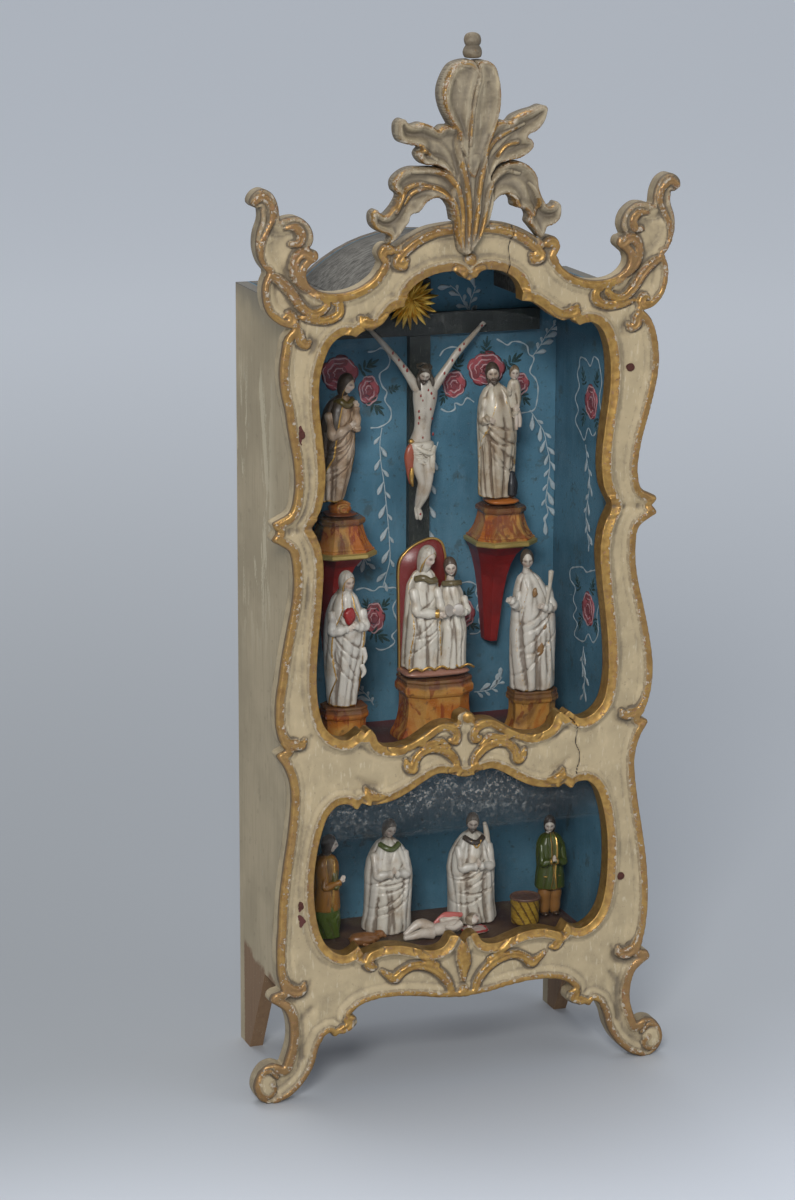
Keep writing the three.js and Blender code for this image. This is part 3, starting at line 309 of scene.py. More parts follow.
def spline(points, step=1.4):
    """Even points on a smooth line: between two points a cubic leaves and arrives along the local
    slope, its pace set by the square root of their distance. Further numbers ride along."""
    p = np.array(points, float)
    if len(p) < 3:
        count = max(2, int(np.hypot(*(p[-1] - p[0])[:2]) / step) + 1)
        return p[0] + (p[-1] - p[0]) * np.linspace(0, 1, count)[:, None]
    t = np.concatenate([[0], np.cumsum(np.sqrt(np.hypot(*(p[1:] - p[:-1])[:, :2].T)))])
    slope = (p[1:] - p[:-1]) / (t[1:] - t[:-1])[:, None]
    wide = (p[2:] - p[:-2]) / (t[2:] - t[:-2])[:, None]
    m = np.vstack([slope[:1], slope[:-1] - wide + slope[1:], slope[-1:]])
    u = np.linspace(0, 1, 16, endpoint=False)[None, :, None]
    dt = (t[1:] - t[:-1])[:, None, None]
    a, b, ma, mb = p[:-1, None], p[1:, None], m[:-1, None] * dt, m[1:, None] * dt
    curve = cubic(u, a, b, ma, mb)
    curve = np.vstack([curve.reshape(-1, p.shape[1]), p[-1:]])
    run = np.concatenate([[0], np.cumsum(np.hypot(*(curve[1:] - curve[:-1])[:, :2].T))])
    even = np.linspace(0, run[-1], max(2, int(run[-1] / step) + 1))
    return np.column_stack([np.interp(even, run, column) for column in curve.T])


def ease(value, low, high):
    """0 below low, 1 above high, and the cubic 3t^2 - 2t^3 between."""
    t = np.clip((value - low) / (high - low), 0, 1)
    return t * t * (3 - 2 * t)


def bell(value, width):
    """A bump of height 1 at zero: e to the minus square of value over width."""
    return np.exp(-((value / width) ** 2))


def waver(x, z, size, turn=0.0):
    """The unevenness of a hand's work, from -1 to 1: a sum of slow waves in five directions."""
    total = np.zeros_like(x)
    for k, angle in enumerate((0.3, 1.1, 1.9, 2.6, 3.7)):
        way = x * np.cos(angle + turn) + z * np.sin(angle + turn)
        total = total + np.sin(way * 6.283 / (size * (0.7 + 0.23 * k)) + 2.1 * k + 5 * turn)
    return total / 5


class Sheet:
    """A grid of points over the XZ plane, in millimetres."""

    def __init__(self, x0, x1, z0, z1, cell):
        self.x0, self.z0, self.cell = x0, z0, cell
        self.x, self.z = np.meshgrid(np.arange(x0, x1 + cell, cell), np.arange(z0, z1 + cell, cell))

    def patch(self, line, reach):
        """The rows and columns of the grid that a line can reach."""
        low = (line[:, :2].min(0) - reach - (self.x0, self.z0)) / self.cell - 2
        high = (line[:, :2].max(0) + reach - (self.x0, self.z0)) / self.cell + 3
        low = np.maximum(low.astype(int), 0)
        high = np.maximum(high.astype(int), 0)
        return slice(low[1], high[1]), slice(low[0], high[0])

    def near(self, line, reach=9.0):
        """Distance to the nearest point of a line, and the number that rides along there."""
        gap = np.full(self.x.shape, float(reach))
        ride = np.zeros(self.x.shape)
        if line.shape[1] < 3:
            line = np.column_stack([line, np.linspace(0, 1, len(line))])
        for start in range(0, len(line) - 1, 6):
            part = line[start:start + 7]
            spot = self.patch(part, reach)
            x, z = self.x[spot][..., None], self.z[spot][..., None]
            a, d = part[:-1], part[1:] - part[:-1]
            t = np.clip(((x - a[:, 0]) * d[:, 0] + (z - a[:, 1]) * d[:, 1]) / np.maximum(d[:, 0]**2
                + d[:, 1]**2, 1e-9), 0, 1)
            far = np.hypot(x - a[:, 0] - t * d[:, 0], z - a[:, 1] - t * d[:, 1])
            k = far.argmin(-1)[..., None]
            g = np.take_along_axis(far, k, -1)[..., 0]
            r = np.take_along_axis(a[:, 2] + t * d[:, 2], k, -1)[..., 0]
            closer = g < gap[spot]
            gap[spot] = np.where(closer, g, gap[spot])
            ride[spot] = np.where(closer, r, ride[spot])
        return gap, ride

    def within(self, outline):
        """True inside a closed outline: a point is inside if a level line from it crosses it an odd
        number of times."""
        inside = np.zeros(self.x.shape, bool)
        for (ax, az), (bx, bz) in zip(outline[:, :2], np.roll(outline[:, :2], -1, 0)):
            low, high = min(az, bz), max(az, bz)
            rows = (self.z[:, 0] >= low) & (self.z[:, 0] < high)
            if rows.any():
                z = self.z[rows]
                inside[rows] ^= self.x[rows] < ax + (z - az) * (bx - ax) / (bz - az)
        return inside

    def depth_in(self, outline, reach=9.0):
        """How deep inside a closed outline a point lies; outside it is negative."""
        gap, _ = self.near(np.vstack([outline, outline[:1]])[:, :2], reach)
        return np.where(self.within(outline), gap, -gap)


print("a spline through three points:", spline([(0, 0), (5, 4), (10, 0)]).round(1).tolist()[:3], "...")

# %% [markdown]
# ## The outline of the carved face
# The face is one board with two windows. Each outline is a chain of runs that meet in carved
# corners, so every run gets its own spline. The carver mirrored the right side by eye; the lists of
# shifts say how much further out the left side came.

# %% Outlines
outer_runs = dict(drawn("""
crown: 0 497.5, 13 497, 25 495, 34 491, 43 485.5
saddleKnob: 43 485.5, 46.5 488, 51 487, 53.4 482.5, 51 477
saddle: 51 477, 55 470.5, 64 464.5, 76 462, 87 464, 93 469.5, 93.5 475, 90 478.5
shellKnob: 90 478.5, 87 481.5, 88 485.5, 91.5 486.5
shell: 91.5 486.5, 89.5 492, 91.5 499, 98 504.3, 104 504.4, 108.5 503
curl: 108.5 503, 109.5 511, 113 517.5, 118.5 520, 123.5 517.5, 125.5 513, 123.5 510.5, 119.5 509.5
curlBack: 119.5 509.5, 119.3 504, 121.8 496, 122.2 488, 119.8 480, 116 475
volute: 116 475, 118.6 468, 118.3 459, 115.3 451, 110 446, 104 444
upperStile: 104 444, 109.5 438, 113.5 425, 114 410, 110 390, 104.5 369, 102.7 353, 105 342.5, 110.5 339,
114.5 336.8, 112 332
middleStile: 112 332, 114.6 327.5, 110 324.5, 104 320, 102.2 308, 103.5 293, 108 274, 112 256, 114.4 239,
113.6 224, 110 212, 107 208
lowerStile: 107 208, 112 205.5, 108 198, 105 189, 104.4 179, 106.5 161, 110 141, 113 122, 114.4 105,
114.4 91, 112.5 75, 110 67
foot: 110 67, 115 65.5, 116.5 61.5, 112 58, 107.5 54, 105 46, 105 35, 109 22
footScroll: 109 22, 114 24, 120 22.5, 125 16, 126 9, 123 3, 118.5 0
sole: 118.5 0, 111.5 0
footInside: 111.5 0, 104 3.5, 96 11, 90.5 20, 87.5 30, 84.5 36.5
drop: 84.5 36.5, 81 38.5, 78.5 35.5, 75.5 37
dropKnob: 75.5 37, 70 37.3, 64.5 41, 65 46, 68.5 48
apron: 68.5 48, 63 52.5, 54 55, 42 55.5, 28 54, 14 51.5, 0 50.5"""))
upper_window_runs = dict(drawn("""
head: 0 465.5, 3 467, 6.5 470.5, 14 470.8, 22 468.5, 28 464, 30.8 458, 30.8 452.8
lobe: 30.8 452.8, 37 452, 43 448.5, 49 444, 55 440.8, 61 440.8, 65.5 437.5
upperSide: 65.5 437.5, 70 439, 75 438, 79.5 434, 82.5 427, 84.5 416, 84.5 400, 82 380, 80.3 360, 82 345,
87.5 333
lowerSide: 87.5 333, 82.5 322, 80.5 308, 82 290, 84.5 270, 86.5 250, 86.5 232, 83.5 219, 77.5 212.5,
70.5 210.5, 65.5 213.5, 62.5 216
notch: 62.5 216, 60 213.5
sill: 60 213.5, 57.5 216, 54 212, 52 207.5, 47 204.5, 40 204
ribbon: 40 204, 33 205.5, 25 210, 17 214.5, 10 215.5, 5.5 214.5
shell: 5.5 214.5, 4.5 219, 0 221"""))
lower_window_runs = dict(drawn("""
head: 0 182.5, 4 183.5, 9 185, 16 186, 24 182.5, 33 177, 42 173, 50 171.5, 57 171.5, 61 173
side: 61 173, 64 170, 69 173, 75 173, 80.5 168, 84.5 158, 87.5 143, 88.5 125, 87.5 107, 84 94, 78.5 87,
71.5 84, 66.5 86, 63.5 89
notch: 63.5 89, 60.5 83
sill: 60.5 83, 56 84.5, 48 86.5, 38 86, 29 83.5, 20 81, 12 82.5, 8 88.5
tip: 8 88.5, 4.5 88.5, 0 83.5"""))
outer_uneven = points_of("""
454 0, 432 -4, 400 -6, 352 -1.5, 317 0, 247 -3, 207 0, 104 -3, 64 0""")
window_uneven = points_of("""
470 3, 454 7, 445 2, 438 0, 414 2, 352 3.2, 302 4, 247 2, 215 0, 167 1, 124 2, 88 .5""")


def left_of(line, uneven):
    """The mirrored line, moved further out by the shift that the list gives for its height."""
    heights, shifts = zip(*uneven[::-1])
    out = np.array(line, float)
    out[:, 0] = -out[:, 0] - np.interp(out[:, 1], heights, shifts) * np.minimum(1, np.abs(out[:, 0]) / 30)
    return out


def both(line, uneven):
    """A right-hand line and the one that answers it."""
    return [np.array(line, float), left_of(line, uneven)]


def outline_of(runs, uneven):
    """Runs from the top middle down the right side, and back up the left."""
    right = np.vstack([spline(run)[:-1] for run in runs.values()]
        + [np.array(list(runs.values())[-1][-1:], float)])
    return np.vstack([right, left_of(right[1:-1][::-1], uneven)])


outer = outline_of(outer_runs, outer_uneven)
upper_window = outline_of(upper_window_runs, window_uneven)
lower_window = outline_of(lower_window_runs, window_uneven)
print("outline points:", len(outer), len(upper_window), len(lower_window))

# %% [markdown]
# ## A carved board as a surface
# A carving could be sculpted by hand, or displaced by a picture. Here it is a height worked out on
# the sheet. Grid points beside the outline slide onto it, so the edge is smooth; the cells inside
# are kept, walls go down from the edge, and the back is filled with a few large triangles.


# %% Carving a sheet
def snap(sheet, depth):
    """Moves the grid points beside the edge onto it, against the slope of their depth, and says
    which points and cells to keep."""
    slope_z, slope_x = np.gradient(depth, sheet.cell)
    size = np.hypot(slope_x, slope_z) + 1e-6
    on = np.zeros(depth.shape, bool)
    for axis in (0, 1):
        for shift in (1, -1):
            other = np.roll(depth, shift, axis)
            on |= (depth * other < 0) & (np.abs(depth) <= np.abs(other))
    move = np.where(on, np.clip(depth, -sheet.cell, sheet.cell), 0)
    sheet.x = sheet.x - move * slope_x / size
    sheet.z = sheet.z - move * slope_z / size
    return on | (depth > 0)


def carve(sheet, keep, depth, front, back, flat_back=True):
    """Faces and points of a board whose front lies at y = front over the kept cells. back is the y
    of its back; with flat_back that is one number and the back is filled from the rim alone."""
    index = np.cumsum(keep.ravel()).reshape(keep.shape) - 1
    c = [index[:-1, :-1], index[:-1, 1:], index[1:, 1:], index[1:, :-1]]
    k = [keep[:-1, :-1], keep[:-1, 1:], keep[1:, 1:], keep[1:, :-1]]
    middle = (depth[:-1, :-1] + depth[:-1, 1:] + depth[1:, 1:] + depth[1:, :-1]) / 4
    solid = middle > -0.35 * sheet.cell
    whole = k[0] & k[1] & k[2] & k[3] & solid
    quads = np.column_stack([part[whole] for part in c])
    corners = []
    for out in range(4):
        a, b, d = [(out + i) % 4 for i in (1, 2, 3)]
        cut = k[a] & k[b] & k[d] & ~k[out] & solid
        corners.append(np.column_stack([c[a][cut], c[b][cut], c[d][cut]]))
    triangles = np.vstack(corners)
    x, z, y = sheet.x[keep], sheet.z[keep], front[keep]
    edges = np.vstack([np.column_stack([quads[:, i], quads[:, (i + 1) % 4]]) for i in range(4)]
                      + [np.column_stack([triangles[:, i], triangles[:, (i + 1) % 3]]) for i in range(3)])
    key = np.sort(edges, 1) @ np.array([len(x), 1])
    _, first, count = np.unique(key, return_index=True, return_counts=True)
    rim = edges[first[count == 1]]
    ring = np.unique(rim)
    spot = {int(v): i for i, v in enumerate(ring)}
    pairs = np.array([[spot[int(a)], spot[int(b)]] for a, b in rim])
    points = [np.column_stack([x, y, z])]
    faces = quads.tolist() + triangles.tolist()
    if flat_back:
        levels = [y[ring] + 0.9, np.full(len(ring), back - 0.8), np.full(len(ring), back)]
    else:
        levels = [y[ring] + 0.5 * (back[keep][ring] - y[ring])]
    above = ring
    total = len(x)
    for level in levels:
        points.append(np.column_stack([x[ring], level, z[ring]]))
        below = total + np.arange(len(ring))
        wall = np.column_stack([above[pairs[:, 1]], above[pairs[:, 0]], below[pairs[:, 0]],
            below[pairs[:, 1]]])
        faces += wall.tolist()
        above, total = below, total + len(ring)
    if flat_back:
        flat = [Vector((float(a), float(b))) for a, b in zip(x[ring], z[ring])]
        made = geometry.delaunay_2d_cdt(flat, pairs.tolist(), [], 0, 1e-6)
        spots = np.array([v[:] for v in made[0]])
        names = np.array([origin[0] if origin else -1 for origin in made[3]])
        fill = np.array(made[2])
        centre = spots[fill].mean(1)
        col = np.clip(((centre[:, 0] - sheet.x0) / sheet.cell).round().astype(int), 0, depth.shape[1] - 1)
        row = np.clip(((centre[:, 1] - sheet.z0) / sheet.cell).round().astype(int), 0, depth.shape[0] - 1)
        fill = names[fill[depth[row, col] > 0]]
        fill = fill[(fill >= 0).all(1)]
        faces += (above[fill[:, ::-1]]).tolist()
        source = np.concatenate([np.arange(len(x))] + [ring] * len(levels))
    else:
        points.append(np.column_stack([x, back[keep], z]))
        behind = total + np.arange(len(x))
        wall = np.column_stack([above[pairs[:, 1]], above[pairs[:, 0]], behind[ring][pairs[:, 0]],
            behind[ring][pairs[:, 1]]])
        faces += wall.tolist() + behind[quads[:, ::-1]].tolist() + behind[triangles[:, ::-1]].tolist()
        source = np.concatenate([np.arange(len(x)), ring, np.arange(len(x))])
    return np.vstack(points), faces, source


def tower(rings, ends, inward=False):
    """Points and faces of a tower of rings, given as rows x points round x 3: four-sided faces from
    ring to ring, and a fan to an end point below and above. Rings that run clockwise need inward."""
    index = np.arange(rings[..., 0].size).reshape(rings.shape[:2])
    right = np.roll(index, -1, 1)
    quads = np.stack([index[:-1], right[:-1], right[1:], index[1:]], -1).reshape(-1, 4)
    low, high = np.full(rings.shape[1], index.size), np.full(rings.shape[1], index.size + 1)
    fans = np.vstack([np.column_stack([low, right[0], index[0]]),
        np.column_stack([high, index[-1], right[-1]])])
    if inward:
        quads, fans = quads[:, [0, 3, 2, 1]], fans[:, [0, 2, 1]]
    return np.vstack([rings.reshape(-1, 3), ends]), quads.tolist() + fans.tolist()


def piece(name, points, faces, finish, body="case", slot=None, stands_for=(), given=None, smooth=True):
    """Makes an object from points in millimetres, gives it its finish, its values and its body."""
    mesh = bpy.data.meshes.new(name)
    mesh.from_pydata((np.asarray(points) * MM).tolist(), [], faces)
    mesh.polygons.foreach_set("use_smooth", [smooth] * len(mesh.polygons))
    for key, values in (given or {}).items():
        values = np.asarray(values, np.float32)
        if values.ndim == 2:
            layer = mesh.attributes.new(key, "FLOAT_COLOR", "POINT")
            layer.data.foreach_set("color",
                np.column_stack([values, np.ones(len(values), np.float32)]).ravel())
        else:
            layer = mesh.attributes.new(key, "FLOAT", "POINT")
            layer.data.foreach_set("value", values)
    mesh.materials.append(finish)
    mesh.update()
    made = bpy.data.objects.new(name, mesh)
    bpy.context.scene.collection.objects.link(made)
    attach(made, body)
    if stands_for:
        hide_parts(*stands_for)
    print(name, len(mesh.vertices), "points", sum(len(f) - 2 for f in faces), "triangles")
    return made


print("carving tools ready")

# %% [markdown]
# ## Aged cream paint and gilding
# The face is painted cream over white gesso, and its rims are gilded over a red-brown clay. Both are
# worn: gold is gone from the ridges, gesso shows along every edge, and dirt lies in the hollows, darkened
# further by painted shade. The mesh carries three plain distances, and the finish turns them into paint
# with noisy edges, so the chips stay sharp however coarse the grid is.


# %% The face's finish
def gilded_finish(name, cream_tint=(0.465, 0.37, 0.225)):
    """Cream, gesso, clay and gold, from the values gilt, hollow, crack and chip of the mesh."""
    f = Finish(name)
    gilt, hollow = f.given("gilt"), f.given("hollow")
    fine, broad = f.noise(1.6, 4), f.noise(13, 4)
    chips = f.noise(3.4, 5, rough=0.7)
    dabs = f.noise(5.0, 3, (1, 1, 0.35))
    cream = f.mix(f.step(broad, 0.35, 0.7), cream_tint, tuple(0.86 * v for v in cream_tint))
    cream = f.mix(f.step(dabs, 0.52, 0.75) * 0.55, cream, (0.57, 0.455, 0.275))
    cream = f.mix(f.step(f.noise(26, 3), 0.5, 0.75) * 0.5, cream, (0.39, 0.31, 0.185))
    gesso = f.mix(fine, (0.56, 0.49, 0.39), (0.42, 0.35, 0.26))
    clay = f.mix(fine, (0.24, 0.11, 0.045), (0.34, 0.19, 0.09))
    gold = f.mix(f.step(f.noise(4.2, 4), 0.35, 0.7), (0.53, 0.325, 0.10), (0.37, 0.205, 0.062))
    # The gold is dullest at the sides, on the crown and near the feet.
    dull = f.step(abs(f.axis("X")), 82, 92) * 0.55 + f.step(f.axis("Z"), 452, 472) * 0.5
    dull = dull + (1 - f.step(f.axis("Z"), 60, 84)) * 0.4 + (broad - 0.5) * 0.8
    gold = f.mix(f.step(dull, 0.2, 0.9) * 0.75, gold, (0.36, 0.215, 0.105))
    edge = gilt + (chips - 0.5) * 1.5 - 0.1
    on_gold = f.step(edge, -0.12, 0.12)
    line = f.step(gilt + (fine - 0.5) * 1.1, -1.35, -0.9) * (1 - on_gold)
    rub = (chips + f.step(fine, 0.4, 0.8) * 0.14 + hollow * -0.10 - f.step(gilt, 0.3, 2.2) * 0.09
        + dull * 0.045)
    worn = f.step(rub, 0.60, 0.66)
    to_clay = f.step(f.noise(2.6, 5), 0.60, 0.65)
    colour = f.mix(line * f.step(chips, 0.56, 0.64) * 0.35, cream, gesso)
    colour = f.mix(line * (1 - f.step(chips, 0.45, 0.62)) * 0.60, colour, (0.19, 0.13, 0.07))
    flaked = f.mix(f.step(f.noise(2.2, 4), 0.5, 0.56), gesso, clay)
    leafed = f.mix(worn, gold, flaked)
    leafed = f.mix(to_clay * 0.75, leafed, clay)
    colour = f.mix(on_gold, colour, leafed)
    scratch = f.step(f.noise(1.5, 4, (1, 1, 0.22)), 0.60, 0.66)
    colour = f.mix(scratch * 0.45 * (1 - on_gold), colour, (0.60, 0.52, 0.37))
    # The crown and the part near the table are darker; in the hollows the dark brown is dirt and painted
    # shade.
    darker_crown_and_foot = f.step(f.axis("Z"), 455, 500) * 0.30 + (1 - f.step(f.axis("Z"), 40, 95)) * 0.22
    dirt_and_shade = f.step(hollow + darker_crown_and_foot + (broad - 0.5) * 0.8 + (fine - 0.5) * 0.3, 0.08, 0.90)
    colour = f.mix(dirt_and_shade * 0.80, colour, (0.10, 0.078, 0.055))
    rubbed = f.step(0 - hollow + (fine - 0.5) * 0.6, 0.34, 0.6) * (1 - on_gold)
    colour = f.mix(rubbed * 0.10, colour, gesso)
    specks = f.step(f.noise(0.9, 2), 0.70, 0.76) * f.step(broad, 0.45, 0.6)
    colour = f.mix(specks * 0.7, colour, (0.13, 0.09, 0.06))
    colour = f.mix(f.step(f.noise(2.4, 5), 0.64, 0.70) * 0.35, colour, (0.20, 0.15, 0.095))
    colour = f.mix(f.step(f.given("crack"), -0.12, 0.1), colour, (0.025, 0.02, 0.015))
    chip = f.given("chip") + (fine - 0.5) * 1.6
    colour = f.mix(f.step(chip, -0.1, 0.1), colour, (0.10, 0.025, 0.02))
    metal = on_gold * (1 - worn) * (1 - to_clay * 0.8) * (1 - dirt_and_shade * 0.8)
    rough = 0.62 - metal * 0.22 + fine * 0.08
    bump = (fine * 0.25 + on_gold * (1 - worn) * 0.5 + line * 0.25 - f.step(chip, -0.1, 0.1) * 0.6
        + broad * 0.4)
    return f.shader(colour, rough, metal * 0.85, bump, 0.45)


face_finish = gilded_finish("aged_cream_and_gilding")
print("finish", face_finish.name, len(face_finish.node_tree.nodes), "nodes")

# %% [markdown]
# ## Carving the face board
# The board is about 9 mm thick. Round each window runs a gilded bevel that falls towards the glass;
# the outer edge has a flat gilded band; between them the stile is hollowed like a shallow gutter.
# Where a band ends it curls into a little knob. All of it is a sum of profiles over distances.


# %% Scrolls on the right half: x, z and half width, in millimetres
scrolls = lines_of("""
8 493 1.4, 20 492 2.2, 31 487.5 2.4, 38.5 481.5 2.6, 41.5 477 3.4, 38.5 475.6 3, 36.6 478 1.6
46 484 2.6, 49 484.6 3, 51 481.5 2.6
88 484 2, 90.5 481.5 2.8, 93 484 3, 96.6 484.6 3, 100 481 2.7, 100.6 475 2.5, 98.3 469.5 2.4,
94 465.5 2.2
64 447.5 1.6, 63 446 3.4, 59.5 444.6 2.8, 54 445 2, 49 448.5 1.2
116 474 1.5, 110 471 2.4, 103 464.5 2.7, 97.5 456.5 2.6, 91 451.4 2.4, 85 452.8 2.2, 82 456.4 1.9,
84 458.6 1.1
99 450 1, 90 447.6 1.9, 81 448 2.5, 75.5 451.4 2.6, 75.2 455.6 2.3, 78.6 457.4 1.4
116 455.5 1.6, 111.5 449.4 2.3, 106.5 446.4 3.1, 102.8 448.6 3.3, 104.2 451.6 2.4, 106.8 450.6 1.2
105.5 498.6 1, 99.8 498.6 2.3, 96.6 494.4 2.6, 98.2 490 2.3, 102.4 489.6 1.3
116.6 476 1.2, 119.2 483 1.5, 118.8 491 1.5, 115 499 1.5, 112.6 505 1.7, 114 511.4 1.8, 118.6 515.6 2.2,
123 513 1.8
95 436.4 1.2, 97.4 434.8 2.6, 100.2 437 2.9, 100.4 440.6 2.5, 104 441.6 2.3, 107.6 437.4 2.2
95.6 212.6 1.2, 97.4 210 2.6, 101 210.4 3, 105.6 211.8 2.6, 109.4 217.6 2.3, 111 224 1.8
96.4 69.6 1.2, 97.6 66.4 2.9, 101.6 65.6 3.6, 106.2 68.6 2.9, 109.6 75 2.3, 111 82 1.8
36 195.4 1.2, 34.4 191.4 2.7, 32 189.8 2.9, 30.6 194.6 2.6, 26 199.4 2.4, 19.4 200.8 2.5, 12 198.6 2.6,
6.6 193.4 2.4, 4 186 1.8
44.6 203.6 1.6, 40 201.6 2.2, 34 203 2.2, 24.6 207.4 2.4, 15 213 2.5, 9 212 2.4, 5.4 208.2 2.3,
6.2 204.2 2.8, 9 204.6 1.4
31 205.4 1.2, 24 203.4 1.8, 15 204.6 1.7, 9.6 200.8 1.2
60 181 1.2, 58.6 177.6 3, 54.6 175.6 2.6, 50 175.6 1.5
6.4 188 2.6, 9 186.8 1.4
50 71.6 1.2, 46 68.6 2, 42 66.6 3, 38.6 69.4 2.6, 32 72.6 2.5, 23 71.6 2.7, 14.6 66.6 2.7, 9 59.6 2.5,
7 52.8 2
30.6 85 1.6, 28 80 2, 22.6 75.6 2, 16 71.4 1.4
54 74.6 1.2, 56.2 74.8 2.6, 58.6 77.6 3, 57.6 82 2.4, 52 84.6 1.8
71.5 45.4 1.4, 69.4 42.2 3.2, 73 39.8 2.6, 77.4 38.6 1.8
112.4 15.6 1.2, 116.6 19.4 1.3, 122 18 1.4, 124.4 12 1.4, 121.6 5.6 1.3, 116.4 4.6 1.2, 113.6 8.6 1.1,
116 12.4 1
5.6 467.4 2.4, 4.2 469.6 3, 7.6 471.4 2""")
hollows = lines_of("""
112 332.4 1.2, 104 331.8 2, 94 332.2 1.8, 88 333 1.2
96 460.6 1.6, 103 458.6 3.4, 110 461 4.2, 112 466 2.6
104 473 2, 109 484 5.2, 108 493 4.4, 112 497 2.2
82 466.6 1, 92 462.4 1.3, 99 467.6 1.2, 104.4 475 1.4
115.4 503 1, 117.6 508.6 1.4, 121 512 1
94 440 1.4, 92 433 2.2, 96 430 1.2
92 214 1.4, 93.6 207 2.2, 101 204.6 1.6, 107 205.6 1.2
92.6 70 1.4, 94.4 62.4 2.2, 103 60 1.8, 109 62 1.2
64 187 1.6, 60 183.6 2.4, 54 182 1.6
46 199 1.4, 54 201 1.8, 62 204.6 1.4
97 26 2.2, 99 36 4.2, 97.6 46 3.6, 92 54 1.8""")
cracks = lines_of("""
24 497, 25.4 490, 23.4 483, 23.8 476, 22.4 468
63 211.6, 66 209, 68.6 203, 68 196, 70.6 189, 70 183, 67.8 178""")
paint_chips = lines_of("""
-97.6 389.5 .9, -96.6 386 1.9, -97.6 382 .9, -97 380 .4
-98 117 1.4, -98.4 113 .6
-98.8 110 .9, -97 107 1.9, -98 103.5 .7
96.2 412 1.7, 97.6 412 1.7
96.2 113 1.2, 97.4 113 1.2""")
knob_spots = [(0.5, 477, 3.4), (1.5, 217.5, 3.6), (0, 54.6, 3.2)]
print(len(scrolls), "scrolls,", len(hollows), "hollows on each half")

# %% The relief
CELL = 0.8  # width of one grid cell of the face
REACH = 9  # how far from a line its profile can be felt
NO_GILT, NO_CRACK = -6.0, -3.0  # gilt and crack where there is none near
sheet = Sheet(-128, 128, -2, 522, CELL)
depth_outer = sheet.depth_in(outer)
holes = np.minimum(-sheet.depth_in(upper_window), -sheet.depth_in(lower_window))
depth = np.minimum(depth_outer, holes)
keep = snap(sheet, depth)
x, z = sheet.x, sheet.z

edge_outer, _ = sheet.near(np.vstack([outer, outer[:1]]))
edge_window, _ = sheet.near(np.vstack([upper_window, upper_window[:1]]))
edge_lower, _ = sheet.near(np.vstack([lower_window, lower_window[:1]]))
edge_window = np.minimum(edge_window, edge_lower)
nearest = np.minimum(edge_outer, edge_window)

height = 1.0 - 1.5 * ease(nearest, 5.5, 9) + 0.25 * waver(x, z, 34)
gilt = np.full(x.shape, NO_GILT)


def lift(sheet_height, new, soft=0.5):
    """The higher of two heights, with a soft crease where they meet."""
    return (sheet_height + new + np.sqrt((sheet_height - new) ** 2 + soft * soft) - soft) / 2


def band(runs, names, uneven, width, profile):
    """Adds a rim along some runs: its profile is a height by distance from the run, 0 to 1 across."""
    global height, gilt
    for name in names:
        for line in both(spline(runs[name]), uneven):
            gap, _ = sheet.near(line, REACH)
            near = gap < REACH - 0.1
            across = gap / width
            height = np.where(near, lift(height, profile(across)), height)
            gilt = np.where(near, np.maximum(gilt, width - gap), gilt)


def flat_band(t):
    """A band rounded at the edge, level across, and a short step down inside."""
    level = 2.3 * np.sqrt(np.clip(1 - (1 - np.minimum(t / 0.24, 1)) ** 2, 0, 1))
    return level * (1 - ease(t, 0.93, 1.22)) - 0.6 * ease(t, 1.0, 1.3) - 1.4 * (t > 1.25)


def bevel(t):
    """A bevel that falls from a bead towards the window."""
    slope = (-0.3 + 2.6 * np.minimum(t, 1) ** 0.75) * (1 - ease(t, 1.08, 1.5))
    return slope + 0.3 * bell(t - 1.08, 0.12) - 2.0 * ease(t, 1.2, 1.6)


def roll(t):
    """A narrow round rim."""
    return 1.7 * np.sqrt(np.clip(t, 0, 1)) * (1 - ease(t, 0.9, 1.5))


def fillet(t):
    """A low flat rim."""
    return 0.6 - 3 * ease(t, 0.9, 1.4)


band(outer_runs, ["upperStile", "middleStile", "lowerStile", "saddle"], outer_uneven, 4.7, flat_band)
band(outer_runs, ["foot"], outer_uneven, 5.4, flat_band)
band(outer_runs, ["footInside", "drop", "apron", "volute", "saddleKnob"], outer_uneven, 3.6, flat_band)
band(outer_runs, ["shell", "curl", "curlBack", "footScroll"], outer_uneven, 2.2, roll)
band(outer_runs, ["crown"], outer_uneven, 1.8, fillet)
gilt = np.where((edge_outer < 2.6) & (z > 484), np.minimum(gilt, 0.1), gilt)
band(upper_window_runs, ["head", "lobe", "upperSide", "lowerSide", "sill"], window_uneven, 4.9, bevel)
band(lower_window_runs, ["head", "side", "sill"], window_uneven, 4.6, bevel)
band(upper_window_runs, ["ribbon"], window_uneven, 2.4, bevel)

for points in hollows:
    for line in both(spline(points), outer_uneven):
        gap, half = sheet.near(line, REACH)
        half = np.maximum(half, 0.5)
        height = (height - np.where(gap < REACH - 0.1, 1.35 * np.minimum(half, 2.2) / 1.8 * bell(gap / half,
            1.15), 0))

for points in scrolls:
    for line in both(spline(points, 1.0), outer_uneven):
        gap, half = sheet.near(line, 8)
        half = np.maximum(half, 0.4)
        across = gap / half
        rise = 1.2 + 0.62 * half
        ridge = (rise * np.sqrt(np.clip(1 - np.minimum(across, 1) ** 2.8, 0, 1))
            - 0.42 * half * bell(across, 0.42))
        trench = -0.95 * bell(across - 1.28, 0.26)
        beside = height + np.where(gap < 7.9, trench * (height < 1.6), 0)
        height = np.where(across < 1.0, lift(height, ridge - 0.1, 0.35), beside)
        gilt = np.where(gap < 7.9, np.maximum(gilt, half - gap), gilt)

for kx, kz, size in knob_spots:
    gap = np.hypot(x - kx, z - kz)
    height = np.maximum(height, 2.6 * np.sqrt(np.clip(1 - (gap / size) ** 2, 0, 1)) - 4 * (gap > size))
    gilt = np.maximum(gilt, size - gap)

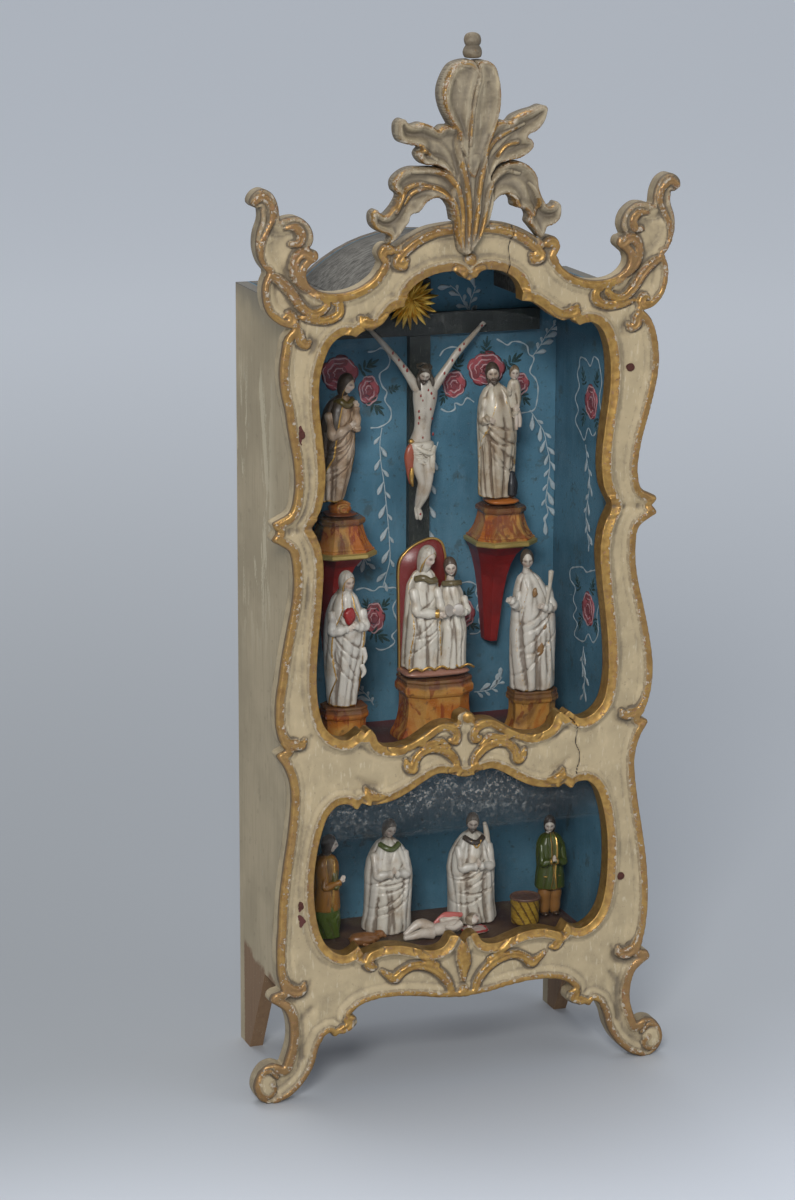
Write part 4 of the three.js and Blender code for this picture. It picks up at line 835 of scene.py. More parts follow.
leaf = spline([(0, 86, 1.2), (-0.6, 79, 3.6), (0.4, 72, 4.2), (0, 65, 2.2), (0, 61, 1.2)], 1.0)
gap, half = sheet.near(leaf, 8)
height = np.where(gap < half, lift(height, 2.6 - 1.2 * (gap / np.maximum(half, 0.4)) ** 2, 0.3), height)
gilt = np.where(gap < 7.9, np.maximum(gilt, half - gap), gilt)

toe_x, toe_z, toe_size = 119.5, 11.6, 6.4  # the round eye of each foot's scroll
gap = np.hypot(np.abs(x) - toe_x, z - toe_z)
toe = 0.6 + 2.2 * np.sqrt(np.clip(1 - (gap / toe_size) ** 2, 0, 1))
height = np.where(gap < toe_size, lift(height, toe, 0.5), height)
height = height - 1.5 * (1 - ease(edge_outer, 0, 1.3)) ** 2 + 0.10 * waver(x, z, 5.5, 0.4)
height = np.clip(height, -2.4, 2.75)


def blur(field, times):
    """Each pass sets a point to the mean of itself and its four neighbours."""
    for _ in range(times):
        beside = np.roll(field, 1, 0) + np.roll(field, -1, 0) + np.roll(field, 1, 1) + np.roll(field, -1, 1)
        field = (field + beside) / 5
    return field


# How far each point lies below the mean round it: the finish darkens these hollows with dirt and painted
# shade.
inside = keep.astype(float)
mean = blur(np.where(keep, height, 0), 14) / np.maximum(blur(inside, 14), 0.05)
hollow = np.clip((mean - height) * 0.75, -1, 1.2)
crack = np.full(x.shape, NO_CRACK)
for line in cracks:
    gap, _ = sheet.near(spline(line, 1.0), 3)
    crack = np.maximum(crack, 0.35 - gap)
height = height - 1.4 * bell(np.minimum(crack - 0.35, 0), 0.5)
chip = np.full(x.shape, NO_CRACK)
for line in paint_chips:
    gap, half = sheet.near(np.array(line), 5)
    chip = np.maximum(chip, half - gap)
print("relief from", round(height[keep].min(), 2), "to", round(height[keep].max(), 2), "mm,",
    int(keep.sum()), "points")

# %% The face board
points, faces, source = carve(sheet, keep, depth, FRONT - height, BACK)
wall = np.arange(len(source)) >= keep.sum()
window_wall = (edge_window[keep] < edge_outer[keep])[source]
value = {name: field[keep][source] for name, field in
         {"gilt": gilt, "hollow": hollow, "crack": crack, "chip": chip}.items()}
value["gilt"] = np.where(wall, np.where(window_wall, 2.0, -4.0), value["gilt"])
value["hollow"] = np.where(wall, 0.25, value["hollow"])
face = piece("carved_face", points, faces, face_finish, slot="gilded_cream_wood", stands_for=["face_board"],
    given=value)

# %% [markdown]
# ## The crest
# A carved spray stands on the crown: four leaves curl out of one stem, and a bud rises between them.
# It is carved from one thick board, hollow in every leaf and gilded on every lip. Each leaf is a
# closed outline with its own height; its lip is round and its middle scooped, and where leaves
# overlap the higher one wins. The back is rounded off more simply.

# %% Leaves, ribs and creases of the crest
crest_leaves = drawn("""
bud_left 6 2.2: -1 585.6, -5.5 585.4, -12 583, -17 575, -18.5 568, -17 560, -13 552, -9 546, -7.5 538,
-4 533, -3 545, -1 565, 2 578, 1 583
bud_right 5.2 1.6: 2 585, 8 584.8, 12 582, 14.5 575, 15.5 566, 15 558, 13 550, 10 542, 6 532, 0 522,
-4 526, -3.4 545, -1.4 565, 1.6 578
upper_left 4 3: -5 545, -7 549, -12 550.5, -17 550.5, -20 548.5, -24 551, -29 552.5, -34 551.5,
-37 552.5, -38.5 554.5, -40.5 554.8, -43 552.5, -43 546, -41 542.5, -37 541, -32 540, -29.4 539.2,
-31 537.5, -31.8 535.5, -30 532, -27 529.8, -22 529.5, -17 527.5, -14 524.5, -10 519, -6 524, -5.4 536
lower_left 3 3.2: -8 516, -10 522, -15 526, -20 528, -28 528.5, -35 528.5, -41 526, -45 521.5,
-44.5 516.5, -42 514, -43.5 510, -46.5 506, -49.5 503.5, -52 504.5, -54 506.5, -57 505, -57.6 501,
-56.5 497.5, -53 494.5, -49 493, -46.6 491.6, -47.8 488, -49.6 486.2, -45.4 488.4, -42 491, -38 496.5,
-36 499, -35 502.4, -33 503.5, -31 504, -29 506, -26 509.5, -20 511.5, -15 510, -12 506, -10.5 501,
-9.8 492, -6 492, -6 504
upper_right 4.2 3: 5 540, 9 547, 13 551, 18 552.5, 21 551.5, 24 554.5, 30 557, 36 558.5, 40.5 560,
43.2 559, 43 555, 41 550, 37 546, 33 544.5, 31.8 543, 34.5 541.5, 35.5 538, 32 534, 27 531.5, 21 530.5,
16 529, 12 525, 8 518, 4 522, 4 531
lower_right 3 3.2: 6 512, 9 519, 13 524, 18 528, 23 530, 29 529.5, 35 526, 38.5 521, 39.5 515, 42 509,
45 505, 48 505, 50 507, 52.6 505.6, 53.1 501, 52 497, 48 494, 44.6 493, 43.6 490, 41 487.2, 38.4 490,
35 494, 33 496.5, 33.5 500, 32 503, 29 504, 25 505.5, 24 509.5, 21 512, 17 511.5, 13 508, 11 503,
9.5 497, 5 492, 3.5 501
stem 5 .6: -4 480, -7.8 482.4, -9.4 489, -10.4 498, -11.8 506, -12.6 514, -9 524, -7 534, 6 534, 9 526,
12 514, 11 503, 8 495, 3 487, -1.4 481""")
crest_ribs = lines_of("""
-7.2 484 1 1, -8.8 492 1.5 1, -9.6 502 1.6 1, -12.4 510 1.7 1, -18 516 1.6 1, -26 517.4 1.5 1,
-34 514.6 1.4 1, -38 509 1.2 1
-5.4 482 1.1 1, -6 492 1.6 1, -6.4 505 1.7 1, -9.6 517 1.7 1, -15 523.6 1.6 1, -24 526 1.4 .4,
-34 526.4 1.2 0
-3.6 481.4 1.2 1, -3 492 1.6 1, -2.6 505 1.7 1, -4 518 1.7 1, -7 530 1.6 1, -9.4 541 1.5 1,
-8.6 547 1.3 1
-2.2 482 1.1 1, .4 492 1.5 1, 2.2 503 1.6 1, 3.4 517 1.6 1, 6.6 531 1.5 1, 12 541 1.4 1, 20 546 1.2 .5,
30 550 1 0
-.6 483.6 1 1, 4.2 492 1.4 1, 7.2 503 1.6 1, 8.6 513 1.6 1, 12.4 520.6 1.5 1, 20 524.6 1.3 .5,
28 523 1 0
-43 505 1.5 1, -40.6 512 1.7 1, -36.6 517.4 1.8 1, -30 519.4 1.5 1, -24 518.2 1.2 1
-14 508 1.2 1, -20 510 1.3 1, -26.6 508.4 1.4 1, -31 503.4 1.2 1
14 507 1.2 1, 19 511 1.5 1, 25 509.6 1.4 1, 27.6 504.8 1.2 1
26 540.4 1.4 1, 20 539 1.2 1, 14 533 1 1
-31 539.4 1.6 1, -26 536.4 1.2 .4, -21 533 1 0
-2.6 540 .9 1, -1.8 555 1 1, .4 568 1.1 1, 2.2 577.4 1.3 1, -2 583 1.7 1, -8 584 1.5 1
36 500.6 1.3 1, 39.4 505.4 1.2 .6, 37.6 512.6 1 0, 34 517.6 .8 0""")
crest_creases = lines_of("""
-8 480 .9, -10.8 500 1, -15 509 1, -25 513.6 1.1, -35 510.6 1, -41 502 1, -48 498 1.2, -53 500 1
-4.6 482 .7, -4.4 505 .9, -8 523 1, -11.6 535 1.2, -18 542 1.2, -28 546 1.6, -37 547.4 2, -40 551 1.2
-12 527 .9, -18 534 1.6, -26 534.4 1.8
-1.6 483 .7, .6 505 .9, 1.6 520 1, 4.6 534 .9, 8.4 545 .9
1.6 487 .7, 5.2 503 .9, 6.6 517 1, 12 531.6 1.1, 21 541.6 1.3, 31 549.6 1.7, 39 555 1.6
13 527 .8, 21 534.6 1.5, 30 537.6 1.7
6 491 .8, 9.6 508 1, 14.6 517.4 1.2, 23 521.6 1.5, 31 519.6 1.6, 35.6 511 1.5, 40.6 501.6 1.5,
48 499.4 1.7
-11 574 1, -11 563 3.2, -7 552 2.4, -5 544 1.2
8 573 1, 8.6 562 3, 6.6 549 2.6, 3 534 1.4""")
print(len(crest_leaves), "leaves,", len(crest_ribs), "ribs,", len(crest_creases), "creases")

# %% The crest carved
spray = Sheet(-60, 56, 478, 588, 0.55)
spray_depth = np.full(spray.x.shape, -9.0)
spray_height = np.full(spray.x.shape, -9.0)
spray_gilt = np.full(spray.x.shape, NO_GILT)
for heading, outline in crest_leaves:
    base, scoop = (float(v) for v in heading.split()[1:])
    ring = spline(outline + outline[:1], 1.0)
    d = spray.depth_in(ring)
    lip = 1.7 * np.sqrt(np.clip(1 - (1 - np.clip(d / 1.5, 0, 1)) ** 2, 0, 1))
    rise = base + lip - scoop * ease(d, 1.7, 6.0) + 0.3 * waver(spray.x, spray.z, 12, base)
    inside_leaf = (d > 0) & (rise > spray_height)
    spray_height = np.where(inside_leaf, rise, spray_height)
    spray_gilt = np.where(inside_leaf, (1.5 if scoop > 1 else 0.2) - d, spray_gilt)
    spray_depth = np.maximum(spray_depth, d)
for points in crest_creases:
    gap, half = spray.near(spline(points, 1.0), 8)
    spray_height = (spray_height - np.where(gap < 7.9,
        (0.7 + 0.35 * half) * bell(gap / np.maximum(half, 0.4), 1.1), 0))
for points in crest_ribs:
    line = spline(points, 0.8)
    gap, half = spray.near(line[:, :3], 6)
    _, gold_share = spray.near(line[:, [0, 1, 3]], 6)
    across = gap / np.maximum(half, 0.4)
    bump_up = (0.75 + 0.35 * half) * np.sqrt(np.clip(1 - np.minimum(across, 1) ** 2.4, 0, 1))
    spray_height = spray_height + np.where(gap < 5.9, bump_up - 0.4 * bell(across - 1.25, 0.3), 0)
    gold_here = (gap < 5.9) & (gold_share > 0.2)
    spray_gilt = np.where(gold_here, np.maximum(spray_gilt, half * 0.9 - gap), spray_gilt)
spray_keep = snap(spray, spray_depth)
lean = 0.6 * ease(spray.z, 520, 560) - 0.9 * ease(np.abs(spray.x), 22, 50)
spray_height = (spray_height + lean - 1.6 * (1 - ease(spray_depth, 0, 1.2)) ** 2 + 0.10 * waver(spray.x,
    spray.z, 4, 1.3))
spray_front = -np.minimum(49.6 + spray_height, 57.3)
over_crown = (spray.z < 498.5) & (np.abs(spray.x) < 11.5)
under = np.maximum(41.4, 43.4 - 1.6 * ease(spray_depth, 0, 4))
spray_back = np.where(over_crown, -50.15, -under)
spray_front = np.minimum(spray_front, spray_back - 1.2)
# On the crest too, the hollows get dirt and painted shade.
mean = blur(np.where(spray_keep, -spray_front, 50), 8) / np.maximum(blur(np.ones(spray.x.shape), 8), 0.05)
spray_hollow = np.clip((mean + spray_front) * 0.8 + 0.16, -1, 1.2)
spray_gilt = spray_gilt - 1.3 * ease(waver(spray.x, spray.z, 30, 0.8), -0.1, 0.5)
points, faces, source = carve(spray, spray_keep, spray_depth, spray_front, spray_back, flat_back=False)
count = spray_keep.sum()
back_side = np.arange(len(source)) >= count
value = {"gilt": np.where(back_side, -5, spray_gilt[spray_keep][source]),
         "hollow": np.where(back_side, 0.3, spray_hollow[spray_keep][source]),
         "crack": np.full(len(source), NO_CRACK), "chip": np.full(len(source), NO_CRACK)}
crest_finish = gilded_finish("greyed_cream_and_worn_gilding", (0.37, 0.305, 0.205))
piece("leafy_crest", points, faces, crest_finish, slot="gilded_cream_wood", stands_for=["crest"],
    given=value)

# %% [markdown]
# ## The knob on the crest
# A small turned knob is pegged into the top of the bud: a ball over a wider bulb. It is a profile
# turned about an upright line, as on a lathe.


# %% Turning
def turned(profile, centre, count=40):
    """Points and faces of a profile (radius, height) turned about an upright line, closed at its
    ends. The ends lie on the line."""
    r, h = np.array(profile, float).T
    around = np.linspace(0, 2 * np.pi, count, endpoint=False)
    x = centre[0] + r[1:-1, None] * np.cos(around)
    y = centre[1] + r[1:-1, None] * np.sin(around)
    rings = np.stack([x, y, np.repeat(h[1:-1, None], count, 1)], -1)
    return tower(rings, [(centre[0], centre[1], h[0]), (centre[0], centre[1], h[-1])])


knob_low, knob_high = box_mm("crest_knob")
middle = (knob_low + knob_high) / 2
k = (knob_high[2] - knob_low[2]) / 14
profile = points_of("""0 0, 3.6 0, 4.6 .5, 5.3 2.2, 5.4 3.6, 4.9 5.2, 4.2 6.3, 3.9 6.9, 4.4 7.5, 4.7 8.8,
4.75 10.2, 4.3 11.9, 3.2 13.2, 1.6 13.85, 0 14""")
profile = spline([(a * k, knob_low[2] + b * k) for a, b in profile], 0.5)
profile[[0, -1], 0] = 0
points, faces = turned(profile, (middle[0], middle[1]), 36)
turn = points + waver(points[:, 2], points[:, 1], 5)[:, None] * (0.18, 0, 0)
tall = points[:, 2] - knob_low[2]
# The groove at the knob's neck is darkened with dirt and painted shade.
value = {"gilt": -1.2 - 1.6 * waver(points[:, 0] * 3, points[:, 2] * 3, 14),
    "hollow": 0.75 * bell(tall - 6.9 * k, 1.3) + 0.35, "crack": np.full(len(points), NO_CRACK),
    "chip": np.full(len(points), NO_CRACK)}
piece("turned_knob", turn, faces, crest_finish, slot="gilded_cream_wood", stands_for=["crest_knob"],
    given=value)

# %% [markdown]
# ## The plain boards
# Sides, roof, shelves and back are simple boards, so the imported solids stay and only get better
# finishes. The sides are a thin olive cream, streaked where hands and damp have worn it, and raw
# wood at the legs. Inside, the same boards are blue. The roof was never painted and has weathered
# grey.


# %% Finishes of the boards
LEG_TOP, SIDE_TOP, INNER_FACE = 56, 453.5, 93.9  # where paint gives way to raw, grey and blue, in mm


def side_finish():
    """Thin cream outside with worn streaks, darker towards the top, raw legs below, blue inside and blotched
    edges.
    """
    f = Finish("thin_olive_cream")
    streak = f.noise(16, 5, (1, 1, 0.22), 0.6, 0.6)
    grain = f.noise(2.2, 4, (1, 1, 0.06))
    fine = f.noise(1.4, 3)
    broad = f.noise(45, 3)
    x, y, z = f.axis("X"), f.axis("Y"), f.axis("Z")
    paint = f.mix(f.step(broad, 0.35, 0.65), (0.44, 0.36, 0.235), (0.36, 0.295, 0.19))
    paint = f.mix(f.step(grain, 0.45, 0.7) * 0.35, paint, (0.29, 0.235, 0.145))
    high = f.step(z, 225, 300) * (1 - f.step(z, 395, 425))
    worn = f.step(streak + (fine - 0.5) * 0.10, 0.53, 0.56) * high * f.step(y, -20, 5)
    paint = f.mix(worn * 0.8, paint, (0.56, 0.49, 0.34))
    # The paint darkens in a band below the top of the side.
    darker_top_band = f.step(z + (broad - 0.5) * 22, 438, 456)
    paint = f.mix(darker_top_band * 0.7, paint, (0.17, 0.155, 0.12))
    paint = cloudy(f, paint, [(7, 4, 0.62, 0.7, 0.35, (0.25, 0.205, 0.13))])
    paint = f.mix(f.step(f.noise(3.6, 3, (1, 1, 0.3)), 0.68, 0.72) * 0.4, paint, (0.45, 0.42, 0.33))
    raw = f.mix(grain, (0.27, 0.165, 0.085), (0.17, 0.095, 0.05))
    raw = f.mix(f.step(fine, 0.62, 0.72) * 0.5, raw, (0.40, 0.33, 0.23))
    low = 1 - f.step(z + (f.noise(9, 4) - 0.5) * 16 - f.step(y, 20, 56) * 8, LEG_TOP, LEG_TOP + 4)
    strip = f.step(y + (fine - 0.5) * 2.5, 49, 50.5)
    paint = f.mix(low * (1 - strip), paint, raw)
    top = f.step(z, SIDE_TOP - 0.3, SIDE_TOP + 0.3)
    paint = f.mix(top, paint, f.mix(grain, (0.10, 0.09, 0.075), (0.22, 0.205, 0.17)))
    inner = 1 - f.step(abs(x), INNER_FACE - 0.3, INNER_FACE + 0.3)
    paint = f.mix(inner * f.step(z, 60, 62), paint, blue_paint(f))
    return f.shader(paint, 0.66 + fine * 0.1, 0, grain * 0.5 + broad * 0.3 - worn * 0.2, 0.3)


def blue_paint(f):
    """Matt blue distemper: cloudy, brushed up and down, spotted with damp."""
    cloud, brush = f.noise(38, 4), f.noise(6, 4, (1, 1, 0.2))
    blue = f.mix(f.step(cloud, 0.35, 0.68), (0.045, 0.135, 0.200), (0.080, 0.205, 0.290))
    blue = f.mix(f.step(brush, 0.5, 0.8) * 0.3, blue, (0.12, 0.245, 0.33))
    blue = cloudy(f, blue, [(2.6, 4, 0.62, 0.70, 0.6, (0.035, 0.055, 0.055)),
                            (1.1, 3, 0.62, 0.70, 0.5, (0.03, 0.05, 0.055))])
    return f.mix(f.step(f.noise(14, 6, rough=0.7), 0.58, 0.66) * 0.55, blue, (0.05, 0.075, 0.075))


def weathered_finish(name, light=(0.20, 0.19, 0.165), dark=(0.075, 0.068, 0.058)):
    """Bare grey wood with long grain from side to side, cracks and a dark band at the back."""
    f = Finish(name)
    grain = f.noise(3.0, 6, (0.10, 1.6, 1.0), 0.65, 0.4)
    fine = f.noise(0.9, 3, (0.2, 1.5, 1.0))
    colour = f.mix(f.step(grain + (fine - 0.5) * 0.25, 0.36, 0.66), dark, light)
    colour = f.mix(f.step(f.noise(30, 4), 0.52, 0.7) * 0.5, colour, (0.30, 0.285, 0.245))
    colour = f.mix(f.step(f.axis("Y") + (f.noise(12, 3) - 0.5) * 14, 30, 46) * 0.6, colour,
        (0.05, 0.046, 0.04))
    split = f.step(f.noise(5, 5, (0.06, 2.4, 1.0)), 0.66, 0.70)
    colour = f.mix(split * 0.8, colour, (0.02, 0.018, 0.015))
    return f.shader(colour, 0.85, 0, grain * 0.7 + fine * 0.3 - split, 0.6)


def lining_finish():
    """The back board: blue inside the case, bare grey wood behind."""
    f = Finish("blue_distemper")
    wood = f.noise(3.2, 5, (1, 1, 0.08), 0.6, 0.4)
    bare = f.mix(f.step(wood, 0.35, 0.7), (0.085, 0.07, 0.055), (0.19, 0.16, 0.125))
    inner = 1 - f.step(f.axis("Y"), 51.2, 51.8)
    return f.shader(f.mix(inner, bare, blue_paint(f)), 0.8, 0, wood * 0.6 + f.noise(2, 3) * 0.3, 0.25)


def shelf_finish():
    """Red-brown floor paint under grey dust, redder towards the back."""
    f = Finish("dusty_red_brown")
    fine, broad = f.noise(1.6, 4), f.noise(22, 4)
    colour = f.mix(f.step(broad, 0.4, 0.65), (0.085, 0.030, 0.026), (0.058, 0.030, 0.026))
    colour = f.mix(f.step(fine + (broad - 0.5), 0.5, 0.8) * 0.45, colour, (0.17, 0.135, 0.115))
    colour = f.mix(f.step(f.axis("Y"), 28, 50) * 0.7, colour, (0.17, 0.028, 0.03))
    return f.shader(colour, 0.7, 0, fine, 0.2)


def dress(node, finish):
    """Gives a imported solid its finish; its mesh and place stay."""
    for part in nodes[node].material_slots:
        part.material = finish


boards = {"side": side_finish(), "roof": weathered_finish("weathered_roof"), "lining": lining_finish(),
          "shelf": shelf_finish()}
for node in nodes:
    for word, finish in (("side_board", "side"), ("roof", "roof"), ("shoulder", "roof"),
            ("back_board", "lining"), ("shelf", "shelf"), ("floor_board", "shelf")):
        if word in node:
            dress(node, boards[finish])
print("boards dressed:", [n for n in nodes if nodes[n].material_slots[0].material in boards.values()])

# %% [markdown]
# ## Old glass
# Two thin panes stand behind the face. Old glass is slightly wavy and carries dust, thickest where
# the panes overlap and along the arched top. Real refraction would only add noise here, so the pane
# lets light straight through and shows as a thin coat: where there is dust it is opaque, elsewhere
# only its reflection shows. That is what Alpha does on the Principled shader.


# %% Glass
def glass_finish(name, haze, bands):
    """Clear glass under dust: haze is the share of dust everywhere; bands add dust by height."""
    f = Finish(name)
    z, x = f.axis("Z"), f.axis("X")
    fine, patch, cloud = f.noise(1.1, 4, rough=0.75), f.noise(6, 8, rough=0.72), f.noise(48, 4)
    dust = haze * (0.35 + 1.1 * f.step(cloud, 0.35, 0.7))
    grit = f.step(f.noise(2.6, 6, rough=0.85), 0.52, 0.60) * f.step(cloud + (patch - 0.5) * 0.9, 0.38, 0.62)
    for low, high, amount, blotch in bands:
        within = (f.step(z + (patch - 0.5) * 4, low - 1.5, low + 0.5) * (1 - f.step(z + (cloud - 0.5) * 16,
            high - 6, high + 8)))
        dust = dust + within * (amount + blotch * (0.25 + 0.75 * grit) * f.step(z, low, low + 22))
    speck = f.step(f.cells(5.2), 0.055, 0.035)
    dust = dust + speck * 0.30
    colour = f.mix(f.step(grit + speck, 0.1, 0.5), (0.12, 0.13, 0.135), (0.52, 0.51, 0.47))
    edge = f.node("LayerWeight", {}, {"Blend": 0.35}, output=0)
    alpha = f.node("Math", {"operation": "MINIMUM"}, {0: dust + edge * 0.04 + 0.004, 1: 0.92})
    return f.shader(colour, 0.32 + f.step(dust, 0.05, 0.4) * 0.5, 0, f.noise(60, 1), 0.15, Alpha=alpha)


dress("glass_upper", glass_finish("dusty_upper_pane", 0.012, [(149.3, 186, 0.05, 0.50),
    (430, 520, 0.015, 0.05)]))
dress("glass_lower", glass_finish("lower_pane", 0.012, [(148.2, 150, 0.10, 0.1)]))
print("panes between z", [round(v) for v in (box_mm("glass_lower")[0][2], box_mm("glass_upper")[1][2])])

# %% [markdown]
# ## Forged nails
# Four forged nails hold the face to the case. Their heads are small, square and sunk into the
# paint, which has flaked round them. A head is a squared ring profile with a hammered dome.


# %% Rounded lumps and nail heads
def ball_angles(around, tall):
    """The angles of a ball's rings: round it as given, and up between its two poles."""
    return np.meshgrid(around, np.linspace(-np.pi / 2, np.pi / 2, tall)[1:-1])


def lump(centre, radii, across=16, tall=12, power=2.0, dent=0.0):
    """A closed ball whose level sections are |cos|^(2/power) rounds, power above 2 being squarer."""
    around, up = ball_angles(np.linspace(0, 2 * np.pi, across, endpoint=False), tall)
    bend = 2 / power
    c, s = np.cos(around), np.sin(around)
    x = np.sign(c) * np.abs(c) ** bend * np.cos(up)
    y = np.sign(s) * np.abs(s) ** bend * np.cos(up)
    z = np.sin(up)
    ring = np.stack([x, y, z], -1).reshape(-1, 3)
    ring = ring * (1 + dent * waver(ring[:, 0] + ring[:, 1], ring[:, 2] + 0.5 * ring[:, 1], 0.9)[:, None])
    points, faces = tower(ring.reshape(-1, across, 3), [(0, 0, -1), (0, 0, 1)])
    return points * radii + centre, faces


rust = Finish("rusted_iron")
flake = rust.noise(0.9, 4)
tone = rust.mix(flake, (0.035, 0.012, 0.010), (0.13, 0.035, 0.022))
rust_finish = rust.shader(tone, 0.8, 0.2, flake, 0.2)
for number in (1, 2, 3, 4):
    low, high = box_mm(f"face_nail_{number}")
    middle, half = (low + high) / 2, (high - low) / 2
    points, faces = lump(middle * (1, 0, 1) + (0, low[1] + 0.65, 0), (half[0] * 1.02, 0.65, half[2] * 1.02),
        20, 14, 4.5, 0.05)
    piece(f"nail_head_{number}", points, faces, rust_finish, slot="forged_iron",
        stands_for=[f"face_nail_{number}"])

# %% [markdown]
# ## Strands: one shape for strokes, arms and stems
# Many parts here are a path with a changing thickness: a brush stroke, a sleeve, a finger, a lock of
# hair. One function carries a flattened ring along a path and closes both ends. A list collects such
# shells, and they become one object with a colour at every point.


# %% Strands and shells
def strand(path, radius, flat=1.0, hint=(0, -1, 0), count=10):
    """A ring carried along a path. At every step the ring is centre + r cos(a) side + r flat sin(a)
    up, where side is across path and hint, and up is across both."""
    path = np.array(path, float)
    radius = np.broadcast_to(np.asarray(radius, float), len(path))
    flat = np.broadcast_to(np.asarray(flat, float), len(path))
    along = np.gradient(path, axis=0)
    along /= np.linalg.norm(along, axis=1)[:, None] + 1e-9
    side = np.cross(along, np.array(hint, float))
    side /= np.linalg.norm(side, axis=1)[:, None] + 1e-9
    up = np.cross(side, along)
    a = np.linspace(0, 2 * np.pi, count, endpoint=False)
    wide, high = np.cos(a)[:, None] * side[:, None], flat[:, None, None] * np.sin(a)[:, None] * up[:, None]
    ends = [path[0] - along[0] * radius[0] * 0.5, path[-1] + along[-1] * radius[-1] * 0.5]
    return tower(path[:, None] + radius[:, None, None] * (wide + high), ends, inward=True)


def smooth(points, count=16):
    """A spline in space through a few points, with the same number of points every time."""
    p = np.array(points, float)
    if len(p) < 3:
        return p[0] + (p[-1] - p[0]) * np.linspace(0, 1, count)[:, None]
    t = np.linspace(0, len(p) - 1, count)
    k = np.clip(t.astype(int), 0, len(p) - 2)
    u = (t - k)[:, None]
    m = np.gradient(p, axis=0)
    return cubic(u, p[k], p[k + 1], m[k], m[k + 1])


class Shells:
    """A heap of closed shells with a paint colour, a share of gilt and a share of grime and painted shade.
    """

    def __init__(self):
        self.points, self.faces, self.paint, self.gilt, self.grime_and_shade = [], [], [], [], []
        self.total = 0

    def add(self, shell, paint, gilt=0.0, grime_and_shade=0.0):
        points, faces = shell
        self.points.append(points)
        self.faces += [[int(v) + self.total for v in face] for face in faces]
        self.total += len(points)
        self.paint.append(np.broadcast_to(np.array(paint, float), (len(points), 3)))
        self.gilt.append(np.broadcast_to(np.asarray(gilt, float), len(points)))
        self.grime_and_shade.append(np.broadcast_to(np.asarray(grime_and_shade, float), len(points)))

    def limb(self, points, radius, flat=1.0, paint=None, count=16, around=10, grime_and_shade=0.2, gilt=0.0,
            hint=(0, -1, 0), at=None):
        """A strand through a few points, with its radius given at even steps or at the shares in at."""
        radius = np.atleast_1d(radius)
        at = np.linspace(0, 1, len(radius)) if at is None else at
        thick = np.interp(np.linspace(0, 1, count), at, radius)
        self.add(strand(smooth(points, count), thick, flat, hint, around), paint, gilt, grime_and_shade)

    def piece(self, name, finish, **more):
        given = {"paint": np.vstack(self.paint), "gilt": np.concatenate(self.gilt),
            "grime_and_shade": np.concatenate(self.grime_and_shade)}
        return piece(name, np.vstack(self.points), self.faces, finish, given=given, **more)


print("one strand has", len(strand([(0, 0, 0), (0, 0, 5)], 1)[0]), "points")

# %% [markdown]
# ## The painted lining
# The blue walls carry loose brushwork: pink roses with dark leaves, scalloped white frames, and
# garlands of small white strokes. Each stroke is a very thin flattened strand that stands a tenth of
# a millimetre off the board, thick where the brush pressed and thin where it lifted.

# %% Roses, leaves, frames and garlands
rose_red, leaf_dark, stroke_white = (0.42, 0.085, 0.10), (0.014, 0.045, 0.042), (0.43, 0.50, 0.53)
back_roses = points_of("""
-41.5 399.5 11.5 10, -23.5 388.5 6.5 9.5, 29 389 7.6 8.4, 49 397 12 9.6, 70.5 387 5.6 7, -71 399 9 9,
-20 253 7 10, 37 251 6.5 9""")
back_leaves = points_of("""
-22 403.5 6 30, -17.5 377 6 -50, -6.8 389 3.4 20, 32.5 403 5 60, 49 412 5 85, 67.5 402 6 35,
74 377 5 -50, 22 380 4 250, -13 261 5 50, -14.6 240.6 6 -30, -25 262 4 120, 40 264 5 50, 42.6 243 5 -30""")
back_lines = lines_of("""
-24 410.8, -19.7 411.2, -15.5 412.7, -10.6 406.6, -11.8 401.4, -16.7 397.6, -15.2 390.5, -12.3 386.8,
-13.6 382.2, -9.9 376.1, -10.4 370.3, -16.6 366.5, -22.1 366.3
20.1 406.1, 22.6 409.5, 27.5 411, 32.5 410.2
21 374.9, 25.3 372.9, 29.7 374.4, 29.6 377.9, 34 376.5, 37.1 380.4, 41.5 377.8
55.4 414.2, 58.6 412.3, 62.3 410.3, 64.8 412, 69.8 411.7, 74.3 409.1, 75.6 404.3, 78.8 401.8, 76.4 393.6,
79.6 389.9, 81.5 385, 81 375.5, 79.2 370.9, 71.6 369.5
-31.1 270.6, -26.2 271.4, -20 269.2, -16.3 271.3, -11.3 270.3, -6.4 269.9, -5.1 265, -8.2 258,
-5.7 250.5, -5 245.6, -8.7 241.1, -6.9 237.3, -11.2 234, -16.2 233.2, -18.7 234.6
31.2 268.9, 34.9 269.8, 40 270, 44.4 267.2, 43.8 262.4, 46.4 258.6, 44.6 253.8, 47.1 250, 45.9 245.2,
47.9 241.4, 45.3 238.5, 40.3 238.3""")
back_stems = drawn("""
3: 37.9 428, 38 431, 35.3 435.2, 30.9 443, 26 447.3
3: 38 428, 38.7 436.8, 40.8 442.5, 42 446
8: 76.7 371, 81.8 363.5, 85.7 357.3, 87.7 348.8, 89.8 339, 88.7 327.1, 87.6 315, 89 308, 86.5 303
4: 78.1 403, 82.4 408.7, 87.4 416.7, 92 421.2
7: -15.3 365.9, -16.5 357.7, -15.9 345.8, -14 333.9, -12.8 323.1, -11.5 311, -10.4 296.7, -10.2 287,
-12.6 277.6, -14.4 271.7
5: 19.3 355.5, 16.2 343.8, 14.4 332, 13.6 321.3, 13.3 315.3, 12.2 299.8, 11 288
4: 43.2 202.4, 49.5 202.5, 56 204, 61 210
3: -20 200, -24 206, -30 212
3: -30 300, -27 292, -24 285
2: -36 176, -33 168, -36 160
2: 40 176, 44 168, 42 160""")
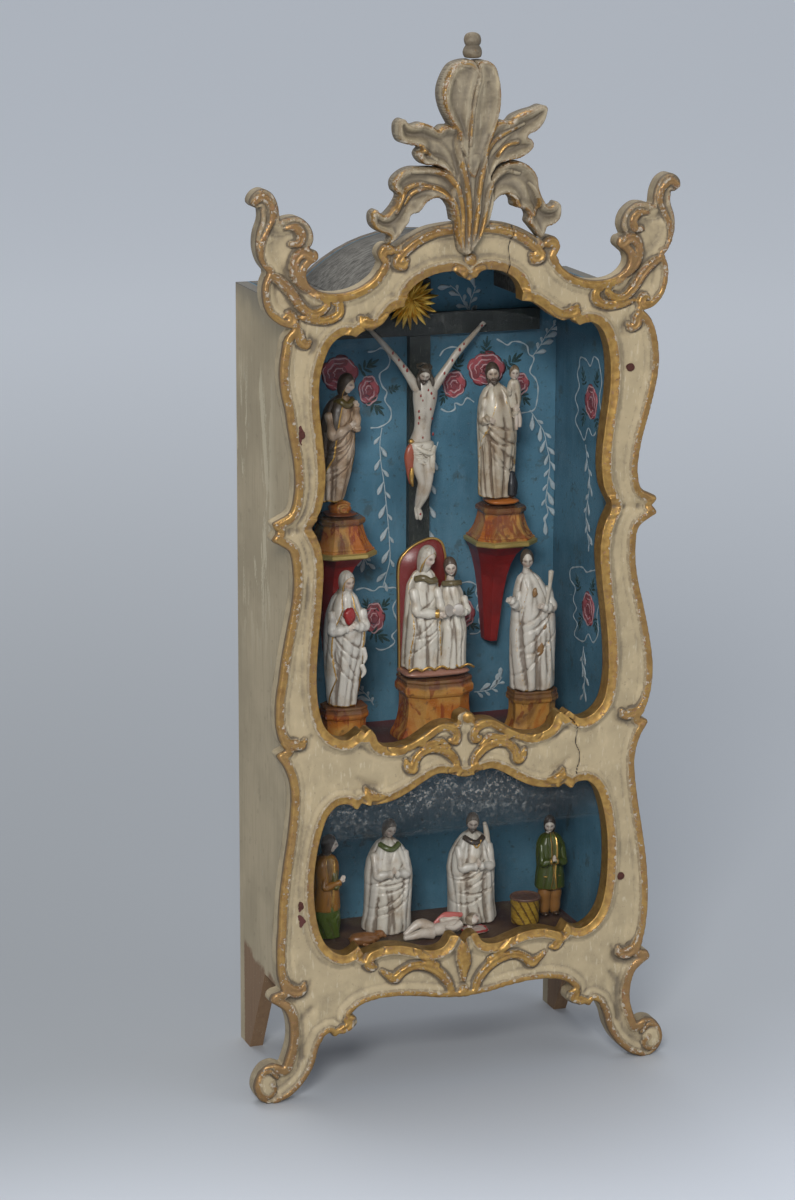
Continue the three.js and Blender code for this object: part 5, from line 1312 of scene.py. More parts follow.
side_roses = points_of("""
-3.2 384.3 9.6 10.5, -4 262.2 9.6 10.5""")
side_leaves = points_of("""
9.4 398.4 5 70, -11.4 400.8 5 110, 8.3 371.7 5 -70, -13 370 5 -110, 13.3 275.6 5 60, -10.6 278.6 5 110,
8.2 250.2 5 -70, -16 253 5 -110""")
side_lines = lines_of("""
-12.4 410.2, -6 411, -.8 404.8, 5.3 407.3, 14.3 407, 15.6 402.1, 18.4 396.9, 15.1 390.4, 20.8 382.4,
16 376.2, 20.3 369.5, 12.5 363.9, 6.3 360.3, .6 368.4, -6 365, -14.1 372.3, -17 380, -15 390, -18 398,
-15 406, -12.4 410.2
-14.9 287.9, -7.5 285.7, -.1 283.4, 4.5 284.8, 13.6 283.3, 24.2 279.2, 24 273.8, 16.1 270.1, 18.9 262.3,
14.1 258.5, 18.5 252.7, 12.2 249.3, 16.5 242.2, 8.7 240.5, 1.1 241.7, -4.7 247.3, -12 244, -19.5 252.1,
-17 262, -21 272, -14.9 287.9""")
side_stems = drawn("""
6: 4 358, 1 348, -3 338, -1 328, 2 318, 0 308, -4 300
4: 2 238, 4 228, 0 218, 2 208""")


STROKE_HIGH = 0.12


def brush(shells, wall, line, width, colour, grime_and_shade=0.3, lift=0.0):
    """One stroke on a wall, as wide as the brush and very thin; lift raises it over other strokes."""
    facing = wall(line, True)
    width = np.broadcast_to(width, len(line))
    path = wall(line) + np.array(facing) * lift
    flat = STROKE_HIGH / np.maximum(width, STROKE_HIGH)
    shells.add(strand(path, width, flat, facing, 6), colour, 0, grime_and_shade)


def blossom(shells, wall, x, z, wide, tall):
    """A rose: a lobed disc of strokes in red, a darker spiral on it, and pale petal edges on top."""
    def round_line(angles, share):
        """A line round the rose's middle, at a share of its size."""
        return np.column_stack([x + wide * share * np.cos(angles), z + tall * share * np.sin(angles)])

    for k, angle in enumerate(np.linspace(0, 2 * np.pi, 9, endpoint=False)):
        a = angle + np.linspace(-0.5, 0.5, 7)
        r = 0.62 + 0.05 * math.cos(3 * k)
        shade = 0.8 + 0.28 * math.sin(2.3 * k)
        brush(shells, wall, round_line(a, r), wide * 0.36 * np.array([0.5, 0.85, 1, 1, 1, 0.85, 0.5]),
            tuple(shade * v for v in rose_red), 0.1, 0.02 * (k % 3))
    a = np.linspace(0, 5.2 * np.pi, 40)
    r = 0.10 + 0.62 * a / a[-1]
    brush(shells, wall, round_line(a, 0.5 * r), wide * 0.15, tuple(0.62 * v for v in rose_red), 0.1, 0.08)
    for start, reach, r in ((0.3, 2.0, 0.86), (2.6, 1.7, 0.84), (4.4, 1.5, 0.88), (1.2, 2.4, 0.58),
            (4.0, 2.2, 0.55), (0.2, 3.6, 0.28)):
        a = start + np.linspace(0, reach, 10)
        brush(shells, wall, round_line(a, r + 0.05 * np.sin(7 * a)),
              0.42 * np.sin(np.linspace(0.25, 2.9, 10)) + 0.08, (0.58, 0.34, 0.35), 0.1, 0.14)


def toward(angle):
    """One step across and up the wall, in the direction of an angle."""
    return np.array([math.cos(angle), math.sin(angle)])


def leaf_spray(shells, wall, x, z, size, turn):
    """Seven dark strokes that fan out along a rib."""
    size = size * 1.45
    for k in range(-3, 4):
        a = math.radians(turn + 27 * k)
        way = toward(a) * size * (1 - 0.10 * abs(k))
        t = np.linspace(0, 1, 6)[:, None]
        base = np.array([x, z]) + toward(math.radians(turn)) * size * (0.22 * (3 - abs(k)) - 0.8)
        brush(shells, wall, base + way * 0.75 * t, size * 0.085 * np.sin(np.linspace(0.3, 2.9, 6)) + 0.12,
            leaf_dark, 0.2, 0.01 * (k + 3))


def garland(shells, wall, points, pairs):
    """A thin stem with pairs of drop-shaped strokes, each thickest two thirds along."""
    stem = spline(points, 1.5)
    brush(shells, wall, stem, 0.30, stroke_white, 0.5)
    for k in range(pairs * 2):
        share = (k + 0.7) / (pairs * 2)
        here = int(share * (len(stem) - 1))
        ahead = stem[min(here + 1, len(stem) - 1)] - stem[max(here - 1, 0)]
        angle = math.atan2(ahead[1], ahead[0]) + (0.62 if k % 2 else -0.62)
        size = 6.6 + 2.4 * math.sin(2.9 * k + points[0][0])
        t = np.linspace(0, 1, 8)[:, None]
        line = stem[here] + toward(angle) * size * t + np.array([0, -0.9]) * t**2
        brush(shells, wall, line, 0.12 + 1.15 * np.array([0, 0.15, 0.35, 0.6, 0.85, 1, 0.8, 0.2]) * size
            / 6, stroke_white, 0.45)


OFF_WALL = 0.03  # the drawing's gap to the board


def back_wall(line, facing=False):
    """A point of the drawing on the back board; facing gives the way the wall looks."""
    return ((0, -1, 0) if facing else np.column_stack([line[:, 0], np.full(len(line), wall_y - OFF_WALL),
        line[:, 1]]))


def side_wall(way):
    """The same for a side board that faces x = way."""
    def wall(line, facing=False):
        at = np.full(len(line), way * (side_high[0] + OFF_WALL))
        return (way, 0, 0) if facing else np.column_stack([at, line[:, 0], line[:, 1]])
    return wall


brushwork = Finish("brushwork_on_blue")
dry = brushwork.noise(1.3, 4)
colour = brushwork.mix(brushwork.step(dry, 0.5, 0.75) * 0.4 + brushwork.step(brushwork.noise(12, 3), 0.5,
    0.8) * 0.25, brushwork.given("paint", 0), blue_paint(brushwork))
brushwork_finish = brushwork.shader(colour, 0.75, 0, dry, 0.1)

for name, wall, roses, leaves, lines, stems in (
        ("back", back_wall, back_roses, back_leaves, back_lines, back_stems),
        ("right", side_wall(-1), side_roses, side_leaves, side_lines, side_stems),
        ("left", side_wall(1), side_roses, side_leaves, side_lines, side_stems)):
    shells = Shells()
    for points in lines:
        line = spline(points, 1.0)
        brush(shells, wall, line, 0.44 + 0.16 * np.sin(np.arange(len(line)) * 0.9), stroke_white, 0.5)
    for pairs, points in stems:
        garland(shells, wall, points, int(pairs))
    for spray in leaves:
        leaf_spray(shells, wall, *spray)
    for rose in roses:
        blossom(shells, wall, *rose)
    shells.piece(f"painted_flowers_{name}", brushwork_finish, slot="blue_wood")

# %% [markdown]
# ## Brackets and pedestals
# The little figures stand on wooden pedestals painted to look like marble, and two of them on red
# brackets fixed to the back. All are faceted like small columns cut with a plane. A plan polygon is
# carried up a profile; along each facet the corner points stay shared, so the block is closed, and
# flat shading keeps its edges crisp.


# %% Faceted blocks
def faceted(plan, low_z, profile, wide, deep, centre, back=None):
    """Every row is the plan polygon, scaled by the profile's share of the width and depth, and lifted
    to its height. With back given, the polygon's rear stays on that wall."""
    share, deep_share, z = np.array(profile, float).T
    plan = np.array(plan, float)
    x = centre[0] + share[:, None] * wide * plan[:, 0]
    y = (centre[1] if back is None else back) + deep_share[:, None] * deep * plan[:, 1]
    rows = np.stack([x, y, np.repeat((low_z + z)[:, None], len(plan), 1)], -1)
    points = rows.reshape(-1, 3)
    index = np.arange(len(points)).reshape(len(z), -1)
    right = np.roll(index, -1, 1)
    quads = np.stack([index[:-1], right[:-1], right[1:], index[1:]], -1).reshape(-1, 4)
    return points, quads.tolist() + [index[0][::-1].tolist(), index[-1].tolist()]


def profile_rows(points, height):
    """A profile of (share, height share), cut into rows at most 2.2 mm high."""
    out = []
    for (s0, z0), (s1, z1) in zip(points[:-1], points[1:]):
        count = max(1, int(abs(z1 - z0) * height / 2.2))
        out += [(s0 + (s1 - s0) * k / count, (z0 + (z1 - z0) * k / count) * height) for k in range(count)]
    out.append((points[-1][0], points[-1][1] * height))
    return out


octagon = points_of("""
-.56 -1, .56 -1, 1 -.56, 1 .56, .56 1, -.56 1, -1 .56, -1 -.56""")
half_octagon = points_of("-.5 -1, .5 -1, 1 -.55, 1 0, -1 0, -1 -.55")

# %% Paint of the brackets and pedestals
red = Finish("red_bracket_paint")
fine, broad = red.noise(1.2, 4), red.noise(14, 3)
tone = red.mix(red.step(broad, 0.4, 0.65), (0.30, 0.018, 0.016), (0.21, 0.013, 0.012))
tone = red.mix(red.step(fine, 0.66, 0.74) * 0.5, tone, (0.42, 0.10, 0.08))
tone = red.mix(red.step(red.noise(3.5, 4), 0.66, 0.72) * 0.6, tone, (0.06, 0.012, 0.010))
red_finish = red.shader(tone, 0.42, 0, fine, 0.12)


def marbled_finish(name, gold_below, cap):
    """Orange and yellow ground, veined red and brown along slanting swirls, varnished; the lowest
    band of some is gilded."""
    f = Finish(name)
    swirl = f.noise(30, 4, (1.2, 0.9, 0.75), 0.5, 1.6)
    veins = f.noise(19, 3, (1.3, 0.8, 0.6), 0.5, 2.4)
    fine, cloud = f.noise(1.1, 4), f.noise(20, 3)
    base = f.mix(f.step(swirl, 0.36, 0.62), (0.40, 0.12, 0.020), (0.52, 0.28, 0.07))
    base = f.mix(f.step(veins, 0.53, 0.60) * (1 - f.step(veins, 0.64, 0.70)) * 0.7, base,
        (0.20, 0.030, 0.015))
    base = f.mix(f.step(swirl, 0.52, 0.68) * 0.7, base, (0.13, 0.045, 0.018))
    base = f.mix(f.step(f.axis("Z") + (swirl - 0.5) * 5, cap - 1, cap + 1) * 0.7, base,
        (0.075, 0.035, 0.022))
    base = f.mix(f.step(f.noise(4, 5), 0.60, 0.68) * 0.55, base, (0.085, 0.045, 0.028))
    base = f.mix(f.step(fine, 0.68, 0.76) * 0.5, base, (0.52, 0.40, 0.26))
    base = f.mix(f.step(cloud, 0.5, 0.75) * 0.35, base, (0.13, 0.075, 0.05))
    gold = 0.0
    if gold_below is not None:
        gold = 1 - f.step(f.axis("Z"), gold_below - 0.12, gold_below + 0.12)
        base = f.mix(gold, base, f.mix(fine, (0.50, 0.35, 0.10), (0.66, 0.49, 0.17)))
        return f.shader(base, 0.26 + gold * 0.06, gold * 0.6, fine, 0.15)
    return f.shader(base, 0.26, 0.0, fine, 0.15)


bracket_profile = points_of("""
.25 0, .27 .04, .31 .15, .37 .32, .44 .5, .53 .66, .64 .79, .78 .9, .93 .97, 1 1""")
upper_profile = points_of("""
.97 0, 1 .03, 1 .11, .96 .135, .93 .15, .94 .18, .91 .21, .865 .225, .85 .27, .79 .34, .73 .45,
.68 .58, .645 .7, .625 .8, .62 .835, .67 .85, .69 .89, .69 .95, .66 1""")
lower_profile = points_of("""
1 0, 1 .05, .97 .1, .91 .17, .86 .27, .82 .4, .8 .55, .8 .66, .815 .715, .87 .74, .9 .78, .9 .86,
.865 .89, .85 .93, .87 .965, .85 1""")

for side in ("left", "right"):
    low, high = box_mm(f"bracket_upper_{side}")
    height = high[2] - low[2]
    rows = [(s, 0.12 + 0.88 * s ** 1.2, z) for s, z in profile_rows(bracket_profile, height)]
    points, faces = faceted(half_octagon, low[2], rows, (high[0] - low[0]) / 2, high[1] - low[1],
        (low + high) / 2, wall_y - 0.35)
    points[:, 1] = np.minimum(points[:, 1], high[1])
    piece(f"red_bracket_{side}", points, faces, red_finish, slot="red_wood",
        stands_for=[f"bracket_upper_{side}"], smooth=False)
for node, profile, gold_below in (("pedestal_upper_left", upper_profile, 301.6),
        ("pedestal_upper_right", upper_profile, 301.6), ("pedestal_middle_left", lower_profile, None),
        ("pedestal_middle_centre", lower_profile, None), ("pedestal_middle_right", lower_profile, None)):
    low, high = box_mm(node)
    height = high[2] - low[2]
    rows = [(s, s, z) for s, z in profile_rows(profile, height)]
    points, faces = faceted(octagon, low[2], rows, (high[0] - low[0]) / 2, (high[1] - low[1]) / 2,
        (low + high) / 2)
    piece(node.replace("pedestal", "marbled_pedestal"), points, faces,
        marbled_finish(node.replace("pedestal", "marbling"), gold_below, high[2] - 4.5),
        slot="marbled_wood", stands_for=[node], smooth=False)

# %% [markdown]
# ## Cross and sunburst
# The cross is two flat battens painted green-black. Behind its head sits a sun cut from thin gilt
# foil and creased by hand: long and short rays in turn, each folded along its middle. The sun is a
# surface over angle and radius, whose height zigzags with the angle.

# %% Cross paint
black = Finish("green_black_paint")
fine, broad = black.noise(1.4, 4, (1, 1, 0.3)), black.noise(12, 4)
tone = black.mix(black.step(broad, 0.4, 0.7), (0.012, 0.017, 0.015), (0.030, 0.036, 0.031))
tone = black.mix(black.step(fine, 0.60, 0.72) * 0.6, tone, (0.085, 0.085, 0.07))
black_finish = black.shader(tone, 0.5, 0, fine, 0.12)
for node in nodes:
    if node.startswith("cross"):
        dress(node, black_finish)
print("cross dressed")

# %% Gilt foil sun
sun_low, sun_high = box_mm("sunburst")
sun_x, sun_z = (sun_low[0] + sun_high[0]) / 2 - 1.0, (sun_low[2] + sun_high[2]) / 2 - 2.5
rays = 22
across = 12
angle, out = np.meshgrid(np.linspace(0, 2 * np.pi, rays * across, endpoint=False),
    np.linspace(0, 1, 26)[1:])
share = (angle * rays / (2 * np.pi)) % 1
number = (angle * rays / (2 * np.pi)).astype(int)
long_ray = 0.80 + 0.20 * np.cos(number * 2.4) * np.cos(number * 1.1)
down = 0.5 - 0.5 * np.sin(angle)
tip = 1 - np.abs(2 * share - 1)
reach = (9.0 + (8.2 + 1.2 * down) * long_ray * tip ** 0.75)
radius = out * reach
fold = (tip - 0.5) * (1.9 * out) * np.where(number % 2 == 0, 1, 0.8) + 0.35 * np.sin(angle * 7 + out * 9)
sx, sz = sun_x + radius * np.cos(angle), sun_z + radius * np.sin(angle)
sy = (sun_low[1] + sun_high[1]) / 2 - 0.4 - 1.2 * bell(radius, 5.5) - fold * 0.75 + 0.8 * out
sy = np.clip(sy, sun_low[1] - 1.8, sun_high[1] - 0.35)
front = np.stack([sx, sy, sz], -1).reshape(-1, 3)
back = front + (0, 0.22, 0)
points = np.vstack([front, back, [[sun_x, sy[0].mean(), sun_z], [sun_x, sy[0].mean() + 0.22, sun_z]]])
index = np.arange(len(front)).reshape(angle.shape)
right = np.roll(index, -1, 1)
quads = np.stack([index[:-1], right[:-1], right[1:], index[1:]], -1).reshape(-1, 4)[:, ::-1]
half = len(front)
rim = np.stack([index[-1], right[-1], right[-1] + half, index[-1] + half], -1)[:, ::-1]
fan = [[2 * half, int(b), int(a)] for a, b in zip(index[0], right[0])]
fan_back = [[2 * half + 1, int(a) + half, int(b) + half] for a, b in zip(index[0], right[0])]
foil = Finish("gilt_foil")
crumple = foil.noise(1.6, 3)
foil_finish = foil.shader(foil.mix(foil.step(foil.noise(5, 3), 0.4, 0.7), (0.95, 0.62, 0.12),
    (0.66, 0.34, 0.04)), 0.24 + crumple * 0.15, 0.62, crumple, 0.35)
piece("foil_sun", points, quads.tolist() + (quads[:, ::-1] + half).tolist() + rim.tolist() + fan + fan_back,
    foil_finish, slot="gilt_brass", stands_for=["sunburst"], smooth=False)

# %% [markdown]
# ## Little painted figures
# The figures are carved from soft pale stone, polished, and touched with paint and gold. Each is
# built the way a carver blocks one out: a robe whose folds run as ridges, a mantle as a second step
# over it, sleeves, hands and a head. The faces are plain and calm, with the eyes at half height of
# the head, and the same for all.


# %% A robe with folds and a mantle
def draw(chance, *ranges):
    """One random number out of each range, in the order given."""
    return [chance.uniform(low, high) for low, high in ranges]


def robe(foot, height, sections, folds=9, depth=0.7, twist=0.0, seed=0.0, mantle=None, cape=None,
        gown=(0.62, 0.57, 0.49), cloak=None, trim=0.0, hem=0.0, swag=0.0, rows=110, across=120):
    """A closed tower of rings. Ring radius = smoothed section + the sum over folds of
    depth exp(-(distance in angle)^1.5), each rising from the hem to a height of its own, + hanging
    swags whose height is a parabola of the angle. Outside an opening that faces the front, a mantle
    lies 1 mm further out: (height share, left opening, right opening), in radians."""
    t = np.linspace(0, 1, rows)
    knots = np.array(sections, float)
    even = [np.interp(t, knots[:, 0], knots[:, k]) for k in range(1, 5)]
    soft = np.hanning(13) / np.hanning(13).sum()
    wide, deep, shift_x, shift_y = [np.convolve(np.pad(v, 6, mode="edge"), soft, "valid")[:, None]
        for v in even]
    t = t[:, None]
    a = np.linspace(0, 2 * np.pi, across, endpoint=False)[None, :]
    front = (a - 1.5 * np.pi + np.pi) % (2 * np.pi) - np.pi
    chance = np.random.default_rng(int(seed * 997) + 3)
    push = depth + 0.35 * depth * np.sin(folds * a * 0.5 + 3 * twist * t + seed)
    for k in range(int(folds)):
        near, far, curl, size = draw(chance, (-0.3, 0.3), (0.42, 0.86), (0, 6), (0.6, 1.5))
        path = (2 * np.pi * (k + near) / folds + (twist * 2 + 0.25 * near) * (0.6 - t)
            + 0.10 * np.sin(5 * t + curl))
        off = np.abs((a - path + np.pi) % (2 * np.pi) - np.pi) / (1.15 / folds)
        fade = (1 - ease(t, far - 0.2, far)) * (0.55 + 0.45 * ease(1 - t, 0.3, 0.9))
        push = push - 1.25 * depth * size * np.exp(-off ** 1.5) * fade
    swags = 0 * push
    lean = 1 if int(seed * 10) % 2 else -1
    for k in range(int(round(6 * swag))):
        shift, middle, tilt, sag = draw(chance, (-0.3, 0.3), (-0.5, 0.5), (0.04, 0.17), (0.02, 0.09))
        level = 0.26 + 0.48 * (k + shift) / max(6 * swag, 1)
        path = level + lean * tilt * front + sag * (front - middle) ** 2
        ridge = np.exp(-np.abs((t - path) / 0.013) ** 1.5) * bell(front - middle, 1.0)
        swags = np.maximum(swags, ridge * chance.uniform(0.7, 1.2))
    push = push - 1.35 * depth * swags + 0.5 * depth * np.roll(swags, -2, 0)
    for k in range(int(folds * 2.4)):
        at, level, lean_by, long = draw(chance, (-1.9, 1.9), (0.06, 0.86), (-0.8, 0.8), (0.04, 0.12))
        along, beside = (t - level) / long, (front - at - (lean_by + twist) * (t - level) * 3) / 0.055
        push = push - 0.55 * depth * np.exp(-along**2) * np.exp(-np.abs(beside) ** 1.5)
    over = np.zeros(front.shape) + 0 * t
    brim = 0 * push - 9
    if cape is not None:
        brim = (t - (cape[0] + cape[1] * front + 0.018 * np.sin(4 * front + seed))
            - 9 * (np.abs(front) > 1.9))
        push = push + 0.9 * ease(brim, 0, 0.012) * (1 - ease(t, 0.8, 0.9))
    edge = over - 9
    if mantle is not None:
        m = np.array(mantle, float)
        left = np.interp(t, m[:, 0], m[:, 1]) + 0.06 * np.sin(9 * t + seed)
        right = np.interp(t, m[:, 0], m[:, 2]) + 0.06 * np.sin(8 * t + 1 + seed)
        edge = np.maximum(-left - front, front - right)
        over = ease(edge, -0.02, 0.05)
        over_fold = (0.9 - (1
            - np.abs(np.sin(folds * 0.30 * a + 4 * twist * t + 0.8 * np.sin(4 * t + seed)))) ** 2.2)
        push = push * (1 - over) + over * (1.0 + depth * (1.2 * over_fold - 0.9 * swags))
    push = push * ease(t, -0.02, 0.02) * (1 - ease(t, 0.93, 1.0))
    lower_edge = hem * np.sin(a * 6 + seed) * (1 - ease(t, 0, 0.08))
    x = foot[0] + shift_x + (wide + push) * np.cos(a)
    y = foot[1] + shift_y + (deep + push) * np.sin(a)
    z = foot[2] + t * height + lower_edge * 0.4 + 0 * a + 0.4 * hem
    ends = [(foot[0] + shift_x[0, 0], foot[1] + shift_y[0, 0], foot[2] + 0.05),
            (foot[0] + shift_x[-1, 0], foot[1] + shift_y[-1, 0], foot[2] + height + 0.1)]
    shell = tower(np.stack([x, y, z], -1), ends)

    def with_ends(field, end=0.0):
        """A value for every point of the rings, and one for each end point."""
        return np.append((field + 0 * push).ravel(), [end, end])

    cloak = gown if cloak is None else cloak
    mixing = with_ends(over)[:, None]
    paint = np.array(gown) * (1 - mixing) + np.array(cloak) * mixing
    gilt = with_ends(trim * bell(edge - 0.05, 0.055)) + with_ends(trim * 0.8 * (1 - ease(t, 0.012, 0.022)))
    gilt = gilt + with_ends(trim * 0.9 * bell(brim - 0.008, 0.006))
    # The darker share is grime and painted shade: it lies in the fold valleys and under the cape's edge.
    mean = sum(np.roll(push, s, 1) for s in range(-9, 10, 3)) / 7
    mean = (mean + np.roll(mean, 4, 0) + np.roll(mean, -4, 0)) / 3
    low_push = 0.9 * bell(brim + 0.010, 0.012) + 0.10 - 1.05 * (push - mean) / (depth + 0.01)
    return shell, paint, np.clip(gilt, 0, 1), 0.15 + 0.65 * with_ends(np.clip(low_push, 0, 1), 0.3)


def turn_points(points, centre, yaw, pitch=0.0, roll=0.0):
    """Turns points about a centre: pitch nods, roll leans sideways, yaw looks left or right."""
    nod, lean, look = (np.array(Matrix.Rotation(turn, 3, axis))
        for turn, axis in ((pitch, "X"), (roll, "Y"), (yaw, "Z")))
    return (points - centre) @ (look @ lean @ nod).T + centre


# %% Heads
flesh, dark_hair, pale = (0.60, 0.52, 0.44), (0.055, 0.040, 0.032), (0.62, 0.57, 0.49)
# Each bell of the face: height, distance from the middle on both sides, width, place up, height span.
# Nose tip, bridge, nostrils, sockets, lids, brow, upper and lower lip, mouth line, dent, chin, cheeks.
features = points_of("""
.95 0 .62 -.7 1.05, .5 0 .5 .5 1, .4 0 .8 -1.55 .5, -.55 1.45 .85 .25 .55, .34 1.45 .62 .15 .36,
.3 0 2.3 1.25 .42, .4 0 .95 -2.45 .22, .42 0 .8 -2.95 .26, -.25 0 1 -2.7 .12, -.22 0 1.2 -3.5 .3,
.55 0 1.1 -4.3 .6, .22 2.2 .8 -1.1 .9""")


def ball(across=56, tall=44):
    """The x, y and z of a unit ball's points, and its faces."""
    a, up = ball_angles(np.linspace(-np.pi, np.pi, across, endpoint=False), tall)
    rings = np.stack([np.sin(a) * np.cos(up), -np.cos(a) * np.cos(up), np.sin(up)], -1)
    points, faces = tower(rings, [(0, 0, -1), (0, 0, 1)])
    return (*points.T, faces)


def head(shells, centre, size=1.0, yaw=0.0, pitch=0.0, roll=0.0, hair="long", hair_paint=dark_hair,
        beard=None, skin=flesh, neck=3.0, band=False):
    """A head 11 mm tall at size 1: an egg with sockets, nose, lips and chin added as small bells in
    x and z on its front half, then hair or a veil as a second egg with an opening for the face."""
    centre = np.array(centre, float)

    def put(points, about=1.0):
        """Points of a head of size 1, scaled, turned and moved to their place."""
        return turn_points(points * size, np.zeros(3), yaw * about, pitch * about, roll * about) + centre

    x, y, z, faces = ball()
    front = ease(-y, 0.1, 0.6)
    jaw = 1 - 0.20 * ease(-z, 0.15, 1.0) * (1 - 0.25 * front)
    px, py, pz = 3.7 * x * jaw, 4.3 * y * (1 - 0.10 * ease(-z, 0.3, 1) * ease(y, -0.2, 0.6)), 5.5 * z
    face = (front * sum(size_of * (bell(px - dx, wide) + (bell(px + dx, wide) if dx else 0)) * bell(pz - dz,
        tall) for size_of, dx, wide, dz, tall in features))
    py = py - face
    paint = np.broadcast_to(np.array(skin), (len(px), 3)).copy()

    def dab(mask, colour):
        """Lays a colour over the face where the mask is near 1."""
        nonlocal paint
        m = np.clip(mask * front, 0, 1)[:, None]
        paint = paint * (1 - m) + np.array(colour) * m

    dab(0.45 * (bell(px - 2.1, 0.9) + bell(px + 2.1, 0.9)) * bell(pz + 1.5, 0.9), (0.58, 0.30, 0.24))
    dab(0.95 * bell(px, 1.0) * bell(pz + 2.7, 0.34), (0.42, 0.10, 0.08))
    for eye in (-1.45, 1.45):
        # A broad brown round each eye is painted shade in the socket; the dark eye and the brow line are
        # paint.
        dab(0.75 * bell(px - eye, 1.0) * bell(pz - 0.3, 0.8), (0.20, 0.12, 0.085))
        dab(0.95 * bell(px - eye, 0.72) * bell(pz - 0.18, 0.26), (0.045, 0.030, 0.026))
        dab(0.75 * bell(px - eye, 0.95) * bell(pz - 1.15 + 0.12 * (px - eye) ** 2, 0.16),
            (0.10, 0.07, 0.05))
    # The face's dents, sockets and mouth line get more grime and painted shade.
    shells.add((put(np.stack([px, py, pz], -1)), faces), paint, 0, 0.12 + 0.5 * np.clip(-face, 0, 1))
    path = put(smooth([(0, 1.2, -1.5), (0, 1.0, -5.5), (0, 1.2, -5.5 - neck)], 8), 0.5)
    thick = np.array([2.0, 2.0, 2.0, 2.0, 2.05, 2.15, 2.3, 2.5]) * size
    shells.add(strand(path, thick, 0.95, (0, -1, 0), 14), skin, 0, 0.3)

    if hair:
        x, y, z, faces = ball(84, 52)
        opening, long, grow, lift_z = {"long": (0.88, 1.50, 1.08, 0.15), "veil": (0.88, 2.0, 1.16, 0.15),
            "cap": (0.66, 0.9, 1.05, 0.36), "short": (0.84, 1.0, 1.06, 0.15)}[hair]
        from_rim = 1 - np.hypot(x / opening, (z + 0.42 - lift_z) / 0.80)
        inside = ease(-y, 0.05, 0.25) * ease(from_rim, -0.06, 0.16)
        drop = np.where(z < 0, long, 1.0)
        if hair == "veil":
            lock = 0.14 * np.abs(np.sin(5 * np.arctan2(x, y + 0.2)))
        else:
            lock = 0.30 * (1 - np.abs(np.sin(7 * np.arctan2(x, -z + 1.3) + 1.5 * y)))
        under_chin = ease(-z, 0.35, 0.9) * ease(-y, 0.0, 0.5)
        radius = grow * (1 - 0.30 * inside) * (1 - 0.22 * under_chin * (hair != "veil"))
        px, py = (3.75 * x + 0.3 * lock * x) * radius, (4.5 * y + 0.3 * lock * y) * radius + 0.5
        pz = (5.6 * z * drop + 0.3 * lock * z) * np.where(z < 0, 1, grow)
        ring = bell(inside - (0.22 if hair == "veil" else 0.5), 0.22) if band else 0
        if hair == "veil":
            brow = (bell(inside - 0.62, 0.20))[:, None]
            hair_paint = np.array(hair_paint) * (1 - brow) + np.array((0.16, 0.11, 0.07)) * brow
        # Between the locks the hair gets grime and painted shade.
        grime_and_shade = 0.2 + 0.4 * (1 - np.clip(lock * 3, 0, 1))
        shells.add((put(np.stack([px, py, pz], -1)), faces), hair_paint, ring, grime_and_shade)
    if beard is not None:
        x, y, z, faces = ball(48, 30)
        lock = np.abs(np.sin(6 * np.arctan2(x, -z)))
        px = 2.5 * x * (1 - 0.40 * ease(-z, 0.1, 1))
        py = 2.5 * y - 1.9 - 0.2 * lock
        pz = np.where(z > 0, 1.2, 2.9) * z - 4.2 + 1.0 * np.abs(x)
        shells.add((put(np.stack([px, py, pz], -1)), faces), beard, 0, 0.2 + 0.3 * lock)
        thick = np.array([0.3, 0.36, 0.4, 0.4, 0.38, 0.34, 0.28, 0.18]) * size
        for side in (-1, 1):
            lip = put(smooth([(side * 0.15, -4.75, -2.05), (side * 0.9, -4.55, -2.35),
                (side * 1.7, -3.9, -3.2)], 8))
            shells.add(strand(lip, thick, 0.8, (0, -1, 0), 8), beard, 0, 0.1)


# %% Arms and hands
def hand(shells, wrist, way, size=1.0, skin=flesh, palm=(0, -1, 0)):
    """A palm as a flattened lump, and four fingers and a thumb as short strands."""
    wrist, way = np.array(wrist, float), np.array(way, float)
    way = way / np.linalg.norm(way)
    side = np.cross(way, np.array(palm, float))
    side /= np.linalg.norm(side) + 1e-9
    up = np.cross(side, way)
    path = wrist + np.outer(np.linspace(-0.4, 2.2, 7), way) * size
    thick = np.array([0.8, 0.95, 1.15, 1.3, 1.35, 1.3, 1.1]) * size
    shells.add(strand(path, thick, 0.55, up, 10), skin, 0, 0.15)
    for k, long in zip((-0.95, -0.32, 0.32, 0.95), (1.9, 2.3, 2.3, 1.9)):
        start = wrist + way * 2.0 * size + side * k * size
        path = [start, start + (way * 0.5 * long + side * 0.05 * k) * size,
            start + (way * long + up * -0.25) * size]
        shells.limb(path, np.array([0.36, 0.38, 0.36, 0.34, 0.30, 0.2]) * size, 1, skin, 6, 7, hint=up)
    start = wrist + way * 0.6 * size + side * 1.1 * size
    thumb = [start, start + (way * 0.8 + side * 0.6) * size, start + (way * 1.7 + side * 0.5) * size]
    shells.limb(thumb, np.array([0.42, 0.42, 0.4, 0.36, 0.3, 0.2]) * size, 1, skin, 6, 7, hint=up)


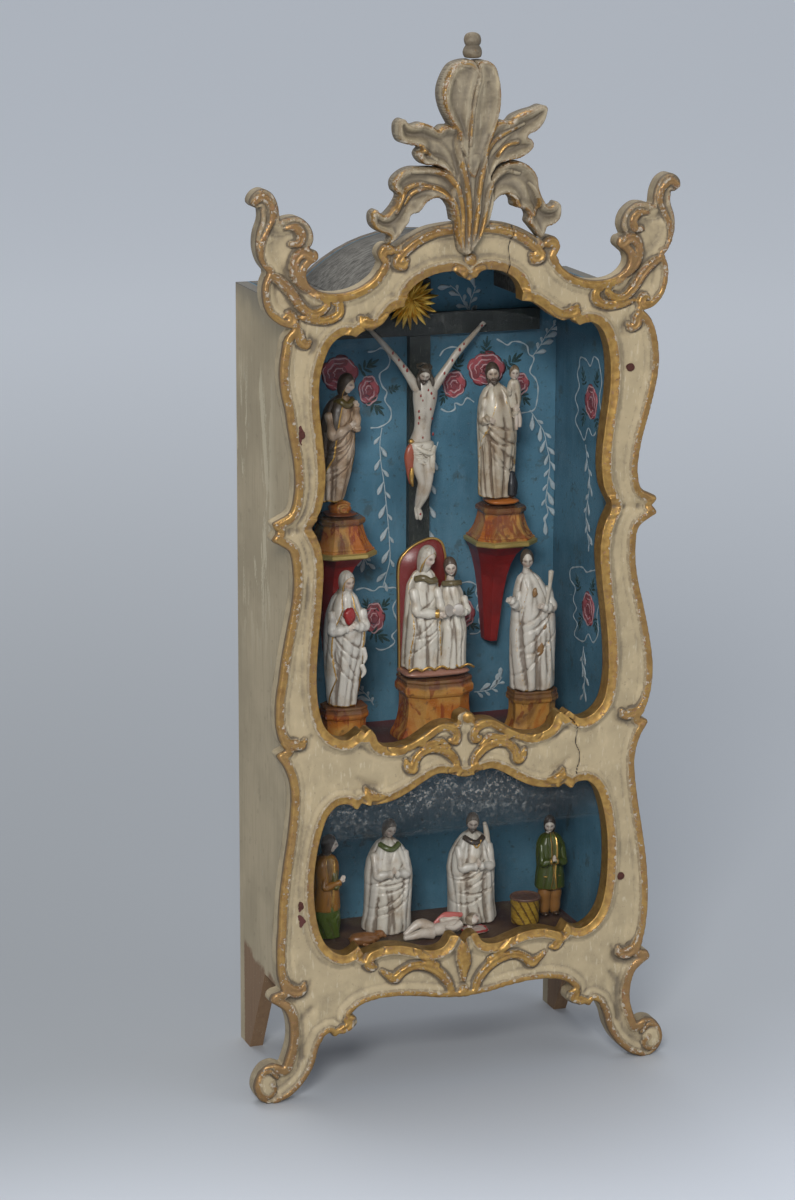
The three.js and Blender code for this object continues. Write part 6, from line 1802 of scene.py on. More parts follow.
def arm(shells, shoulder, elbow, wrist, thick=2.4, cuff=2.2, paint=pale, skin=flesh, fingers=None, trim=0.0,
        palm=(0, -1, 0), creases=3):
    """A sleeve from shoulder to wrist whose ring swells between creases, then a hand."""
    path = smooth([shoulder, (shoulder + elbow) / 2 + (0, 0, 0.2), elbow, (elbow + wrist) / 2, wrist], 30)
    t = np.linspace(0, 1, 30)
    swell = np.sin(t * np.pi * 2 * creases)
    radius = (thick * (1 - 0.12 * t) + (cuff - thick * 0.88) * ease(t, 0.6, 1.0) + 0.16 * thick * swell
        * ease(t, 0.1, 0.4))
    radius[0] *= 0.7
    # The sleeve's creases get grime and painted shade.
    gilt, grime_and_shade = (np.append(v.repeat(16), [0, 0]) for v in (trim * (t > 0.93), swell))
    shells.add(strand(path, radius, 0.92, (0.2, -1, 0.1), 16), paint, gilt,
        0.15 + 0.3 * (0.5 - 0.5 * grime_and_shade))
    if fingers is not None:
        hand(shells, path[-1], fingers, thick / 2.4, skin, palm)


# %% Finish of the stone figures
def figure_finish(name, aged=0.0):
    """Polished stone with thin paint: dirt and painted shade in the hollows, gold on trims, rubbed spots."""
    f = Finish(name)
    paint, gilt, grime_and_shade = f.given("paint", 0), f.given("gilt"), f.given("grime_and_shade")
    fine, broad = f.noise(1.1, 4), f.noise(9, 4)
    stain = f.mix(f.step(broad, 0.5 - aged, 0.75) * (0.5 + 1.6 * aged), paint, (0.62, 0.46, 0.30),
        "MULTIPLY")
    # Where the grime share is high the stone takes dirt and painted shade.
    dirt_and_shade = f.step(grime_and_shade + aged + (broad - 0.5) * 0.6 + (fine - 0.5) * 0.25, 0.26, 0.85)
    colour = f.mix(dirt_and_shade * 0.78, stain, f.mix(0.6, (0.13, 0.08, 0.045), paint, "MULTIPLY"))
    gold = f.step(gilt + (fine - 0.5) * 0.7, 0.42, 0.55)
    colour = f.mix(gold, colour, f.mix(broad, (0.60, 0.36, 0.09), (0.44, 0.25, 0.07)))
    colour = f.mix(f.step(f.noise(2.2, 5), 0.70, 0.74) * 0.6, colour, (0.30, 0.16, 0.06))
    return f.shader(colour, 0.30 + dirt_and_shade * 0.25, gold * 0.7, fine * 0.5 + gold * 0.4, 0.16)


stone_finish = figure_finish("painted_stone", 0.03)
browned_finish = figure_finish("browned_stone", 0.24)
stained_finish = figure_finish("stained_stone", 0.12)
bright_finish = figure_finish("bright_painted_stone", -0.12)
print("figure tools ready")

# %% [markdown]
# ## The two upper figures
# On the left a robed woman lifts one hand to her cheek, and a dark mantle with a gold edge falls
# behind her. On the right a bearded man in a cream mantle carries a child on his arm.


# %% Upper left
def middle_of(node):
    """The middle of a node's foot, and its height."""
    low, high = box_mm(node)
    return np.array([(low[0] + high[0]) / 2, (low[1] + high[1]) / 2, low[2]]), high[2] - low[2]


def at(x, y, share):
    """A point beside the middle of the foot, at a share of the figure's height."""
    return foot + (x, y, tall * share)


rosy, olive_gold, dull_gold = (0.62, 0.50, 0.38), (0.12, 0.10, 0.025), (0.13, 0.10, 0.045)
foot, tall = middle_of("figure_upper_left")
shells = Shells()
sections = points_of("""
0 6.2 5.6 -3 0, .06 6.6 5.8 -2.4 0, .25 8.4 7.2 -.6 0, .45 9.4 8 .4 0, .62 8.8 7.6 .8 0,
.76 8.2 6.8 1.6 0, .88 7.2 5.4 2.6 0, .95 4.6 3.6 3.6 0, 1 2 2 4.4 0""")
opening = points_of("""
0 1.6 1.5, .22 1.1 1.7, .42 .4 1.6, .7 .12 1.4, .9 .05 1.2, 1 .3 1""")
shells.add(*robe(foot, tall * 0.83, sections, folds=10, depth=1.1, twist=0.55, seed=1.3, mantle=opening,
    gown=rosy, cloak=(0.085, 0.070, 0.055), trim=1.0, hem=0.9, swag=1.2))
neck = at(4.6, -1.0, 0.83)
head(shells, neck + (1.4, -0.8, 6.2), 1.02, 0.75, 0.20, 0.12, "long", dark_hair, band=True)
collar = smooth([neck + (-6.2, -1.5, -4.2), neck + (-3.4, -4.4, -3.2), neck + (0.4, -5.4, -5.4),
    neck + (3.8, -3.8, -3.2), neck + (4.6, -0.6, -1.8)], 18)
shells.add(strand(collar, np.interp(np.linspace(0, 1, 18), [0, 0.3, 0.7, 1], [1.6, 2.2, 2.0, 1.2]), 0.6,
    (0, -1, 0.4), 12), olive_gold, 0.25, 0.1)
arm(shells, at(9.6, -3.0, 0.70), at(10.4, -6.8, 0.56), at(10.2, -6.6, 0.735), 2.5, 2.3, rosy,
    fingers=(-0.15, -0.1, 1))
arm(shells, at(-5.5, -3.4, 0.70), at(-4.2, -8.2, 0.52), at(5.6, -8.6, 0.60), 2.7, 2.7, rosy,
    fingers=(0.8, -0.1, 0.6))
shells.piece("robed_woman_left", browned_finish, slot="painted_stone", stands_for=["figure_upper_left"])

# %% Upper right
cream_robe = (0.60, 0.545, 0.44)
foot, tall = middle_of("figure_upper_right")
shells = Shells()
sections = points_of("""
0 8.6 7 -.6 0, .08 8.8 7.2 -.6 0, .3 9 7.8 -.4 0, .5 9.6 8.2 -.4 0, .62 9.8 8.2 -.6 0,
.78 9.4 7.4 -.8 0, .88 7.8 5.8 -1.2 0, .95 4.6 3.6 -1.8 0, 1 2 2 -2.2 0""")
opening = points_of("0 1.7 1.5, .4 1.5 1, .62 .7 .6, .85 .3 .3, 1 .5 .5")
shells.add(*robe(foot, tall * 0.82, sections, folds=13, depth=1.0, twist=0.16, seed=4.0, mantle=opening,
    cape=(0.44, -0.13), gown=(0.50, 0.43, 0.33), cloak=cream_robe, trim=0.55, hem=0.5, swag=0.9))
neck = at(-3.4, -1.4, 0.82)
head(shells, neck + (-1.2, -1.0, 6.0), 1.04, -0.25, 0.12, -0.10, "long", (0.085, 0.066, 0.052),
    beard=(0.13, 0.10, 0.08))
arm(shells, at(-8.6, -2.6, 0.72), at(-11.0, -5.0, 0.55), at(-9.0, -8.2, 0.585), 2.7, 2.6, cream_robe,
    fingers=(0.7, -0.3, -0.5))
arm(shells, at(6.4, -2.6, 0.72), at(9.4, -6.6, 0.58), at(7.2, -9.4, 0.62), 2.7, 2.5, cream_robe,
    fingers=(0.2, -0.2, 1))
child = at(7.2, -6.8, 0.645)
sections = points_of("""
0 2.4 2.6 .6 0, .3 3.8 3.4 .2 0, .7 3.7 3.1 -.2 0, .9 2.8 2.4 -.3 0, 1 1.3 1.3 -.3 0""")
shells.add(*robe(child, 17.0, sections, folds=7, depth=0.4, seed=2, gown=cream_robe, rows=50, across=60))
head(shells, child + (-0.2, -0.8, 20.6), 0.74, -0.2, 0.05, 0.08, "short", (0.40, 0.32, 0.22),
    skin=(0.60, 0.53, 0.45))
for dx, dz in ((0.6, -12.5), (2.6, -11.0)):
    shells.limb([child + (0.2, -1.6, 1.5), child + (dx, -2.6, -5.5), child + (dx + 0.3, -2.2, dz)],
        [1.7, 0.95], 1, flesh, 14, 10, 0.2)
arm(shells, child + (-2.2, -1.2, 11.5), child + (-3.6, -2.6, 8.0), child + (-4.0, -4.2, 10.6), 1.1, 1.0,
    cream_robe, fingers=(-0.6, -0.2, 0.7))
boot = smooth([foot + (6.4, -6.6, 15), foot + (6.8, -7.2, 8), foot + (6.2, -8.2, 1.6)], 16)
shells.add(strand(boot, np.interp(np.linspace(0, 1, 16), [0, 0.5, 1], [1.8, 3.2, 2.8]), 0.75, (0, -1, 0),
    14), (0.022, 0.022, 0.026), 0, 0.1)
shells.piece("bearded_man_with_child", stained_finish, slot="painted_stone",
    stands_for=["figure_upper_right"])

# %% [markdown]
# ## The middle row
# A veiled woman holds a red heart at her breast. In the middle sits a woman teaching a girl to read,
# on a red chair with a gilded edge. On the right a standing figure holds out one hand.

# %% Middle left
veil_white = (0.60, 0.565, 0.50)
foot, tall = middle_of("figure_middle_left")
shells = Shells()
sections = points_of("""
0 6.8 6.4 -1 0, .08 7.6 6.8 -1.2 0, .3 9 7.6 -.8 0, .5 10 8.2 -.2 0, .66 10.4 8.2 .2 0, .8 9 7.2 0 0,
.9 6.4 5.4 -.2 0, 1 4 4 .2 0""")
opening = points_of("""
0 1.4 1.7, .25 .7 1.3, .45 .9 .9, .66 .75 .85, .85 .35 .42, 1 .6 .6""")
shells.add(*robe(foot, tall * 0.84, sections, folds=11, depth=0.95, twist=-0.5, seed=2.2, mantle=opening,
    gown=veil_white, cloak=(0.565, 0.53, 0.465), trim=0.75, hem=0.4, swag=0.8))
neck = at(0.6, -1.6, 0.84)
head(shells, neck + (0.2, -0.6, 5.4), 1.0, 0.28, 0.12, -0.10, "veil", veil_white, skin=(0.54, 0.45, 0.37),
    band=True, neck=2)
arm(shells, at(-8.6, -3.2, 0.70), at(-9.6, -7.4, 0.56), at(-1.6, -9.8, 0.585), 2.8, 2.6, veil_white,
    fingers=(0.9, -0.2, 0.35))
arm(shells, at(9.2, -3.0, 0.70), at(9.8, -7.4, 0.58), at(3.6, -9.8, 0.60), 2.8, 2.6, veil_white,
    fingers=(-0.8, -0.2, 0.5))
heart = lump(at(-0.6, -10.6, 0.675), (3.4, 2.2, 5.2), 18, 14, 2.2, 0.25)
heart[0][:, 0] = (foot[0] - 0.6 + (heart[0][:, 0] - foot[0] + 0.6) * np.interp(heart[0][:, 2] - foot[2],
    [tall * 0.61, tall * 0.69], [0.55, 1.15]))
shells.add(heart, (0.30, 0.018, 0.016), 0, 0.1)
for points in ([(9.4, -5.0, 0.42), (10.6, -5.6, 0.36), (9.6, -6.0, 0.31)],
        [(8.2, -6.2, 0.30), (9.8, -6.2, 0.25), (8.0, -6.6, 0.21)]):
    fold = smooth([foot + (x, y, z * tall) for x, y, z in points], 12)
    shells.add(strand(fold, np.interp(np.linspace(0, 1, 12), [0, 0.6, 1], [1.6, 1.3, 0.5]), 0.7, (0, -1, 0),
        10), veil_white, 0.2, 0.2)
shells.piece("veiled_woman_with_heart", stone_finish, slot="painted_stone",
    stands_for=["figure_middle_left"])

# %% Middle centre: chair, woman and girl
foot, tall = middle_of("figure_middle_centre")
shells = Shells()
ivory = (0.63, 0.585, 0.50)
DRAWN_TALL = 80  # height at which the chair's outline is typed
back_y = foot[1] + 9.4
outline = spline(points_of("""
-19.2 0, -19.6 22, -20 48, -20.2 62, -19 68, -13 74.5, -5 78.4, 1 79.4, 6 77, 8.6 70, 9.4 55, 9.6 0"""), 1.2)
ring = np.column_stack([foot[0] + outline[:, 0], np.zeros(len(outline)), foot[2] + outline[:, 1] * tall
    / DRAWN_TALL])
levels = [(back_y, 1.0), (back_y - 2.2, 1.0), (back_y - 3.0, 0.97)]
rows = np.vstack([np.column_stack([foot[0] - 5 + (ring[:, 0] - foot[0] + 5) * k, np.full(len(ring), y),
    ring[:, 2]]) for y, k in levels])
n = len(ring)
faces = [[a * n + i, a * n + (i + 1) % n, (a + 1) * n + (i + 1) % n, (a + 1) * n + i] for a in range(2)
    for i in range(n)]
flat = geometry.delaunay_2d_cdt([Vector((float(p[0]), float(p[2]))) for p in ring], [(i, (i + 1) % n)
    for i in range(n)], [], 1, 1e-6)
tris = [[flat[3][v][0] for v in f] for f in flat[2]]
faces = [f[::-1] for f in faces] + [[v + 2 * n for v in f] for f in tris] + [f[::-1] for f in tris]
gild = np.concatenate([np.full(n, 0.6), np.full(n, 0.6), np.zeros(n)])
shells.add((rows, faces), (0.20, 0.022, 0.020), gild, 0.2)
edge = np.column_stack([foot[0] + outline[:, 0] * 0.985, np.full(n, back_y - 3.1),
    foot[2] + outline[:, 1] * tall / DRAWN_TALL])
shells.add(strand(edge, 0.75, 0.8, (0, -1, 0), 8), (0.45, 0.30, 0.20), 0.62, 0.3)
plinth = lump(foot + (-0.6, 0.5, 3.0), (20.2, 11.5, 3.2), 40, 12, 5.0, 0.03)
shells.add(plinth, (0.33, 0.16, 0.11), 0.25, 0.3)
for x, deep_y, top, wide, seed, mixed in ((-7.6, 0.0, 0.80, 1.0, 0.7, 1), (9.4, -1.2, 0.70, 0.82, 3.1, 0)):
    base = foot + (x, deep_y, 5.0)
    sections = [(0, 10.2 * wide, 9.0, 0, 0), (0.1, 10.0 * wide, 9.2, 0, 0), (0.35, 9.4 * wide, 9.8, 0,
        -0.8), (0.47, 9.0 * wide, 9.6, 0, -0.8), (0.56, 8.4 * wide, 7.4, 0, 0), (0.68, 8.2 * wide, 6.6, 0.2,
        0.6), (0.84, 7.6 * wide, 5.2, 0.5 * mixed, 0.8), (0.94, 4.4 * wide, 3.6, mixed, 0.8),
        (1, 2.0, 2.0, 1.2 * mixed, 0.6)]
    shells.add(*robe(base, tall * top - 5.0, sections, folds=12, depth=1.0, twist=0.06, seed=seed,
        mantle=points_of("0 .9 .9, .4 .8 .8, .6 .9 .9, .8 1.2 1.2, 1 1.4 1.4") if mixed else None,
        gown=ivory, cloak=(0.60, 0.55, 0.46), trim=0.6, hem=1.3, swag=0.9 * mixed))
neck = at(-5.8, -0.6, 0.80)
head(shells, neck + (0.6, -1.4, 6.4), 1.10, 0.45, 0.22, 0.10, "veil", ivory, band=True)
shells.limb([neck + (-7.4, -2.4, -5.6), neck + (-3.0, -5.2, -4.6), neck + (1.0, -5.8, -6.6),
    neck + (5.2, -4.0, -6.4)], 1.9, 0.6, dull_gold, 16, 12, 0.1, 0.25, hint=(0, -1, 0.4))
girl = at(8.8, -2.6, 0.735)
head(shells, girl + (-0.6, -0.8, 5.6), 0.96, -0.25, 0.22, -0.14, "long", (0.10, 0.07, 0.05))
shells.limb([girl + (-5.6, -1.4, -4.0), girl + (0, -4.6, -3.4), girl + (5.6, -1.4, -4.2)], 1.6, 0.6,
    dull_gold, 14, 12, 0.1, 0.2, hint=(0, -1, 0.4))
arm(shells, at(-14.2, -3.2, 0.66), at(-13.4, -8.8, 0.50), at(-2.0, -12.4, 0.49), 3.0, 2.8, ivory,
    fingers=(0.9, -0.2, -0.15), trim=0.8)
arm(shells, at(-0.4, -4.6, 0.66), at(0.8, -9.6, 0.52), at(4.6, -12.4, 0.50), 2.4, 2.2, ivory,
    fingers=(0.8, -0.3, 0.1))
arm(shells, at(16.2, -4.0, 0.58), at(17.0, -8.6, 0.48), at(11.8, -12.6, 0.485), 2.2, 2.0, ivory,
    fingers=(-0.8, -0.3, 0.1))
for turn, x in ((0.34, -3.0), (-0.34, 3.0)):
    page = lump(at(6.8, -12.8, 0.515), (3.2, 0.45, 3.6), 24, 8, 7.0)
    page = (turn_points(page[0] + (x, 0, 0), at(6.8, -12.8, 0.515), turn, -0.25), page[1])
    shells.add(page, (0.36, 0.32, 0.28), 0.15, 0.25)
for k in range(5):
    wave = smooth([foot + (-19 + 8 * k, -9.6 + 0.3 * k, 5.2), foot + (-15 + 8 * k, -10.2, 7.4),
        foot + (-11 + 8 * k, -9.6, 5.2)], 10)
    shells.add(strand(wave, 0.7, 0.8, (0, -1, 0), 8), ivory, 0.8, 0.2)
shells.piece("seated_woman_teaching_girl", stone_finish, slot="painted_stone",
    stands_for=["figure_middle_centre"])

# %% Middle right
foot, tall = middle_of("figure_middle_right")
shells = Shells()
sections = points_of("""
0 11 8.6 .4 0, .06 11.2 8.8 .4 0, .25 11.4 8.8 .2 0, .5 11.6 8.8 .4 0, .66 11 8.2 .4 0,
.8 9 6.8 -.8 0, .9 6 4.8 -2.2 0, .96 3.6 3.2 -3 0, 1 2 2 -3.4 0""")
opening = points_of("0 .6 .5, .3 .9 .55, .5 1.1 .5, .7 .8 .5, .86 .4 .4, 1 .8 .8")
shells.add(*robe(foot + (2.0, 0, 0), tall * 0.84, sections, folds=13, depth=1.15, twist=0.22, seed=5.1,
    mantle=opening, gown=(0.60, 0.56, 0.49), cloak=(0.58, 0.54, 0.475), trim=0.5, hem=1.0, swag=0.9))
neck = at(-1.4, -1.4, 0.85)
head(shells, neck + (-1.2, -1.0, 6.4), 1.0, -0.25, 0.22, -0.05, "cap", (0.10, 0.085, 0.07), band=True,
    skin=(0.56, 0.51, 0.44))
arm(shells, at(-6.6, -2.6, 0.70), at(-9.4, -5.6, 0.60), at(-14.6, -9.2, 0.665), 2.7, 2.8, veil_white,
    fingers=(-0.9, -0.5, 0.25))
arm(shells, at(9.8, -2.6, 0.72), at(11.6, -7.2, 0.58), at(5.4, -10.2, 0.60), 2.9, 2.8, veil_white,
    fingers=(-0.8, -0.3, 0.3))
shells.limb([at(6.4, -9.8, 0.58), at(9.0, -9.0, 0.74), at(10.4, -7.6, 0.845)], [0.9, 1.2, 1.7], 0.8,
    (0.50, 0.45, 0.37), 16, 10, 0.3, 0.3, at=[0, 0.6, 1])
for x, y, z, r in ((2.4, -8.4, 0.30, 2.4), (-1.6, -8.0, 0.70, 1.5), (4.6, -8.4, 0.46, 1.2)):
    stain = lump(foot + (x + 2, y + 0.2, z * tall), (r, 1.3, r * 1.9), 14, 10, 2, 0.3)
    shells.add(stain, (0.26, 0.14, 0.05), 0.3, 0.2)
shells.piece("standing_figure_right", stone_finish, slot="painted_stone",
    stands_for=["figure_middle_right"])

# %% [markdown]
# ## The crucified figure
# The body hangs from the cross with raised arms, pale as the other stone, with red spots and a short
# white cloth edged with gold; a red and gilded drape falls at one hip. Limbs are strands whose
# thickness follows the muscles, and the trunk is a small tower of rings.

# %% Body on the cross
deep = 37.2  # y of the body's middle
body_paint = (0.50, 0.455, 0.385)
blood, hair_brown, cloth_white = (0.26, 0.028, 0.020), (0.075, 0.060, 0.045), (0.60, 0.55, 0.45)
warm_gold, boss_red = (0.45, 0.27, 0.08), (0.42, 0.13, 0.022)
shells = Shells()


def limb(points, radius, flat=1.0, paint=body_paint, count=26, around=18, grime_and_shade=0.2, gilt=0.0):
    """A limb of the body; its points are x, y from the body's middle, and z."""
    shells.limb([(x, deep + y, z) for x, y, z in points], radius, flat, paint, count, around, grime_and_shade, gilt)


trunk = points_of("""
-2.4 348 5.4 3.6, -2.8 353 6.6 4.2, -2.6 358 6.4 4.2, -1.6 364 5.2 3.7, -.8 370 5.4 3.9,
-.2 377 6.6 4.4, .2 384 7.6 4.6, .2 390 7.4 4.2, 0 394 5 3.2, 0 396 2.6 2.4""")
rings = spline([(z, 0, x, w, d) for x, z, w, d in trunk], 0.7)
a = np.linspace(0, 2 * np.pi, 72, endpoint=False)[None, :]
z = rings[:, 0][:, None]
front_share = np.clip(-np.sin(a), 0, 1) ** 1.5
side = np.cos(a)
ribs = (0.22 * np.sin((z - 368) * 1.55 + 2.5 * np.abs(side)) * bell(z - 377, 7)
    * bell(np.abs(side) - 0.6, 0.35))
chest = (0.9 * (bell(side - 0.45, 0.34) + bell(side + 0.45, 0.34)) * bell(z - 384.5, 4.2)
    - 0.35 * bell(side, 0.14) * bell(z - 381, 8))
belly = (-0.5 * bell(side, 0.5) * bell(z - 371, 4) + 0.25 * bell(side, 0.5) * bell(z - 362, 4)
    - 0.5 * bell(side, 0.09) * bell(z - 365, 0.8))
push = front_share * (ribs + chest + belly)
x = rings[:, 2][:, None] + (rings[:, 3][:, None]) * np.cos(a)
y = deep + (rings[:, 4][:, None] + push) * np.sin(a) + 0 * z
ends = [(rings[0, 2], deep, rings[0, 0] - 0.6), (rings[-1, 2], deep, rings[-1, 0] + 0.5)]
shell = tower(np.stack([x, y, z + 0 * a], -1), ends)
# Hollows of the trunk get grime and painted shade; the raised chest gets less.
shells.add(shell, body_paint, 0, np.append((0.2 - 0.6 * push).ravel(), [0.2, 0.2]).clip(0.1, 0.9))
for s in (-1, 1):
    limb([(s * 5.4, -0.6, 389), (s * 9.5, -1.4, 395.5), (s * 14.5, -1.6, 402.5), (s * 19.5, -1.0, 409),
        (s * 27 + 1.4 * (s > 0), 0.8, 418 - (s > 0)), (s * 33.5 + 3 * (s > 0), 4.0, 425.5 - 2 * (s > 0))],
        [3.0, 2.9, 2.6, 2.3, 2.0, 2.1, 1.8, 1.45, 1.15], 0.9)
    shells.add(lump((s * 5.6, deep - 0.8, 389.6), (3.1, 2.9, 3.0), 20, 14), body_paint, 0, 0.2)
    palm = np.array([s * 33.5 + 3 * (s > 0), deep + 4.0, 425.5 - 2 * (s > 0)])
    way = np.array([s * 0.66, 0, 0.75])
    across = np.array([-0.75 * s, 0, 0.66]) * s
    shells.add(strand(palm + np.outer(np.linspace(-0.3, 2.0, 7), way), [1.0, 1.25, 1.4, 1.5, 1.5, 1.4, 1.2],
        0.5, (0, -1, 0), 10), body_paint, 0, 0.2)
    for k in (-1.0, -0.35, 0.35, 1.0):
        start = palm + way * 1.9 + across * k
        shells.limb([start, start + way * 1.0 + (0, -0.5, 0), start + way * 1.5 + (0, -1.3, 0)],
            [0.42, 0.26], 1, body_paint, 7, 7, 0.3, hint=(0.3, -1, 0))
    shells.add(lump(palm + way * 0.9 + (0, -1.0, 0), (0.75, 0.5, 0.75), 10, 8), blood, 0, 0.1)
limb([(-5.4, -0.2, 352), (-5.2, -2.2, 343), (-3.2, -4.4, 334), (-3.6, -3.2, 327), (-4.4, -0.8, 320),
    (-4.8, 0.6, 315.5)], [4.0, 3.9, 3.5, 3.0, 2.5, 2.55, 2.3, 1.8, 1.35, 1.2])
limb([(1.2, -0.2, 352), (1.4, -2.8, 343), (0.6, -5.2, 334), (-0.9, -4.4, 326), (-3.0, -2.4, 319.5),
    (-4.2, -1.4, 316)], [4.0, 3.9, 3.5, 3.05, 2.6, 2.65, 2.3, 1.8, 1.35, 1.2])
for x0, y0, tilt in ((-5.0, -0.6, -0.9), (-4.4, -2.2, 0.5)):
    limb([(x0, y0 + 0.6, 316.6), (x0 + 0.2 + 0.4 * tilt, y0 - 1.8, 313.4), (x0 + 0.6 * tilt, y0 - 2.6,
        310.2)], [1.4, 1.7, 1.75, 1.5, 0.9], 0.6, count=12, around=12)
shells.add(lump((-4.2, deep - 5.0, 313.6), (0.7, 0.4, 0.8), 10, 8), blood, 0, 0.1)
head(shells, (-1.4, deep - 4.0, 398.5), 0.94, -0.25, 0.42, 0.16, "long", hair_brown,
    beard=(0.080, 0.060, 0.048), skin=(0.58, 0.53, 0.46), neck=1.2)
crown = np.linspace(0, 2 * np.pi, 50)
for shift in (0.0, 2.1):
    wave = 402.6 + 0.45 * np.sin(5 * crown + shift) + 1.0 * np.sin(crown)
    ring = np.stack([-1.6 + 4.3 * np.cos(crown), deep - 3.4 + 4.6 * np.sin(crown), wave], -1)
    shells.add(strand(ring, 0.42, 1, (0, 0, 1), 8), (0.09, 0.075, 0.055), 0, 0.2)
for s, reach in ((-1, 9), (1, 7)):
    limb([(-1.4 + s * 3.2, -3.2, 398), (-1.2 + s * 4.4, -4.4, 394), (-0.8 + s * 4.0, -5.2, 398 - reach)],
        [1.3, 1.5, 1.1, 0.5], 0.8, hair_brown, 12, 10)
sections = points_of("""
0 6.2 4.6 .2 0, .3 6.8 5.2 0 0, .7 7.4 5 -.2 0, .9 7.2 4.6 -.3 0, 1 5.8 3.6 -.4 0""")
shells.add(*robe((-2.0, deep - 0.8, 343.5), 13.5, sections, folds=9, depth=0.7, twist=0.9, seed=1.1,
    gown=(0.60, 0.55, 0.46), trim=0.9, hem=1.4, swag=1.0, rows=60, across=90))
limb([(-9.2, -2.6, 356.4), (-3.6, -6.4, 352.6), (2.0, -6.6, 350.6), (5.2, -3.6, 354.4)],
    [1.2, 1.5, 1.3, 1.5, 1.1], 0.7, cloth_white, 22, 12, 0.3, 0.35)
limb([(3.6, -5.6, 352), (2.6, -6.6, 345), (3.6, -6.2, 338.6)], [1.3, 1.9, 1.6, 0.8], 0.6, cloth_white, 18,
    12, 0.35, 0.35)
limb([(-7.6, -2.2, 357.5), (-10.4, -2.8, 350), (-10.0, -2.4, 341), (-9.0, -1.8, 332)],
    [1.6, 3.0, 3.3, 2.8, 2.2, 1.2], 0.6, (0.34, 0.085, 0.045), 30, 16, 0.3, 0.30)
limb([(-9.4, -4.4, 342), (-9.8, -4.6, 335.6), (-8.6, -3.6, 330.6)], [0.9, 1.6, 1.2, 0.6], 0.7, warm_gold,
    14, 10, 0.2, 0.9)
shells.add(lump((-9.6, deep - 3.2, 358), (1.8, 1.5, 1.4), 14, 10, 2, 0.3), warm_gold, 0.7, 0.2)
drops = points_of("""
-12.5 401 1.2, -14.6 403.6 1.1, -17.5 407.4 .9, -21 411.6 1.1, 11 398 1, 16 405.5 1, 21 411.4 1.3,
24 414.6 .9, -4.2 385.5 .9, -3 382.6 .7, 2.4 386.6 1, 4 383.6 .7, -5 376 .9, -4.6 372 1.1, -5 368.6 .8,
2.2 377 .9, 3.6 371 .8, 1.4 336 1.3, -.6 333.4 1.2, -1.6 326 .9, .4 329 .9, -2.6 322 .7, -3.8 336 .7,
5.2 361 1.1, -2.6 360 .8, .6 388.6 .8""")
TRUNK_AND_ARMS = 12  # the first shells of the body
surface = np.vstack(shells.points[:TRUNK_AND_ARMS])
for dx, dz, r in drops:
    near = surface[(np.abs(surface[:, 0] - dx) < 1.6) & (np.abs(surface[:, 2] - dz) < 1.6)]
    if len(near):
        drop = lump((dx, near[:, 1].min() + 0.05, dz), (r * 0.62, 0.30, r), 9, 7, 2, 0.3)
        shells.add(drop, blood, 0, 0.1)
beam_x = (box_mm("cross_upright")[0][0] + box_mm("cross_upright")[1][0]) / 2
TOP_Z, NARROWER, SHORTER = 429.5, 0.97, 0.967  # the body is fitted to the cross from its highest point
for rows in shells.points:
    rows[:, 0] = beam_x + rows[:, 0] * NARROWER
    rows[:, 2] = TOP_Z - (TOP_Z - rows[:, 2]) * SHORTER
shells.piece("body_on_cross", stone_finish, slot="painted_stone", stands_for=["corpus"])

# %% Bosses under the upper figures
for side, gold in (("left", 0.35), ("right", 0.3)):
    node = [n for n in nodes if "boss" in n and side in n][0]
    low, high = box_mm(node)
    middle, half = (low + high) / 2, (high - low) / 2
    shells = Shells()
    if side == "left":
        shells.add(lump(middle, half * (0.66, 0.66, 1), 40, 24, 2.3, 0.08), boss_red, gold, 0.3)
        shells.add(lump(middle - (0, 0, half[2] * 0.7), half * (0.95, 0.95, 0.3), 40, 12, 3, 0.05),
            (0.20, 0.06, 0.02), 0.1, 0.3)
        for reach in (6.4, 4.4, 2.4):
            a = np.linspace(0.5, 5.6, 26)
            front = middle[1] - half[1] * 0.66 * np.sqrt(1 - (reach / 7.2) ** 2) + 0 * a
            curl = np.stack([middle[0] + 0.5 + reach * 0.8 * np.cos(a), front, middle[2]
                + reach * 0.62 * np.sin(a)], -1)
            shells.add(strand(curl, 0.85, 0.8, (0, -1, 0), 10), (0.40, 0.16, 0.035), 0.45, 0.1)
    else:
        shells.add(lump(middle, half, 44, 16, 3.4, 0.05), boss_red, gold, 0.3)
    shells.piece(f"painted_boss_{side}", stone_finish, slot="marbled_wood", stands_for=[node])

# %% [markdown]
# ## The lower niche
# On a brown mound a mother and a bearded father kneel behind a lying infant. A man in ochre and
# green kneels at the left, another in a green coat at the right beside a yellow basket, and a small
# animal lies in front.

